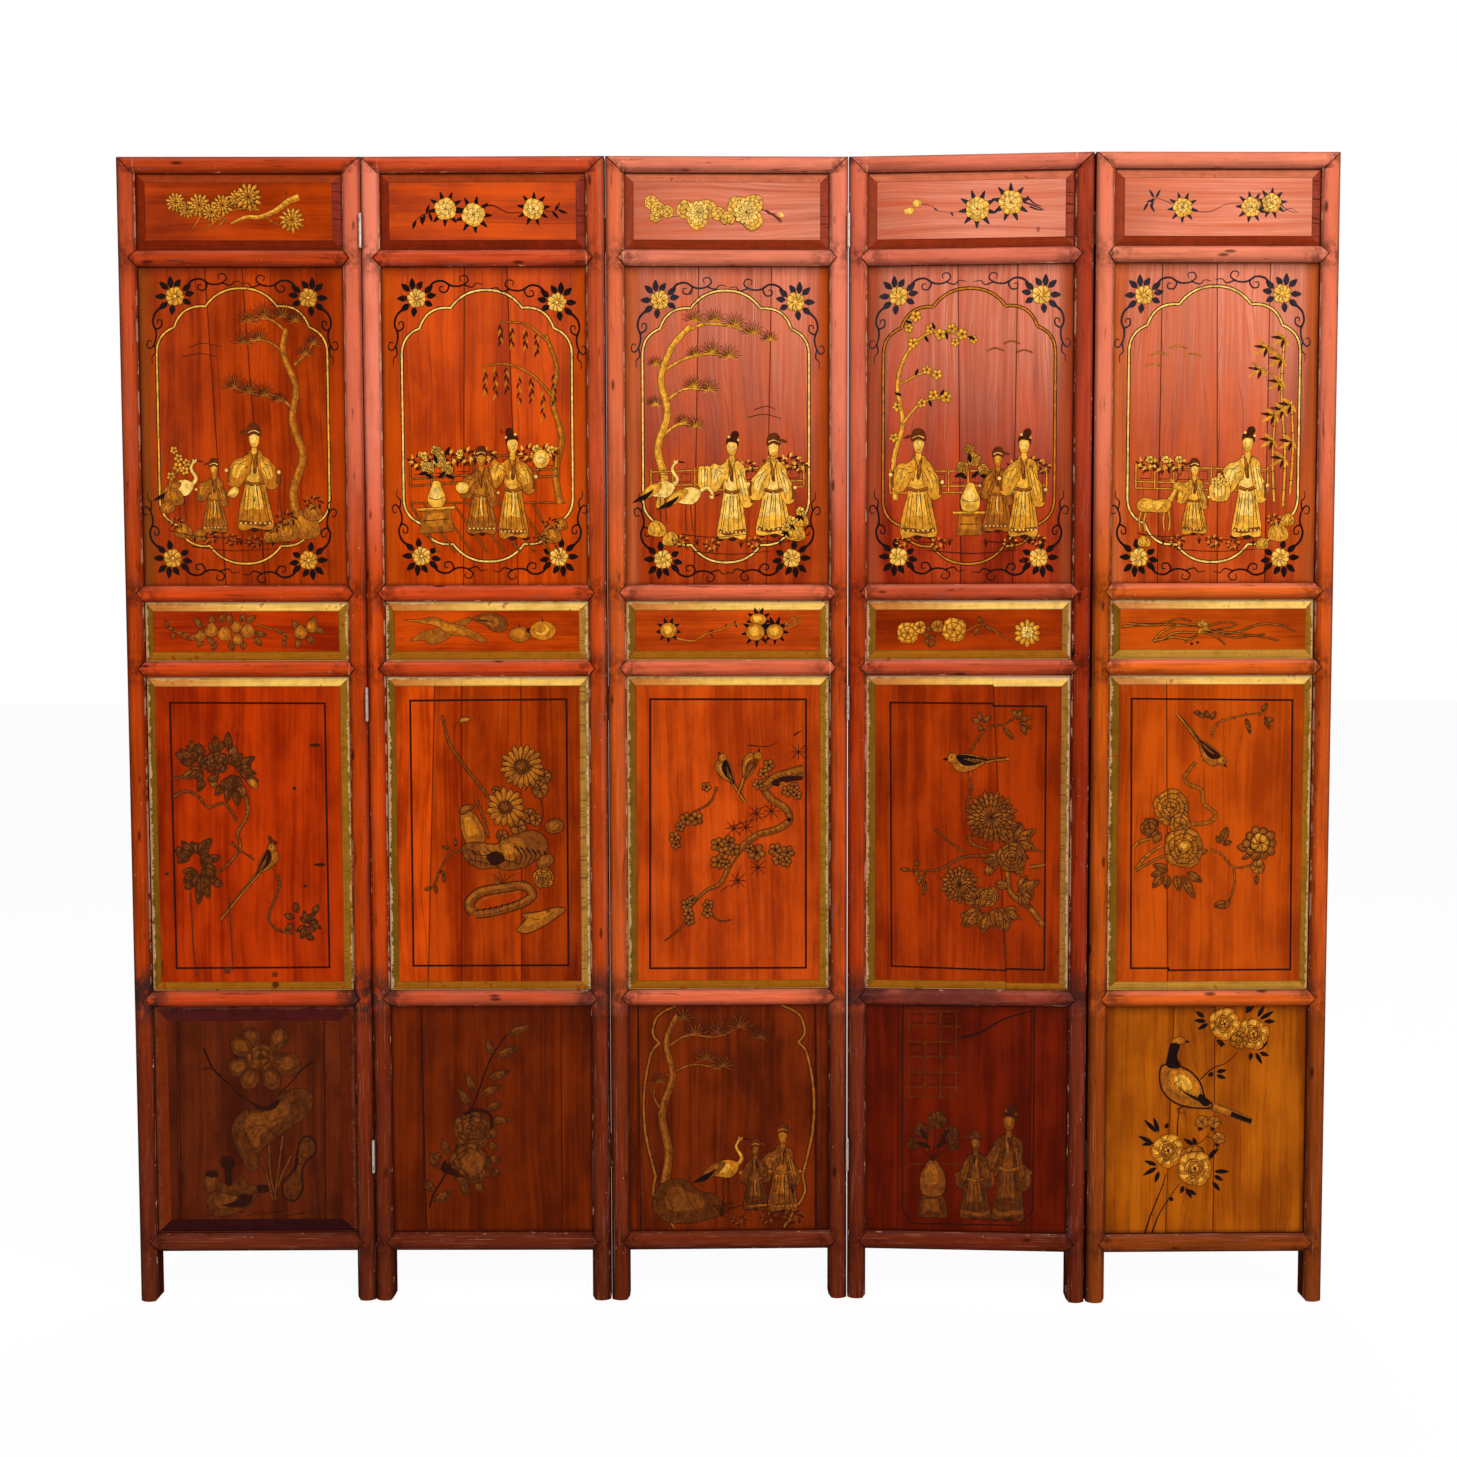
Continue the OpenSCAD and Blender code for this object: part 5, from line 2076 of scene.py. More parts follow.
    @staticmethod
    def waist_3(b: Motifs) -> None:
        """Pomegranates with black leaves on a pale branch."""
        b.branch((
            (285, 180), (350, 190), (395, 165), (450, 148), (500, 128), (555, 130),
        ), 5, 3, Ink.GOLD)
        b.sprigs((
            (410, 158, 320), (415, 165, 60), (468, 140, 290), (500, 128, 300), (505, 128, 60),
        ), 6, Ink.BROWN, length=16)
        for x, y, reach in ((258, 150, 48), (585, 155, 60), (652, 150, 54), (592, 112, 48)):
            for k in range(9):
                b.leaf(x, y, 40 * k + 10, reach, 17, Ink.BLACK)
        b.stroke(((690, 130), (712, 108), (728, 112), (720, 132), (702, 128)), 5, 3, Ink.GOLD, 0.6)
        b.stroke(((690, 145), (730, 128), (746, 100), (716, 104)), 4, 2, Ink.GOLD, 0.6)
        b.fruit(258, 151, 30, 0.92, Ink.GOLD)
        b.fruit(590, 110, 30, 0.7, Ink.GOLD)
        b.fruit(579, 157, 34, 0.9, Ink.GOLD)
        b.fruit(652, 156, 31, 0.9, Ink.GOLD)

    @staticmethod
    def waist_4(b: Motifs) -> None:
        """Gold peonies along a twig."""
        b.twig(((452, 155), (500, 130), (545, 142), (580, 170), (625, 186)), 4, 3)
        b.sprigs((
            (290, 160, 20), (300, 180, 60), (320, 140, 300), (340, 170, 160), (330, 150, 200),
            (510, 130, 250), (520, 135, 30), (500, 140, 120), (340, 190, 140),
        ), 15, Ink.DULL, True, length=34)
        b.bloom(235, 158, 46, 8, 2, 1.05, Ink.GOLD, 0.1)
        b.bloom(280, 138, 26, 6, 1, 1.05, Ink.GOLD, 0.1)
        b.bloom(345, 135, 26, 6, 1, 1.0, Ink.OCHRE, 0.1)
        b.bloom(408, 148, 52, 8, 2, 1.05, Ink.GOLD, 0.12, 10)
        b.bloom(678, 162, 52, 12, 1, 0.85, Ink.GOLD)
        b.bloom(678, 158, 24, 8, 1, 0.9, Ink.CREAM)

    @staticmethod
    def waist_5(b: Motifs) -> None:
        """An orchid's long leaves with a small flower."""
        for path, width in (
            (((128, 138), (200, 130), (280, 126), (340, 108), (388, 118)), 7),
            (((150, 125), (230, 132), (330, 128), (430, 140)), 7),
            (((245, 195), (275, 160), (330, 136), (420, 128)), 9),
            (((250, 190), (320, 176), (380, 182), (430, 150)), 9),
            (((275, 186), (330, 160), (400, 158), (450, 150)), 8),
            (((440, 140), (500, 120), (552, 126), (530, 140), (460, 150)), 5),
            (((430, 150), (540, 160), (640, 128), (720, 132), (772, 156)), 7),
            (((440, 152), (520, 158), (620, 170), (712, 188)), 5),
            (((450, 150), (540, 176), (600, 172), (660, 164)), 4),
            (((420, 155), (470, 170), (514, 204)), 5), (((360, 195), (400, 175), (420, 150)), 5),
        ):
            b.stroke(path, width, 2, Ink.OCHRE, 1.0)
        for turn in (230, 270, 320, 20, 120):
            b.leaf(428, 140, turn, 34, 14, Ink.GOLD, True)
        b.dot(410, 195, 6, Ink.BROWN)
        b.dot(388, 200, 6, Ink.BROWN)

    @staticmethod
    def lower_1(b: Motifs) -> None:
        """Peonies and a long-tailed bird."""
        b.border(((178, 418), (752, 420), (772, 1405), (200, 1408)), 7.5)
        b.twig((
            (190, 768), (236, 745), (285, 768), (318, 806), (372, 790), (405, 820), (425, 860),
        ), 9, 6)
        b.twig((
            (458, 760), (468, 815), (450, 865), (428, 905), (438, 955), (400, 1012), (350, 1050),
        ), 12, 7)
        b.twig(((402, 935), (432, 962), (492, 1002)), 6, 3)
        b.branch(((186, 700), (225, 690), (260, 680)), 8, 4)
        for u, v, turn, length in (
            (235, 620, 200, 40), (270, 670, 150, 55), (300, 700, 110, 50), (330, 700, 60, 40),
            (395, 600, 268, 75), (400, 620, 300, 50), (300, 620, 250, 55), (335, 630, 290, 55),
            (400, 715, 100, 75), (380, 720, 130, 55), (430, 720, 60, 60), (455, 700, 10, 52),
            (350, 660, 180, 50), (360, 690, 160, 45), (420, 740, 80, 60),
        ):
            b.leaf(u, v, turn, length, 30, Ink.OLIVE if turn % 3 else Ink.DULL, True)
        for u, v, turn, length in (
            (270, 640, 222, 76), (262, 600, 262, 44), (288, 650, 318, 62), (296, 668, 150, 62),
            (352, 600, 262, 62), (420, 660, 330, 84), (410, 650, 292, 56), (440, 668, 12, 60),
            (424, 690, 108, 66), (380, 700, 62, 60),
        ):
            b.lobed(u, v, turn, length, Ink.OLIVE)
        b.bloom(352, 640, 44, 8, 2, 1.0, Ink.OLIVE)
        b.wash(((462, 705), (485, 700), (503, 718), (498, 738), (478, 728)), Ink.OCHRE, 0.7)
        b.sprigs((
            (225, 965, 170, 30), (240, 985, 140, 44), (300, 960, 310, 50), (315, 1000, 350, 50),
            (310, 1020, 40, 50), (330, 1060, 60, 50), (265, 1060, 120, 46), (290, 1080, 95, 90),
            (300, 1085, 70, 66), (262, 1090, 150, 36), (340, 1085, 20, 34),
        ), 30, Ink.OLIVE, True)
        for u, v, turn, length in (
            (262, 980, 228, 66), (250, 990, 186, 50), (280, 980, 300, 62), (290, 1010, 350, 60),
            (300, 1030, 40, 66), (270, 1040, 132, 64), (292, 1060, 92, 80),
        ):
            b.lobed(u, v, turn, length, Ink.OLIVE)
        b.bird(540, 1008, -50, 2.1, 112, True, Ink.DARK, Ink.OCHRE)
        b.stroke(((553, 940), (545, 915), (560, 930), (578, 940)), 7, 3, Ink.OLIVE, 0.6)
        b.twig((
            (572, 1056), (586, 1095), (560, 1165), (545, 1220), (572, 1262), (628, 1276),
            (655, 1262),
        ), 8, 4)
        b.sprigs((
            (640, 1220, 200), (650, 1200, 260), (690, 1265, 80), (680, 1280, 30), (640, 1245, 150),
            (710, 1205, 300),
        ), 22, Ink.OLIVE, True, length=40)
        for u, v, turn, length in (
            (690, 1240, 300, 50), (690, 1236, 250, 46), (700, 1244, 20, 44), (684, 1250, 110, 52),
        ):
            b.lobed(u, v, turn, length, Ink.OLIVE)
        for path, width in (
            (((252, 1120), (258, 1230), (262, 1330), (276, 1440)), 7),
            (((396, 1140), (404, 1290), (412, 1420)), 8), (((146, 1380), (150, 1440)), 8),
        ):
            b.stroke(path, width, width * 0.7, Ink.LEAD)
        for u, v, radius in ((390, 1416, 15), (568, 1432, 12), (570, 1470, 13)):
            b.dot(u, v, radius, Ink.LEAD)
        b.sprigs(((740, 575, 180), (758, 1020, 180)), 14, Ink.BROWN, length=48)
        for u, v in ((640, 735), (680, 1100), (165, 1055)):
            b.dot(u, v, 8, Ink.OLIVE)
            b.dot(u, v, 4, Ink.DARK)

    @staticmethod
    def lower_2(b: Motifs) -> None:
        """Daisies over a pierced rock."""
        b.border(((158, 410), (738, 405), (748, 1397), (168, 1399)), 7.5)
        b.twig(((276, 462), (300, 560), (350, 640), (402, 705), (452, 772)), 7, 10, Ink.DULL)
        b.curl(((320, 520), (330, 495), (350, 482)), 4, Ink.OLIVE)
        b.wash(((340, 490), (352, 472), (384, 476), (366, 488)), Ink.OCHRE, 0.7)
        b.twig(((402, 775), (425, 830), (440, 880), (450, 925)), 8, 6)
        b.stroke(((585, 745), (600, 720), (620, 700)), 5, 3)
        b.curl(((642, 770), (652, 830), (636, 900)), 4, Ink.DARK)
        b.wash((
            (346, 832), (384, 822), (420, 866), (434, 930), (378, 946), (352, 905),
        ), Ink.OCHRE, 1.0)
        b.wash(((340, 820), (360, 798), (395, 800), (380, 816), (352, 832)), Ink.DULL, 0.8)
        for u, v, radius in (
            (655, 692, 30), (640, 740, 34), (620, 712, 22), (600, 838, 30), (560, 880, 32),
            (625, 852, 24), (500, 912, 24), (476, 742, 16),
        ):
            b.bloom(u, v, radius, 6, 1, 1.15, Ink.DULL, 0.08, u)
        b.aster(512, 806, 76, 15, 1, Ink.OCHRE, 26)
        b.aster(574, 654, 84, 19, 1, Ink.OCHRE, 30)
        b.rock(
            (
                (352, 952), (400, 936), (470, 945), (500, 925), (560, 905), (612, 892), (655, 915),
                (668, 965), (620, 1005), (580, 1030), (520, 1040), (470, 1030), (420, 1035),
                (366, 1002),
            ),
            Ink.DULL,
            (
                ((370, 960), (420, 985), (470, 980)), ((440, 960), (500, 1000), (560, 1015)),
                ((380, 1000), (440, 1015), (500, 1030)),
            ),
        )
        b.wash(((495, 950), (525, 935), (560, 960), (540, 1005), (505, 990)), Ink.OCHRE, 0.6)
        for k in range(9):
            b.line((
                (366 + 22 * k, 962 + 2 * k), (380 + 21 * k, 992 - k), (374 + 22 * k, 1024),
            ), 1.0)
        for k in range(6):
            b.stroke((
                (545 + 22 * k, 950 + 4 * k), (572 + 18 * k, 985), (560 + 18 * k, 1026 - 4 * k),
            ), 7, 2, Ink.DARK)
        b.wash(((440, 990), (480, 968), (510, 1000), (470, 1024)), Ink.DARK)
        b.grass(480, 1105, (
            (-70, -60), (-40, -80), (-10, -85), (20, -80), (50, -75), (85, -60), (100, -40),
            (-95, -40),
        ), 5, Ink.DULL)
        b.grass(500, 1100, ((-50, -45), (-15, -60), (30, -62), (70, -50)), 4, Ink.DARK)
        b.wash((
            (690, 850), (722, 858), (728, 884), (700, 902), (668, 896), (662, 868),
        ), Ink.DULL, 0.8)
        b.stroke(((705, 862), (690, 880), (676, 884)), 3, 1)
        b.branch(((355, 966), (310, 976), (272, 1030), (244, 1098), (216, 1116)), 5, 3)
        b.sprigs((
            (300, 960, 200), (325, 950, 270), (272, 1040, 60), (280, 1060, 80), (235, 1105, 160),
            (250, 1100, 80),
        ), 11, Ink.DULL, True, length=26)
        b.stroke((
            (392, 1200), (375, 1165), (420, 1122), (500, 1108), (580, 1098), (612, 1135),
            (560, 1170), (470, 1196), (400, 1206),
        ), 34, 26, Ink.DULL, 1.0)
        b.stroke(((400, 1180), (430, 1150), (500, 1130), (570, 1120)), 5, 2, Ink.OCHRE)
        for k in range(8):
            b.line((
                (400 + 22 * k, 1206 - 4 * k), (414 + 22 * k, 1186 - 5 * k),
                (408 + 22 * k, 1216 - 5 * k),
            ), 0.8)
        b.wash((
            (556, 1264), (590, 1225), (574, 1206), (640, 1196), (700, 1180), (736, 1190),
            (688, 1226), (640, 1256), (590, 1276),
        ), Ink.OCHRE, 1.0)
        b.stroke(((600, 1215), (640, 1225), (700, 1195)), 3, 1)
        b.peony(654, 1068, 44, 0, Ink.OCHRE)
        b.wash((
            (630, 1010), (650, 985), (684, 985), (690, 1012), (664, 1030), (636, 1030),
        ), Ink.DULL, 0.8)

    @staticmethod
    def lower_3(b: Motifs) -> None:
        """Two birds on an old plum tree."""
        b.border(((190, 405), (768, 405), (770, 1407), (187, 1408)), 7.5)
        for path in (
            ((560, 840), (590, 812), (640, 800)), ((480, 880), (540, 862), (620, 838)),
            ((500, 1090), (515, 1050), (530, 1020)), ((450, 1120), (480, 1100), (520, 1090)),
        ):
            b.curl(path, 4, Ink.BROWN)
        for u, v in (
            (585, 830), (545, 880), (500, 885), (640, 820), (515, 1080), (590, 1030), (740, 600),
        ):
            b.tuft(u, v, 38, 0, 360, 9, Ink.BROWN)
        b.curl(((552, 575), (620, 580), (664, 564)), 5, Ink.BROWN)
        b.curl(((722, 538), (752, 520)), 7, Ink.DARK)
        b.twig(((436, 728), (412, 788), (345, 828), (300, 868)), 6, 4)
        b.branch(((540, 942), (490, 1012), (450, 1090), (398, 1116), (345, 1166)), 20, 7)
        b.branch(((330, 1226), (285, 1272), (240, 1306)), 6, 2)
        b.branch(((420, 1210), (450, 1232), (490, 1226)), 4, 2)
        b.branch((
            (610, 735), (640, 775), (694, 812), (706, 856), (660, 888), (590, 908), (538, 944),
        ), 28, 22)
        b.branch(((760, 668), (700, 684), (652, 698), (610, 735)), 42, 28)
        b.wash(((640, 712), (690, 690), (750, 690), (752, 704), (700, 712), (660, 728)), Ink.DARK)
        b.dot(682, 722, 13, Ink.OCHRE)
        b.dot(706, 852, 9, Ink.DARK)
        for u, v, radius in (
            (322, 850, 24), (360, 848, 26), (300, 878, 18), (280, 918, 22), (285, 945, 18),
            (398, 730, 18), (440, 945, 26), (480, 935, 24), (500, 962, 24), (465, 975, 24),
            (440, 1010, 26), (470, 1018, 18), (585, 975, 32), (560, 960, 18), (655, 965, 26),
            (700, 975, 26), (665, 1000, 22), (695, 1010, 20), (325, 1170, 22), (345, 1152, 16),
            (330, 1200, 20), (335, 1228, 20), (405, 1170, 20), (402, 1200, 20), (630, 650, 22),
            (610, 680, 20), (590, 720, 20), (700, 745, 22), (725, 730, 18), (735, 760, 18),
        ):
            b.plum(u, v, radius, u * 3.1, Ink.DULL)
        b.bird(468, 672, 55, 2.0, 48, False, Ink.BLACK, Ink.OCHRE)
        b.bird(556, 650, 108, 1.95, 40, False, Ink.OLIVE, Ink.OCHRE)

    @staticmethod
    def lower_4(b: Motifs) -> None:
        """A bird over chrysanthemums."""
        b.border((
            (170, 416), (552, 421), (553, 430), (748, 432), (744, 1413), (604, 1410), (603, 1416),
            (172, 1402),
        ), 7)
        b.twig(((468, 604), (490, 560), (540, 506), (592, 500), (632, 476), (690, 480)), 6, 3)
        b.sprigs((
            (505, 490, 200, 34), (510, 485, 250, 36), (515, 490, 320, 40), (510, 500, 110, 24),
            (590, 510, 50, 60), (640, 480, 300, 40), (650, 480, 350, 46), (650, 490, 30, 50),
            (660, 500, 70, 40), (640, 470, 240, 30),
        ), 17, Ink.DULL, True)
        b.twig(((464, 692), (472, 740), (455, 790), (464, 826)), 6, 6)
        b.twig(((532, 985), (440, 992), (385, 1022), (330, 1042), (228, 1042)), 9, 4)
        b.twig(((332, 884), (372, 922), (442, 972)), 4, 5)
        b.twig(((462, 905), (472, 940), (530, 962)), 10, 8)
        b.twig(((690, 962), (740, 970)), 7, 4)
        b.twig(((690, 1030), (746, 1020)), 12, 10)
        b.twig(((606, 1050), (622, 1130), (690, 1182), (738, 1246)), 18, 22)
        b.sprigs((
            (240, 1040, 185, 34), (262, 1025, 300, 22), (255, 1048, 30, 26), (300, 1050, 120, 50),
            (300, 1080, 100, 60), (285, 1085, 200, 20),
        ), 15, Ink.DULL, True)
        b.wash((
            (582, 880), (630, 872), (690, 905), (676, 940), (640, 932), (600, 942), (584, 915),
        ), Ink.DULL, 0.9)
        for u, v, turn, length in (
            (600, 900, 330, 70), (610, 910, 10, 70), (600, 905, 60, 50), (560, 990, 100, 60),
            (575, 970, 130, 60), (590, 975, 60, 90), (600, 965, 20, 92), (640, 960, 350, 60),
            (650, 1010, 90, 56), (540, 1060, 260, 40), (540, 1100, 60, 60), (560, 1090, 10, 60),
            (520, 1110, 140, 50), (530, 1160, 180, 56), (500, 1170, 120, 56), (470, 1220, 200, 40),
            (480, 1210, 140, 60), (500, 1220, 60, 50), (560, 1190, 80, 60), (580, 1200, 30, 60),
            (600, 1220, 90, 50), (640, 1120, 20, 60), (650, 1110, 340, 56), (660, 1130, 300, 40),
        ):
            b.leaf(u, v, turn, length, 34, Ink.OLIVE if length > 65 else Ink.DULL, True)
        b.aster(545, 842, 98, 24, 3, Ink.DULL)
        b.aster(428, 1094, 72, 20, 3, Ink.DULL)
        for u, v, turn, length in (
            (640, 930, 330, 84), (640, 936, 20, 78), (612, 925, 235, 56), (570, 1000, 172, 58),
            (648, 1112, 338, 84), (660, 1132, 58, 58), (566, 1184, 78, 84), (596, 1192, 28, 68),
            (504, 1192, 130, 84), (486, 1152, 200, 58), (536, 1204, 108, 78),
        ):
            b.lobed(u, v, turn, length, Ink.DULL)
        b.peony(622, 992, 62, 0, Ink.DULL)
        b.peony(534, 1144, 36, 20, Ink.OCHRE)
        b.bird(462, 640, -8, 2.5, 40, False, Ink.BLACK, Ink.OCHRE)
        b.curl(((595, 1262), (600, 1320), (606, 1392)), 5, Ink.LEAD)

    @staticmethod
    def lower_5(b: Motifs) -> None:
        """A diving bird, peonies and a rose branch."""
        b.border(((165, 403), (762, 408), (757, 1413), (302, 1416), (301, 1408), (160, 1408)), 7)
        b.twig(((464, 548), (478, 500), (522, 478), (592, 462), (652, 456)), 6, 3, Ink.OCHRE)
        b.sprigs((
            (440, 470, 200, 34), (450, 475, 250, 30), (460, 480, 300, 34), (590, 475, 75, 60),
            (650, 450, 300, 34), (660, 470, 70, 50), (665, 475, 20, 28), (420, 455, 180, 24),
        ), 16, Ink.DULL, True)
        b.twig((
            (404, 636), (362, 690), (372, 716), (424, 742), (432, 790), (478, 832), (450, 862),
            (390, 868),
        ), 9, 12, Ink.OCHRE)
        b.twig(((455, 966), (495, 978), (545, 1030), (620, 1018)), 6, 4, Ink.OCHRE)
        b.branch(((545, 1034), (548, 1090), (530, 1150)), 5, 4, Ink.OCHRE)
        b.branch(((170, 960), (190, 936), (236, 922)), 11, 8, Ink.OCHRE)
        b.branch(((176, 1046), (215, 992), (275, 950)), 11, 8, Ink.OCHRE)
        b.branch(((180, 1040), (235, 1010), (290, 985)), 8, 6, Ink.OCHRE)
        for u, v, turn, length in (
            (265, 870, 200, 56), (250, 890, 160, 40), (270, 900, 120, 46), (300, 900, 90, 40),
            (290, 1050, 170, 56), (280, 1060, 130, 60), (300, 1060, 100, 50), (330, 1060, 80, 60),
            (350, 1060, 60, 100), (370, 1050, 30, 66), (300, 1040, 200, 60), (420, 980, 330, 30),
            (495, 940, 240, 30), (500, 935, 290, 60), (505, 945, 340, 34), (520, 1165, 170, 50),
            (530, 1150, 120, 40), (600, 960, 190, 44), (610, 980, 150, 40), (630, 1060, 90, 34),
        ):
            b.leaf(u, v, turn, length, 30 if length > 40 else 16, Ink.DULL, True)
        b.peony(312, 806, 76, 0, Ink.OCHRE)
        b.bloom(345, 868, 44, 7, 2, 1.1, Ink.OCHRE, 0.1)
        b.bloom(232, 884, 36, 6, 2, 1.1, Ink.DULL, 0.1)
        b.peony(358, 958, 84, 20, Ink.OCHRE)
        b.wash(((335, 945), (360, 930), (384, 945), (372, 968), (345, 966)), Ink.GOLD, 0.7)
        b.bloom(642, 940, 66, 10, 2, 0.95, Ink.DULL)
        b.bloom(642, 938, 36, 7, 1, 1.1, Ink.GOLD)
        b.bloom(634, 1028, 26, 6, 1, 1.1, Ink.OCHRE)
        b.bird(452, 606, 53, 2.15, 68, True, Ink.DARK, Ink.OCHRE)

    @staticmethod
    def skirt_1(b: Motifs) -> None:
        """A lotus with its leaf and two ducks."""
        b.stroke(((283, 110), (298, 1100)), 6)
        b.stroke(((1016, 104), (1026, 1108)), 6)
        b.curl(((412, 240), (460, 345), (540, 420), (620, 495), (720, 535)), 12, Ink.DARK)
        b.curl(((405, 342), (450, 340), (500, 375)), 10, Ink.DARK)
        b.curl(((962, 300), (900, 350), (840, 420), (780, 470)), 10, Ink.DARK)
        for path in (
            ((700, 780), (735, 900), (760, 1000)), ((850, 780), (800, 890), (770, 980)),
            ((740, 690), (745, 860), (775, 1000)), ((810, 680), (790, 830), (770, 980)),
        ):
            b.stroke(path, 14, 9, Ink.OLIVE, 0.7)
        b.wash((
            (560, 700), (556, 620), (620, 550), (720, 540), (800, 470), (870, 440), (950, 460),
            (955, 540), (900, 600), (840, 640), (760, 700), (690, 760), (680, 840), (640, 856),
            (600, 790),
        ), Ink.OLIVE, 1.0)
        for path in (
            ((700, 640), (660, 700), (640, 830)), ((720, 620), (620, 640), (570, 680)),
            ((740, 610), (850, 560), (930, 500)), ((730, 640), (760, 670), (780, 690)),
        ):
            b.stroke(path, 4, 1.5, Ink.DARK)
        for u, v, turn, length in (
            (672, 250, 252, 118), (762, 252, 292, 118), (668, 262, 205, 128), (660, 320, 168, 124),
            (750, 300, 12, 150), (676, 330, 118, 122), (722, 330, 66, 122),
        ):
            petal = b.at(u, v, turn, length / 118)
            petal.wash((
                (0, 0), (34, -34), (84, -44), (118, -14), (118, 14), (84, 44), (34, 34),
            ), Ink.OLIVE, 1.0)
            petal.line(((20, 4), (60, 10), (96, 4)), 1.0)
        b.bloom(698, 286, 74, 6, 2, 1.15, Ink.OLIVE)
        for k in range(9):
            b.dot(672 + 13 * (k % 5), 270 + 11 * (k % 3), 3.5, Ink.DARK)
        for u in range(650, 830, 16):
            b.stroke(((u, 440), (0.6 * u + 290, 515)), 4, 2, Ink.DARK)
        b.wash(((650, 512), (720, 530), (795, 490), (770, 540), (700, 552)), Ink.DARK)
        b.wash((
            (905, 700), (940, 685), (968, 715), (965, 760), (920, 810), (900, 860), (905, 940),
            (870, 1000), (820, 980), (815, 920), (870, 850), (885, 770),
        ), Ink.OLIVE, 3)
        b.stroke(((885, 790), (870, 850), (830, 880)), 14, 5, Ink.DARK)
        for k in range(8):
            b.stroke((
                (420 + 66 * k, 1085 - 10 * (k % 3)), (520 + 66 * k, 1060 - 8 * (k % 2)),
            ), 5, 2, Ink.DARK)
        b.wash((
            (430, 990), (470, 960), (560, 950), (660, 975), (690, 950), (640, 1030), (560, 1070),
            (470, 1085), (430, 1040),
        ), Ink.OLIVE, 1.0)
        b.wash((
            (480, 905), (540, 925), (600, 880), (640, 930), (700, 930), (660, 970), (560, 980),
            (490, 950),
        ), Ink.OLIVE, 1.0)
        b.wash((
            (500, 790), (545, 785), (568, 820), (548, 850), (550, 920), (520, 920), (518, 850),
            (500, 830),
        ), Ink.DARK, 0.7)
        b.wash((
            (415, 880), (440, 850), (480, 855), (490, 900), (470, 950), (420, 960),
        ), Ink.OLIVE, 0.9)
        b.wash(((418, 872), (444, 852), (480, 858), (476, 884), (440, 888)), Ink.DARK)
        b.wash((
            (600, 970), (660, 980), (640, 1020), (600, 1040), (500, 1030), (560, 1010),
        ), Ink.DARK)
        b.wash(((680, 930), (730, 925), (735, 960), (690, 965)), Ink.DARK)

    @staticmethod
    def skirt_2(b: Motifs) -> None:
        """A leafy spray with full blooms."""
        b.stroke(((346, 44), (368, 1165)), 8, 8, Ink.DARK)
        b.branch((
            (385, 1040), (405, 975), (450, 900), (500, 800), (560, 620), (620, 490), (690, 300),
            (780, 165),
        ), 7, 4, Ink.DARK)
        b.sprigs((
            (775, 172, -22, 130), (720, 282, -25, 125), (700, 270, -105, 80), (680, 388, -18, 120),
            (612, 455, -115, 105), (640, 470, -20, 120), (585, 525, -120, 100), (670, 545, -20, 90),
            (690, 600, 0, 110), (480, 775, -110, 90), (430, 850, -115, 100), (400, 960, -120, 70),
            (405, 1010, -30, 110), (680, 790, 10, 66), (680, 720, 20, 60), (700, 850, 30, 50),
            (560, 900, 85, 90), (620, 910, 60, 70), (690, 690, -60, 60), (450, 780, 170, 50),
        ), 44, Ink.OLIVE, True)
        b.peony(600, 650, 110, 10, Ink.OLIVE)
        b.stroke(((560, 570), (620, 548), (690, 570), (700, 640)), 22, 14, Ink.DARK)
        b.peony(590, 820, 120, 0, Ink.OLIVE)
        b.wash((
            (560, 780), (610, 755), (660, 790), (650, 850), (600, 880), (560, 840),
        ), Ink.DULL, 0.0)
        for k in range(7):
            b.leaf(470 + 14 * k, 800 + 14 * k, 120 + 12 * k, 60, 20, Ink.DARK)

    @staticmethod
    def skirt_3(b: Motifs) -> None:
        """A walker with a pupil and a crane by a pine, in a lobed frame."""
        lobes = (
            ((96, 2), (128, 20), (138, 52), (126, 70)),
            ((126, 70), (142, 92), (154, 160), (152, 236), (134, 316)),
            ((134, 316), (138, 348), (120, 380), (100, 412)),
        )
        for side in (-1, 1):
            for width, ink in ((7.6, Ink.DARK), (4.2, Ink.OCHRE)):
                for lobe in lobes:
                    b.stroke([(214 + side * u, v) for u, v in lobe], width, width, ink)
        b.stroke(((50, 2), (52, 414)), 2.4, 2.4, Ink.DARK)
        b.stroke(((372, 2), (373, 414)), 2.4, 2.4, Ink.DARK)
        b.pine(
            ((96, 330), (104, 270), (92, 200), (112, 130), (100, 70), (120, 20)),
            (
                ((104, 130), (150, 110), (200, 120)), ((100, 80), (140, 56), (190, 60), (230, 44)),
                ((95, 200), (78, 170), (80, 150)),
            ),
            (
                (200, 112, 30), (170, 98, 26), (150, 52, 30), (190, 50, 30), (232, 40, 34),
                (128, 24, 30), (86, 140, 20), (268, 60, 24),
            ),
            16, 9,
        )
        b.rock(
            (
                (74, 372), (90, 330), (130, 322), (160, 345), (190, 352), (204, 384), (150, 402),
                (100, 400),
            ),
            Ink.OLIVE, (((90, 340), (110, 370), (106, 395)), ((130, 330), (140, 360), (160, 390))),
        )
        b.crane(214, 372, 1.3, True)
        b.figure(312, 384, 1.5, False, Ink.DULL, ((-24, -60), (18, -48)))
        b.figure(262, 380, 1.2, False, Ink.OLIVE, ((-20, -56), (20, -58)))
        b.foliage(((330, 392, 16), (286, 396, 13), (232, 398, 12)), Ink.DULL)
        b.grass(200, 392, ((-24, -26), (-10, -36), (6, -38), (20, -30), (32, -18)), 2.4, Ink.DARK)
        b.grass(330, 352, ((-16, -26), (-4, -32), (10, -28)), 2.2, Ink.DARK)
        for k in range(4):
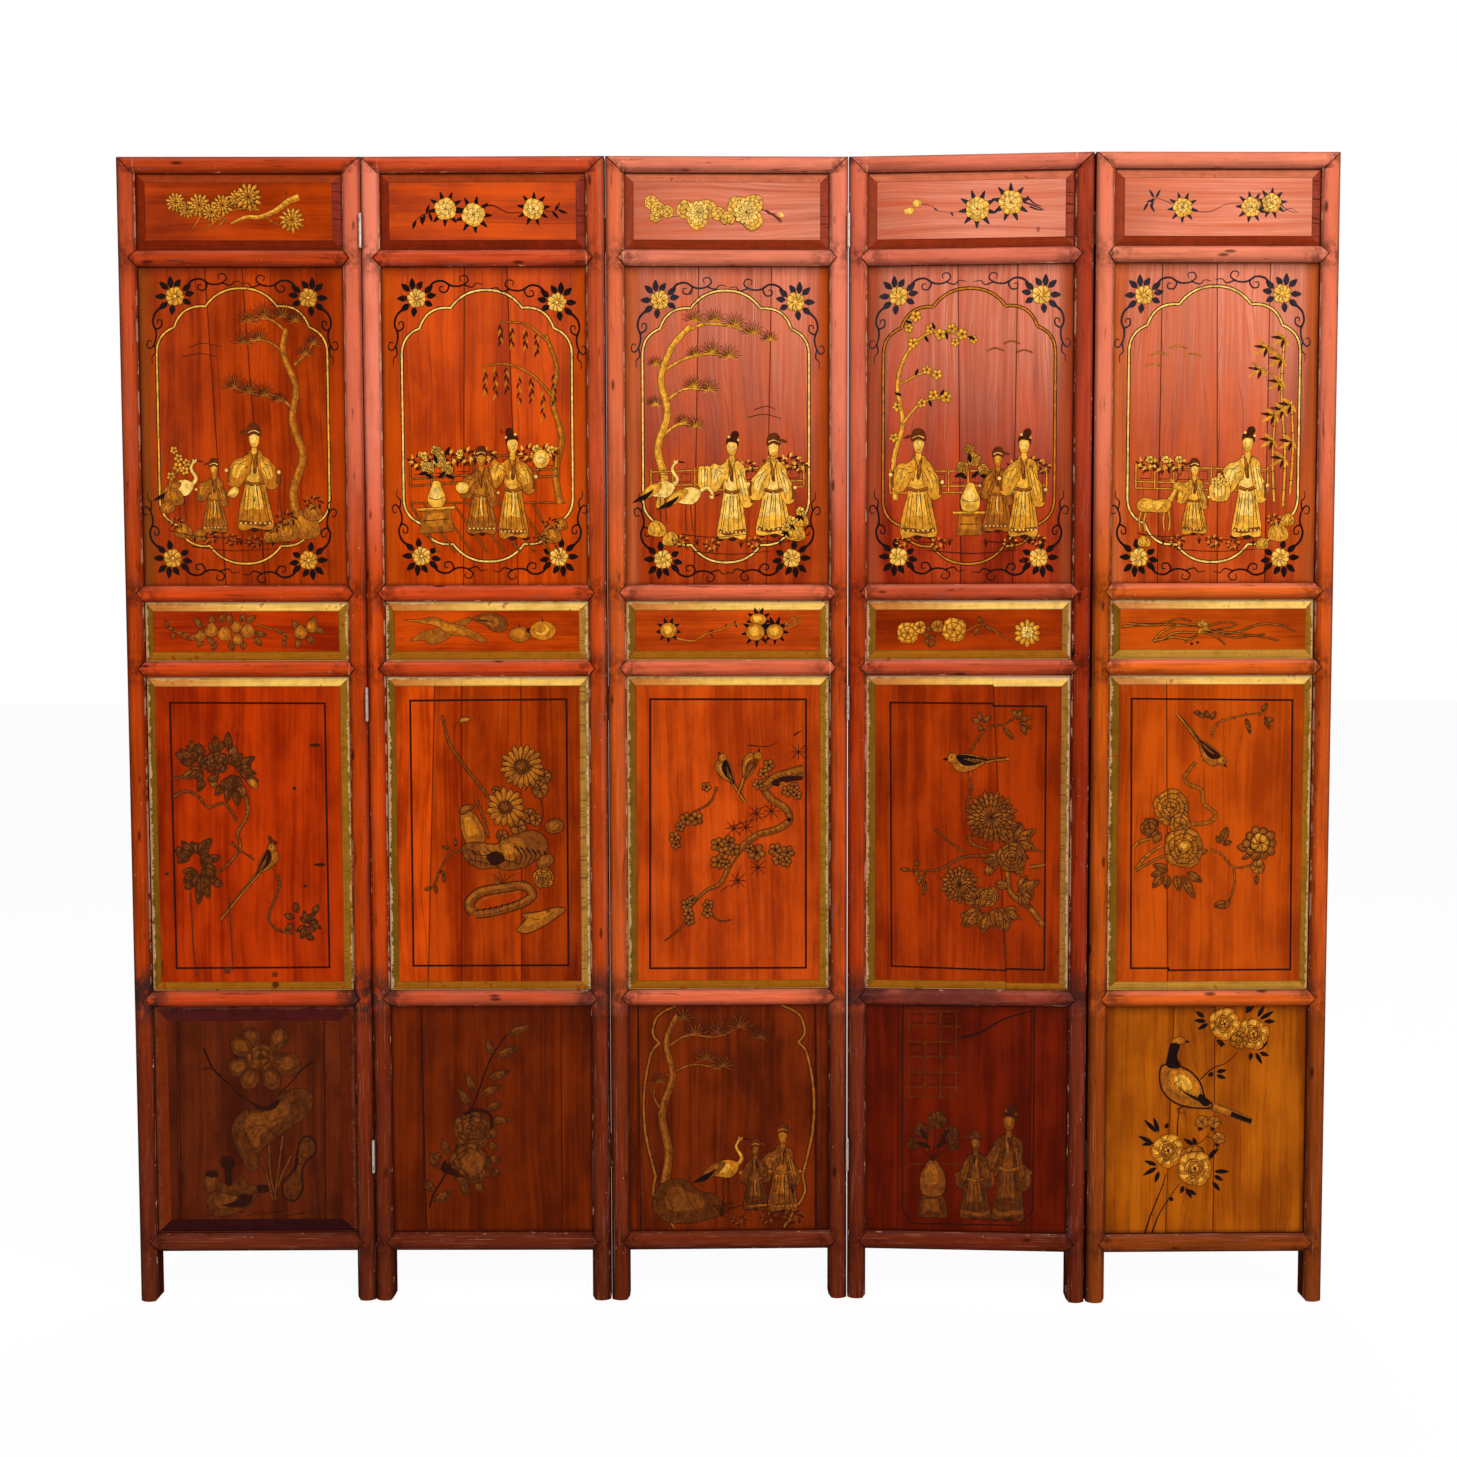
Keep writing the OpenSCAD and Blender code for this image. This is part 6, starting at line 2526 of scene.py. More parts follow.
            b.stroke(((180 + 30 * k, 372 + 4 * (k % 2)), (230 + 32 * k, 366)), 1.8, 0.8, Ink.DARK)

    @staticmethod
    def skirt_4(b: Motifs) -> None:
        """A lady and a page by a lattice window and a flower stand."""
        b.border((
            (100, 2), (336, 2), (336, 376), (312, 404), (120, 404), (100, 380),
        ), 2.6, Ink.DARK)
        for u in (112, 140, 168, 196):
            b.stroke(((u, 10), (u, 170)), 1.8, 1.8, Ink.OLIVE)
        for v in (12, 40, 68, 96, 124, 152, 170):
            b.stroke(((106, v), (204, v)), 1.8, 1.8, Ink.OLIVE)
        for u in (126, 154, 182):
            for v in (26, 82, 138):
                b.stroke((
                    (u - 10, v - 8), (u + 10, v - 8), (u + 10, v + 8), (u - 10, v + 8),
                ), 1.6, 1.6, Ink.DARK, 0.0, 1)
        b.curl(((204, 60), (240, 50), (280, 26), (330, 10)), 5, Ink.DARK)
        b.stroke(((106, 300), (150, 292), (330, 300)), 2.0, 2.0, Ink.OLIVE)
        b.wash(((128, 392), (134, 352), (176, 352), (182, 392)), Ink.OLIVE, 1.2, steps=1)
        b.wash((
            (138, 350), (132, 320), (142, 296), (150, 286), (160, 286), (168, 296), (178, 320),
            (172, 350),
        ), Ink.DULL, 1.2)
        for turn, length in ((250, 60), (275, 80), (300, 66), (225, 48), (320, 50)):
            u, v = length * math.cos(math.radians(turn)), length * math.sin(math.radians(turn))
            b.curl(((155, 288), (155 + u * 0.5, 288 + v * 0.6), (155 + u, 288 + v)), 2.4, Ink.DARK)
        for u, v, radius in (
            (136, 232, 16), (162, 212, 18), (188, 236, 15), (120, 256, 12), (192, 258, 11),
        ):
            b.peony(u, v, radius, u, Ink.OLIVE)
        b.sprigs((
            (150, 262, 200), (160, 262, 330), (145, 250, 240), (170, 250, 300),
        ), 9, Ink.DARK, length=26)
        b.figure(292, 396, 1.95, False, Ink.OLIVE, ((-22, -54), (17, -44)), True)
        b.figure(232, 394, 1.5, True, Ink.OLIVE, ((-20, -54), (20, -52)))

    @staticmethod
    def skirt_5(b: Motifs) -> None:
        """A tall bird among roses."""
        for path, width in (
            (((498, 1142), (530, 1040), (575, 930), (606, 840)), 9),
            (((532, 1140), (570, 1040), (620, 960), (668, 890)), 8),
            (((772, 382), (830, 328), (900, 300), (955, 245)), 7),
            (((662, 690), (660, 600), (672, 520)), 9), (((720, 700), (770, 690), (820, 640)), 6),
            (((800, 660), (850, 672)), 5),
        ):
            b.curl(path, width, Ink.DARK)
        b.thorns(((498, 1142), (530, 1040), (575, 930), (606, 840)), 12, 2)
        b.sprigs((
            (800, 100, 185, 60), (810, 110, 150, 60), (790, 80, 215, 50), (850, 190, 30, 50),
            (860, 190, 60, 40), (990, 60, 320, 60), (1000, 60, 280, 40), (1050, 80, 300, 70),
            (1060, 90, 330, 80), (1080, 100, 0, 56), (1050, 240, 320, 66), (1040, 250, 60, 66),
            (1060, 250, 20, 50), (1020, 250, 100, 40), (850, 345, 350, 50), (850, 360, 20, 50),
            (835, 350, 150, 30), (570, 640, 250, 80), (560, 640, 225, 90), (540, 690, 205, 80),
            (545, 690, 170, 60), (560, 800, 200, 66), (560, 810, 150, 80), (570, 830, 110, 60),
            (740, 700, 210, 60), (750, 700, 250, 40), (760, 710, 40, 40), (810, 760, 320, 70),
            (820, 770, 290, 50), (840, 830, 0, 76), (840, 850, 30, 50), (830, 880, 50, 60),
            (700, 910, 60, 60), (710, 920, 30, 50), (690, 900, 110, 40), (600, 620, 300, 30),
            (620, 960, 30, 24),
        ), 22, Ink.BLACK)
        for u, v, radius, ink in (
            (890, 112, 82, Ink.GOLD), (1030, 160, 82, Ink.GOLD), (960, 190, 46, Ink.OCHRE),
            (615, 728, 88, Ink.GOLD), (735, 770, 70, Ink.OCHRE), (745, 815, 92, Ink.GOLD),
        ):
            b.bloom(u, v, radius, 9, 1, 1.25, ink, 0.04, u)
            for ring, share in enumerate((0.52, 0.38, 0.24)):
                b.bloom(
                    u, v, radius * share, 5, 1, 1.4, Ink.OCHRE if ring % 2 else Ink.GOLD, 0.0,
                    40 * ring,
                )
            b.dot(u, v, radius * 0.08, Ink.DARK, 6)
        for u, v, radius in ((780, 590, 34), (840, 590, 32), (862, 668, 32)):
            b.bloom(u, v, radius, 5, 1, 1.3, Ink.OCHRE, 0.1, u)
            b.leaves(u - 8, v + 24, (100, 60, 140), 24, 10, Ink.DARK)
        b.stroke(((760, 480), (850, 520), (940, 552), (1020, 585)), 44, 26, Ink.OCHRE, 0.7)
        b.stroke(((920, 548), (1022, 586)), 24, 22, Ink.BLACK)
        b.wash((
            (586, 320), (580, 400), (610, 460), (680, 505), (780, 518), (830, 510), (790, 470),
            (768, 400), (720, 345), (650, 318),
        ), Ink.OCHRE, 2.5)
        b.wash((
            (620, 345), (700, 338), (760, 390), (770, 450), (730, 470), (660, 440), (625, 400),
        ), Ink.GOLD, 0.5)
        for k in range(5):
            b.stroke((
                (670 + 18 * k, 430 + 8 * k), (730 + 16 * k, 470 + 7 * k), (790 + 8 * k, 500),
            ), 5, 2, Ink.DARK)
        for k in range(14):
            b.dot(640 + 9 * (k % 7) * 1.8, 360 + 20 * (k // 7) + 6 * (k % 3), 3.2, Ink.OCHRE, 5)
        b.wash(((770, 450), (800, 470), (820, 500), (790, 512), (760, 480)), Ink.BLACK)
        b.wash((
            (606, 312), (618, 240), (628, 208), (650, 190), (672, 212), (658, 270), (676, 318),
            (640, 328),
        ), Ink.BLACK, 0.3)
        b.wash((
            (626, 206), (640, 184), (670, 176), (698, 186), (702, 202), (672, 210), (646, 204),
        ), Ink.OCHRE, 0.7)
        b.leaf(694, 196, 10, 28, 12, Ink.DARK)
        b.dot(672, 190, 4, Ink.BLACK, 6)
        b.stroke(((690, 505), (660, 540), (700, 545)), 5, 3, Ink.DARK)
        b.stroke(((712, 508), (668, 520), (655, 530)), 5, 3, Ink.DARK)

    DAISIES = (
        ((97, 50), (332, 53), (84, 511), (325, 515)), ((95, 54), (343, 62), (98, 508), (343, 510)),
        ((95, 58), (335, 61), (99, 515), (328, 513)), ((88, 52), (338, 53), (89, 511), (337, 514)),
        ((87, 55), (330, 53), (83, 514), (334, 515)),
    )
    FRAMES = (
        (213.6, 278.5, 150.7, 242.3), (218.0, 279.0, 150.6, 239.0), (211.4, 280.9, 147.7, 239.6),
        (212.5, 282.2, 151.1, 242.2), (212.6, 281.2, 151.3, 241.4),
    )

    @classmethod
    def _setting(cls, b: Motifs, leaf: int, petals: int, line: Ink) -> None:
        """The lobed frame line and the flowers in the four corners of an upper panel."""
        x, y, reach, rise = cls.FRAMES[leaf]
        b.cartouche(x, y, (reach, rise), 3.0, line, 1.7)
        slate = replace(b, colours=replace(b.colours, leaf=Ink.SLATE))
        for k, (u, v) in enumerate(cls.DAISIES[leaf]):
            brush = slate if leaf >= 2 and k < 2 else b
            brush.corner_flower(
                u, v, k % 2 == 1, k < 2, petals, Ink.YELLOW if leaf == 0 else Ink.BRIGHT,
            )

    @staticmethod
    def _ground(b: Motifs, blades: Sequence[Point], lines: Sequence[Sequence[Point]]) -> None:
        """Grass and plain lines along a garden's ground."""
        for u, v in blades:
            b.grass(u, v, ((-9, -10), (-4, -15), (2, -16), (8, -12)), 1.7, b.colours.leaf)
        for line in lines:
            b.line(line, 1.4)

    @staticmethod
    def _paving(b: Motifs, low: float, high: float, spans: Sequence[Point]) -> None:
        """The slanting joints of a paved terrace, gold with a dark edge."""
        for left, right in spans:
            b.stroke(((left, high), (right, low)), 1.7, 1.7, b.colours.fill, 0.9)

    @staticmethod
    def _fence(b: Motifs, start: Point, end: Point, height: float, posts: int) -> None:
        """A low garden fence with a plain fret between its posts."""
        (x, y), (u, v) = start, end
        for share in (0.0, 0.3, 1.0):
            b.stroke(
                ((x, y - height * share), (u, v - height * share)), 2.2, 2.2, b.colours.fill, 0.8,
            )
        for k in range(posts):
            t = k / (posts - 1)
            px, py = x + (u - x) * t, y + (v - y) * t
            b.stroke(((px, py), (px, py - height * 1.12)), 2.6, 2.6, b.colours.fill, 0.8)
            if k < posts - 1:
                t = (k + 0.5) / (posts - 1)
                px, py = x + (u - x) * t, y + (v - y) * t
                wide = (u - x) / (posts - 1) * 0.3
                b.stroke((
                    (px - wide, py - height * 0.45), (px + wide, py - height * 0.45),
                    (px + wide, py - height * 0.85), (px - wide * 0.4, py - height * 0.85),
                    (px - wide * 0.4, py - height * 0.62),
                ), 1.4, 1.4, b.colours.line, 0.0, 1)

    @classmethod
    def upper_1(cls, b: Motifs) -> None:
        """A pine, a scholar with a pupil and a crane in a garden."""
        cls._setting(b, 0, 9, Ink.BRIGHT)
        b.pine(
            ((306, 440), (300, 392), (318, 330), (300, 270), (308, 210), (286, 150), (292, 108)),
            (
                ((304, 250), (276, 226), (236, 222), (196, 210)),
                ((306, 170), (330, 148), (338, 132)), ((290, 150), (256, 128), (214, 130)),
                ((292, 112), (262, 90), (222, 94)),
            ),
            (
                (196, 208, 26), (222, 216, 24), (250, 222, 22), (216, 130, 25), (242, 124, 24),
                (338, 132, 18), (324, 150, 18), (224, 92, 24), (252, 84, 25), (284, 84, 26),
                (306, 92, 20), (276, 232, 16),
            ),
            15, 9,
        )
        b.rocks(((318, 452, 28), (286, 462, 22), (334, 430, 16), (262, 470, 15)), Ink.OCHRE)
        b.foliage(((288, 440, 15), (336, 412, 14), (262, 456, 11)))
        b.figure(232, 462, 1.72, True, Ink.GOLD, ((-22, -58), (26, -60)))
        b.stroke(((280, 352), (276, 400), (282, 462)), 2.2, 2.2, Ink.UMBER)
        b.figure(160, 466, 1.2, True, Ink.OCHRE, ((-18, -54), (24, -62)))
        b.wash(((184, 396), (196, 384), (204, 392), (194, 404)), Ink.BRIGHT, 0.8)
        b.crane(108, 446, 1.12, True)
        b.rocks(((88, 402, 17), (76, 420, 12), (104, 462, 15), (132, 470, 12)), Ink.OCHRE)
        b.branch(((78, 400), (84, 372), (100, 350), (96, 326)), 4.5, 2.0)
        for u, v, radius in (
            (84, 366, 8), (96, 350, 9), (108, 356, 8), (98, 334, 8), (90, 320, 7), (112, 342, 7),
        ):
            b.plum(u, v, radius, u, Ink.GOLD)
        b.foliage(((150, 474, 12), (190, 478, 12), (230, 482, 12), (92, 448, 11)))
        cls._ground(b, ((124, 482), (206, 488), (262, 490)), (
            ((80, 462), (140, 474), (200, 472)), ((180, 480), (240, 486), (310, 482)),
            ((118, 490), (190, 498), (270, 494)), ((120, 140), (144, 132), (176, 138)),
            ((108, 156), (140, 150), (170, 156)),
        ))

    @classmethod
    def upper_2(cls, b: Motifs) -> None:
        """A willow over a terrace with a lady, a page and a flower stand."""
        cls._setting(b, 1, 10, Ink.CREAM)
        cls._paving(b, 502, 416, (
            (80, 128), (104, 158), (130, 188), (156, 216), (184, 246), (212, 274), (240, 300),
            (270, 328), (298, 344),
        ))
        b.stroke(((78, 414), (210, 414), (356, 414)), 1.7, 1.7, b.colours.fill, 0.9)
        b.branch(((346, 416), (338, 360), (350, 300), (334, 236), (342, 176), (322, 118)), 12, 6)
        b.branch(((336, 230), (300, 190), (256, 170), (214, 172)), 4.5, 2)
        b.branch(((326, 130), (288, 100), (240, 96)), 4, 1.5)
        for u, v, fall in (
            (216, 172, 50), (234, 168, 62), (254, 170, 48), (276, 178, 66), (298, 190, 44),
            (244, 96, 36), (264, 96, 44), (288, 102, 40), (318, 212, 56), (338, 182, 58),
            (308, 112, 40),
        ):
            b.line(((u, v), (u - 3, v + fall * 0.5), (u + 2, v + fall)), 1.0, Ink.OCHRE)
            for k in range(7):
                b.leaf(
                    u - 1, v + fall * (0.1 + 0.13 * k), 70 if k % 2 else 112, 12, 3.6,
                    Ink.BROWN if (k + u) % 3 else Ink.GOLD,
                )
        cls._fence(b, (80, 384), (344, 366), 42, 8)
        b.foliage((
            (96, 340, 16), (122, 336, 17), (152, 336, 16), (182, 332, 17), (214, 332, 16),
            (292, 326, 17), (322, 326, 17),
        ), Ink.BRIGHT)
        for u, v in ((104, 330), (134, 328), (168, 326), (200, 326), (304, 318), (330, 320)):
            b.bloom(u, v, 7, 6, 1, 1.1, Ink.BRIGHT)
        b.wash(((96, 468), (100, 428), (150, 424), (156, 464)), Ink.OCHRE, 0.9, steps=1)
        b.stroke(((92, 426), (158, 422)), 5, 5, Ink.GOLD, 0.7)
        b.line(((102, 446), (152, 442)), 1.6)
        b.wash((
            (116, 420), (110, 404), (117, 386), (121, 376), (131, 376), (135, 386), (142, 404),
            (136, 420),
        ), Ink.BRIGHT, 0.9)
        b.line(((112, 404), (126, 408), (141, 403)), 1.4)
        for u, v, radius in ((112, 352, 12), (132, 340, 13), (146, 356, 11), (126, 322, 10)):
            b.peony(u, v, radius, u, Ink.BRIGHT)
        b.sprigs((
            (120, 370, 210), (130, 370, 320), (112, 360, 170), (142, 364, 20), (128, 344, 250),
            (142, 330, 300),
        ), 7, length=18)
        b.figure(262, 478, 1.78, True, Ink.GOLD, ((-20, -60), (24, -66)), True)
        b.wash((
            (306, 352), (298, 336), (306, 322), (320, 322), (328, 336), (320, 350),
        ), Ink.BRIGHT, 0.9)
        b.line(((306, 336), (314, 334), (322, 338)), 1.0)
        b.stroke(((312, 352), (306, 366)), 1.6, 1.4, Ink.UMBER)
        b.figure(206, 470, 1.42, False, Ink.OCHRE, ((-24, -60), (18, -50)))
        b.wash((
            (160, 386), (166, 378), (178, 378), (184, 386), (178, 396), (166, 396),
        ), Ink.BRIGHT, 0.8)
        b.rocks(((330, 470, 17), (346, 452, 12)), Ink.OCHRE)
        b.foliage(((330, 450, 12), (312, 478, 11)))

    @classmethod
    def upper_3(cls, b: Motifs) -> None:
        """Two cranes under a pine, and two ladies by a low wall."""
        cls._setting(b, 2, 9, Ink.CREAM)
        b.pine(
            ((92, 424), (102, 372), (90, 318), (108, 256), (96, 196), (116, 140), (148, 104)),
            (
                ((96, 300), (126, 276), (156, 280)), ((104, 236), (138, 214), (178, 216)),
                ((104, 180), (140, 160), (184, 152), (214, 158)),
                ((130, 120), (172, 100), (222, 104), (258, 116)),
            ),
            (
                (156, 278, 19), (134, 272, 16), (180, 214, 22), (152, 208, 19), (216, 156, 23),
                (186, 148, 22), (156, 154, 17), (258, 114, 22), (226, 100, 23), (190, 92, 22),
                (154, 92, 21), (86, 170, 16), (84, 240, 16), (288, 126, 17),
            ),
            14, 9,
        )
        cls._fence(b, (78, 396), (350, 386), 36, 8)
        b.foliage(((300, 344, 17), (326, 342, 16), (344, 350, 12), (250, 350, 12)), Ink.BRIGHT)
        b.figure(222, 480, 1.75, False, Ink.BRIGHT, ((-25, -64), (19, -48)), True)
        b.wash((
            (162, 356), (166, 350), (180, 350), (184, 356), (184, 382), (180, 388), (166, 388),
            (162, 382),
        ), Ink.BRIGHT, 0.9)
        for k in (168, 173, 178):
            b.line(((k, 354), (k, 384)), 0.9)
        b.stroke(((176, 366), (173, 348)), 1.4, 1.4, Ink.UMBER)
        b.figure(296, 474, 1.66, False, Ink.BRIGHT, ((-24, -54), (20, -50)))
        b.crane(150, 466, 1.2, True, True)
        b.crane(104, 452, 1.15, True)
        b.rocks(((88, 460, 16), (112, 478, 14), (334, 466, 18), (346, 446, 12)), Ink.YELLOW)
        for u, v in ((328, 446), (344, 430), (318, 458)):
            b.bloom(u, v, 8.5, 7, 1, 1.0, Ink.BRIGHT)
            b.leaves(u, v + 7, (60, 110, 150), 13, 5)
        b.foliage(((130, 482, 12), (186, 490, 12), (262, 486, 12)))
        cls._ground(b, ((160, 490), (238, 494), (308, 490)), (
            ((130, 470), (190, 476), (250, 470)), ((150, 500), (220, 506), (290, 500)),
            ((250, 480), (310, 484), (344, 478)), ((262, 250), (284, 244), (300, 250)),
            ((250, 264), (280, 258), (310, 266)),
        ))

    @classmethod
    def upper_4(cls, b: Motifs) -> None:
        """A scholar, a page and a lady round a vase on a stand."""
        cls._setting(b, 3, 8, Ink.GOLD)
        b.branch((
            (84, 410), (80, 340), (96, 276), (86, 206), (106, 148), (146, 116), (200, 120),
        ), 9, 3)
        b.branch(((96, 276), (128, 240), (172, 230)), 4, 2)
        b.branch(((92, 206), (128, 188), (156, 190)), 3.5, 2)
        b.branch(((110, 142), (104, 110), (118, 86)), 3, 2)
        for u, v, radius in (
            (200, 120, 10), (182, 110, 9), (162, 120, 10), (144, 110, 9), (118, 88, 10),
            (106, 108, 8), (172, 230, 10), (150, 226, 9), (130, 240, 8), (156, 190, 9),
            (138, 182, 8), (114, 134, 9), (86, 246, 8), (80, 300, 8), (220, 130, 7), (188, 134, 7),
        ):
            b.plum(u, v, radius, u * 2.0, Ink.YELLOW)
        b.sprigs((
            (172, 116, 80), (152, 112, 250), (134, 122, 60), (112, 100, 200), (162, 228, 300),
            (142, 234, 70), (118, 192, 290), (94, 226, 200), (210, 124, 20),
        ), 5.5, length=14)
        cls._fence(b, (74, 398), (350, 398), 38, 9)
        b.foliage(((300, 352, 15), (326, 350, 16), (344, 356, 11)), Ink.YELLOW)
        b.figure(124, 478, 1.76, True, Ink.YELLOW, ((-21, -54), (25, -62)))
        b.wash(((192, 474), (196, 434), (234, 434), (238, 474)), Ink.OCHRE, 0.9, steps=1)
        b.stroke(((186, 434), (244, 434)), 5, 5, Ink.GOLD, 0.7)
        b.line(((198, 454), (232, 454)), 1.6)
        b.wash((
            (204, 430), (199, 410), (207, 392), (211, 382), (221, 382), (225, 392), (233, 410),
            (228, 430),
        ), Ink.BRIGHT, 0.9)
        b.line(((200, 410), (216, 415), (232, 410)), 1.4)
        for u, v, radius in ((202, 354, 12), (222, 340, 13), (238, 358, 11), (214, 322, 9)):
            b.peony(u, v, radius, u, Ink.YELLOW)
        b.sprigs((
            (210, 374, 215), (218, 372, 320), (204, 364, 160), (232, 368, 10), (216, 346, 260),
        ), 7, length=18)
        b.figure(264, 468, 1.36, False, Ink.OCHRE, ((-20, -58), (18, -50)))
        b.figure(310, 478, 1.74, False, Ink.YELLOW, ((-22, -58), (19, -46)), True)
        for u, v in ((262, 150), (290, 138), (312, 154)):
            b.stroke(((u - 18, v), (u - 4, v - 5), (u + 12, v)), 1.8, 1.0, Ink.OCHRE, 0.6)
        b.foliage(((96, 486, 11), (160, 488, 12), (286, 488, 11), (336, 484, 11)))
        cls._ground(b, ((180, 492), (244, 494), (320, 490)), (
            ((84, 480), (140, 486), (186, 482)), ((240, 484), (290, 488), (340, 482)),
            ((140, 500), (220, 506), (300, 500)),
        ))

    @classmethod
    def upper_5(cls, b: Motifs) -> None:
        """Bamboo, a deer, a boy and a lady with a basket."""
        cls._setting(b, 4, 9, Ink.CREAM)
        for path in (
            ((338, 424), (340, 330), (332, 220), (336, 126)), ((350, 404), (354, 320), (350, 240)),
            ((322, 416), (318, 340), (322, 260)),
        ):
            b.stroke(path, 4.2, 3.0, Ink.YELLOW, 0.7)
            for (x, y), (u, v) in zip(path, path[1:]):
                for share in (0.3, 0.7):
                    at = y + (v - y) * share
                    b.line(((x + (u - x) * share - 4, at), (x + (u - x) * share + 4, at)), 1.3)
        for u, v in (
            (336, 130), (332, 166), (332, 206), (336, 254), (350, 246), (320, 264), (318, 308),
            (352, 310), (338, 340), (306, 146), (296, 184),
        ):
            for k, turn in enumerate((150, 185, 215, 110, 60)):
                b.leaf(u, v, turn, 28 - 3 * k, 6, Ink.BROWN if k % 2 else Ink.YELLOW)
        b.branch(((332, 166), (318, 150), (304, 146)), 2.6, 1.5)
        b.branch(((332, 214), (312, 190), (294, 184)), 2.6, 1.5)
        cls._fence(b, (76, 392), (310, 398), 38, 8)
        b.foliage(((96, 350, 15), (122, 352, 16), (148, 350, 14)), Ink.BRIGHT)
        for u, v in ((100, 342), (128, 342), (152, 342)):
            b.bloom(u, v, 7, 6, 1, 1.1, Ink.BRIGHT)
        b.figure(274, 480, 1.78, False, Ink.BRIGHT, ((-25, -60), (17, -50)), True)
        b.wash((
            (206, 396), (212, 384), (238, 384), (244, 396), (238, 414), (212, 414),
        ), Ink.BRIGHT, 0.9)
        for k in range(4):
            b.line(((214 + 7 * k, 388), (216 + 6 * k, 410)), 1.0)
        b.stroke(((212, 386), (225, 362), (238, 386)), 1.8, 1.8, Ink.UMBER)
        for u, v in ((216, 380), (226, 376), (236, 382), (222, 386)):
            b.plum(u, v, 6.5, u, Ink.BRIGHT)
        b.figure(180, 474, 1.22, True, Ink.YELLOW, ((-18, -52), (24, -60)))
        own = b.at(112, 468, 0.0, 1.05, True)
        for path, width in (
            (((-22, -34), (-24, -16), (-22, 0)), 3.4), (((-14, -34), (-13, -16), (-15, 0)), 3.4),
            (((16, -34), (20, -16), (17, 0)), 3.4), (((24, -36), (28, -18), (26, 0)), 3.4),
            (((-20, -48), (-30, -62), (-34, -74)), 9),
        ):
            own.stroke(path, width, width * 0.6, Ink.YELLOW, 0.7)
        own.wash((
            (-26, -44), (-18, -54), (0, -52), (20, -56), (32, -46), (28, -34), (6, -32), (-18, -32),
        ), Ink.YELLOW, 0.8)
        own.wash((
            (-50, -72), (-42, -82), (-32, -82), (-28, -74), (-36, -70), (-46, -66),
        ), Ink.YELLOW, 0.7)
        own.leaf(-32, -80, 320, 12, 5, Ink.YELLOW)
        for k in range(8):
            own.dot(-12 + 5 * k, -47 + 5 * (k % 3), 1.6, Ink.CREAM, 5)
        own.dot(-39, -77, 1.3, Ink.BLACK, 5)
        own.line(((-34, -82), (-38, -94), (-32, -104)), 1.4)
        own.line(((-36, -90), (-44, -98)), 1.2)
        b.rocks(((330, 470, 18), (346, 448, 12), (92, 486, 11), (302, 490, 11)), Ink.YELLOW)
        for u, v in ((118, 160), (150, 148), (176, 162), (108, 180)):
            b.stroke(((u - 18, v), (u - 4, v - 5), (u + 14, v)), 1.8, 1.0, Ink.YELLOW, 0.6)
        b.foliage(((150, 486, 12), (216, 486, 12), (250, 492, 10), (322, 448, 11)))
        cls._ground(b, ((126, 492), (190, 490), (286, 494)), (
            ((80, 472), (130, 478), (186, 474)), ((150, 500), (220, 504), (290, 500)),
            ((200, 480), (250, 484), (300, 478)),
        ))


@dataclass(frozen=True)
class Job:
    """One picture: its panel, how deep its face lies, its grid, its paints and its drawing."""

    part: str
    depth: float
    grid: Grid
    colours: Palette
    draw: Callable[[Motifs], None]
    pen: float = 2.4
    slot: str = "gold_paint"
    hatched: float = 0.24


def jobs(leaf: int) -> List[Job]:
    """The five pictures of a leaf.

    Args:
        leaf: The leaf's number.

    Returns:
        The pictures from the top down.
    """
    i = leaf - 1
    parts = ("frieze", "upper", "waist", "lower", "skirt")
    draw = {part: getattr(Pictures, f"{part}_{leaf}") for part in parts}
    field, board = PLAN.field_depth, PLAN.board_depth
    return [
        Job(
            "frieze", field, TOP_GRIDS[i], (WARM, BRIGHT, COOL, COOL, COOL)[i], draw["frieze"], 2.0,
        ),
        Job(
            "upper", board, Grid((0.0, PLAN.upper[1])), (MUTED, MUTED, VIVID, VIVID, VIVID)[i],
            draw["upper"], 1.25,
        ),
        Job("waist", field, MIDDLE_GRIDS[i], (WARM, WARM, GILDED, WARM, WARM)[i], draw["waist"]),
        Job(
            "lower", field, MIDDLE_GRIDS[i], (DIM, DIM, DIM, DIM, WARM)[i], draw["lower"], 3.4,
            hatched=0.34,
        ),
        Job(
            "skirt", field if leaf == 1 else board, SKIRT_GRIDS[i],
            (FADED, FADED, DIM, FADED, SUNNY)[i], draw["skirt"], (3.4, 3.4, 1.4, 1.3, 3.4)[i],
            "ink_paint", (0.5, 0.5, 0.4, 0.5, 0.3)[i],
        ),
    ]


def paint(place: LeafPlace, finish: PaintFinish) -> None:
    """Paints all the pictures of one leaf.

    Args:
        place: Where the leaf stands.
        finish: The paint.
    """
    for job in jobs(place.number):
        name = place.node(f"{job.part}_picture")
        canvas = Canvas(place, job.depth, job.grid)
        job.draw(Motifs(canvas, job.colours, pen=job.pen))
        paints = replace(finish, hatched=job.hatched, shaded=job.hatched * 0.9)
        seed = place.number * PAINT_STEP + len(job.part)
        canvas.finish(name, paints.material(name, seed), job.slot)


# The studio


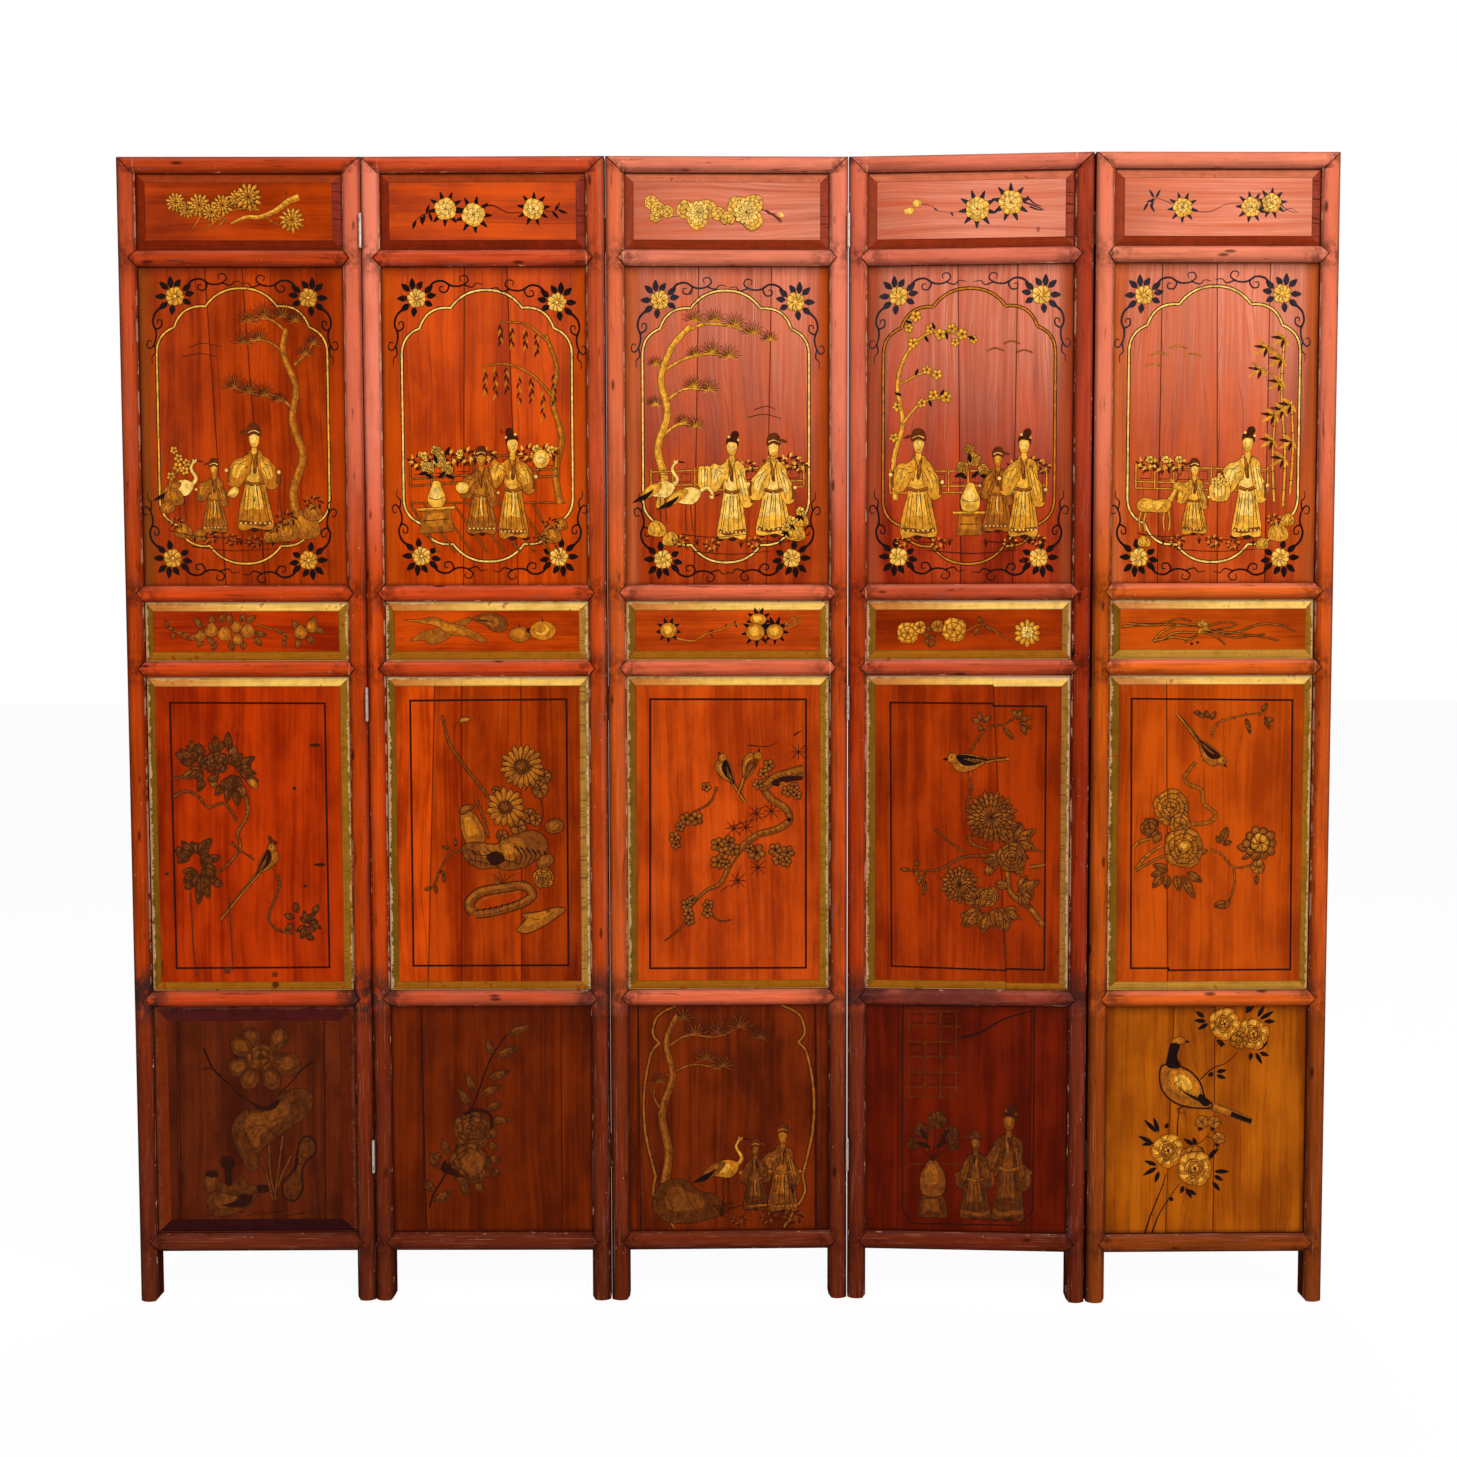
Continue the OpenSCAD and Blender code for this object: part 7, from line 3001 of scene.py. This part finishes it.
@dataclass(frozen=True)
class Studio:
    """The camera, floor and lamps, in metres and degrees."""

    eye: Tuple[float, float, float] = (0.0098, -2.7945, 1.1888)
    angles: Tuple[float, float, float] = (86.98907, 0.13492, 0.18955)
    lens: float = 38.545
    sensor: float = 36.0
    floor_side: float = 60.0
    floor_tone: float = 0.94
    floor_glow: float = 1.012
    glow_share: float = 0.93
    fill: float = 0.45
    white: float = 1.0

    def camera(self) -> None:
        """Makes the camera at the photograph's viewing angle."""
        data = bpy.data.cameras.new("camera")
        data.lens, data.sensor_width, data.sensor_fit = self.lens, self.sensor, "HORIZONTAL"
        data.clip_start, data.clip_end = 0.05, 200.0
        made = bpy.data.objects.new("camera", data)
        made.location = self.eye
        made.rotation_euler = [math.radians(a) for a in self.angles]
        bpy.context.scene.collection.objects.link(made)
        bpy.context.scene.camera = made

    def world(self) -> None:
        """Makes a plain world that camera and transmission rays see as white, and that lights the
        rest at a lower level.
        """
        world = bpy.data.worlds.new("studio")
        bpy.context.scene.world = world
        world.use_nodes = True
        tree = world.node_tree
        tree.nodes.clear()
        path = tree.nodes.new("ShaderNodeLightPath")
        seen = tree.nodes.new("ShaderNodeMath")
        seen.operation = "MAXIMUM"
        tree.links.new(path.outputs["Is Camera Ray"], seen.inputs[0])
        tree.links.new(path.outputs["Is Transmission Ray"], seen.inputs[1])
        strength = tree.nodes.new("ShaderNodeMapRange")
        tree.links.new(seen.outputs[0], strength.inputs["Value"])
        strength.inputs["To Min"].default_value = self.fill
        strength.inputs["To Max"].default_value = self.white
        back = tree.nodes.new("ShaderNodeBackground")
        back.inputs["Color"].default_value = (1.0, 1.0, 1.0, 1.0)
        tree.links.new(strength.outputs[0], back.inputs["Strength"])
        out = tree.nodes.new("ShaderNodeOutputWorld")
        tree.links.new(back.outputs[0], out.inputs["Surface"])

    def floor(self) -> None:
        """Makes the white floor, which keeps the screen's shadow."""
        s = Sheet("studio_floor")
        s.shade(Base_Color=(self.floor_tone,) * 3, Roughness=0.9, Specular_IOR_Level=0.0)
        path = s.tree.nodes.new("ShaderNodeLightPath")
        glow = s.tree.nodes.new("ShaderNodeEmission")
        glow.inputs["Strength"].default_value = self.floor_glow
        mixer = s.tree.nodes.new("ShaderNodeMixShader")
        share = s.tree.nodes.new("ShaderNodeMath")
        share.operation = "MULTIPLY"
        share.inputs[1].default_value = self.glow_share
        s.tree.links.new(path.outputs["Is Camera Ray"], share.inputs[0])
        s.tree.links.new(share.outputs[0], mixer.inputs[0])
        s.tree.links.new(s.shader.outputs[0], mixer.inputs[1])
        s.tree.links.new(glow.outputs[0], mixer.inputs[2])
        s.tree.links.new(mixer.outputs[0], s.output.inputs["Surface"])
        bpy.ops.mesh.primitive_plane_add(size=self.floor_side)
        plane = bpy.context.active_object
        plane.name = "floor"
        plane.data.materials.append(s.material)

    def lamp(
        self, name: str, place: Tuple[float, float, float], aim: Tuple[float, float, float],
        side: float, power: float,
    ) -> None:
        """Hangs one square soft lamp.

        Args:
            name: The lamp's name.
            place: Where it hangs.
            aim: The point that it faces.
            side: Its side.
            power: Its power in watts.
        """
        data = bpy.data.lights.new(name, "AREA")
        data.shape, data.size, data.energy = "SQUARE", side, power
        made = bpy.data.objects.new(name, data)
        made.location = place
        made.rotation_euler = (Vector(aim) - Vector(place)).to_track_quat("-Z", "Y").to_euler()
        bpy.context.scene.collection.objects.link(made)

    def build(self) -> None:
        """Builds the whole studio."""
        self.camera()
        self.world()
        self.floor()
        self.lamp("key_lamp", (1.7, -3.2, 4.3), (0.1, 0.0, 1.1), 2.2, 132.0)
        self.lamp("side_lamp", (-2.8, -3.0, 2.2), (0.0, 0.0, 1.0), 2.0, 26.0)
        self.lamp("back_lamp", (0.6, 3.6, 3.4), (0.0, 0.0, 1.0), 2.4, 60.0)
        view = bpy.context.scene.view_settings
        view.view_transform = "Standard"


def main() -> None:
    """Loads the frame, dresses each leaf and builds the studio."""
    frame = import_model()
    steel = HingeSteel().material()
    finishes = looks()
    for place in PLACES:
        LeafDresser(place, finishes[place.number], steel).dress(frame["nodes"])
        paint(place, PaintFinish())
    for seam in range(1, SEAMS + 1):
        LeafDresser.assign(frame["nodes"][f"seam_{seam}_hinge_pins"], steel)
    Studio().build()


if __name__ == "__main__":
    logging.basicConfig(level=logging.INFO)
    main()
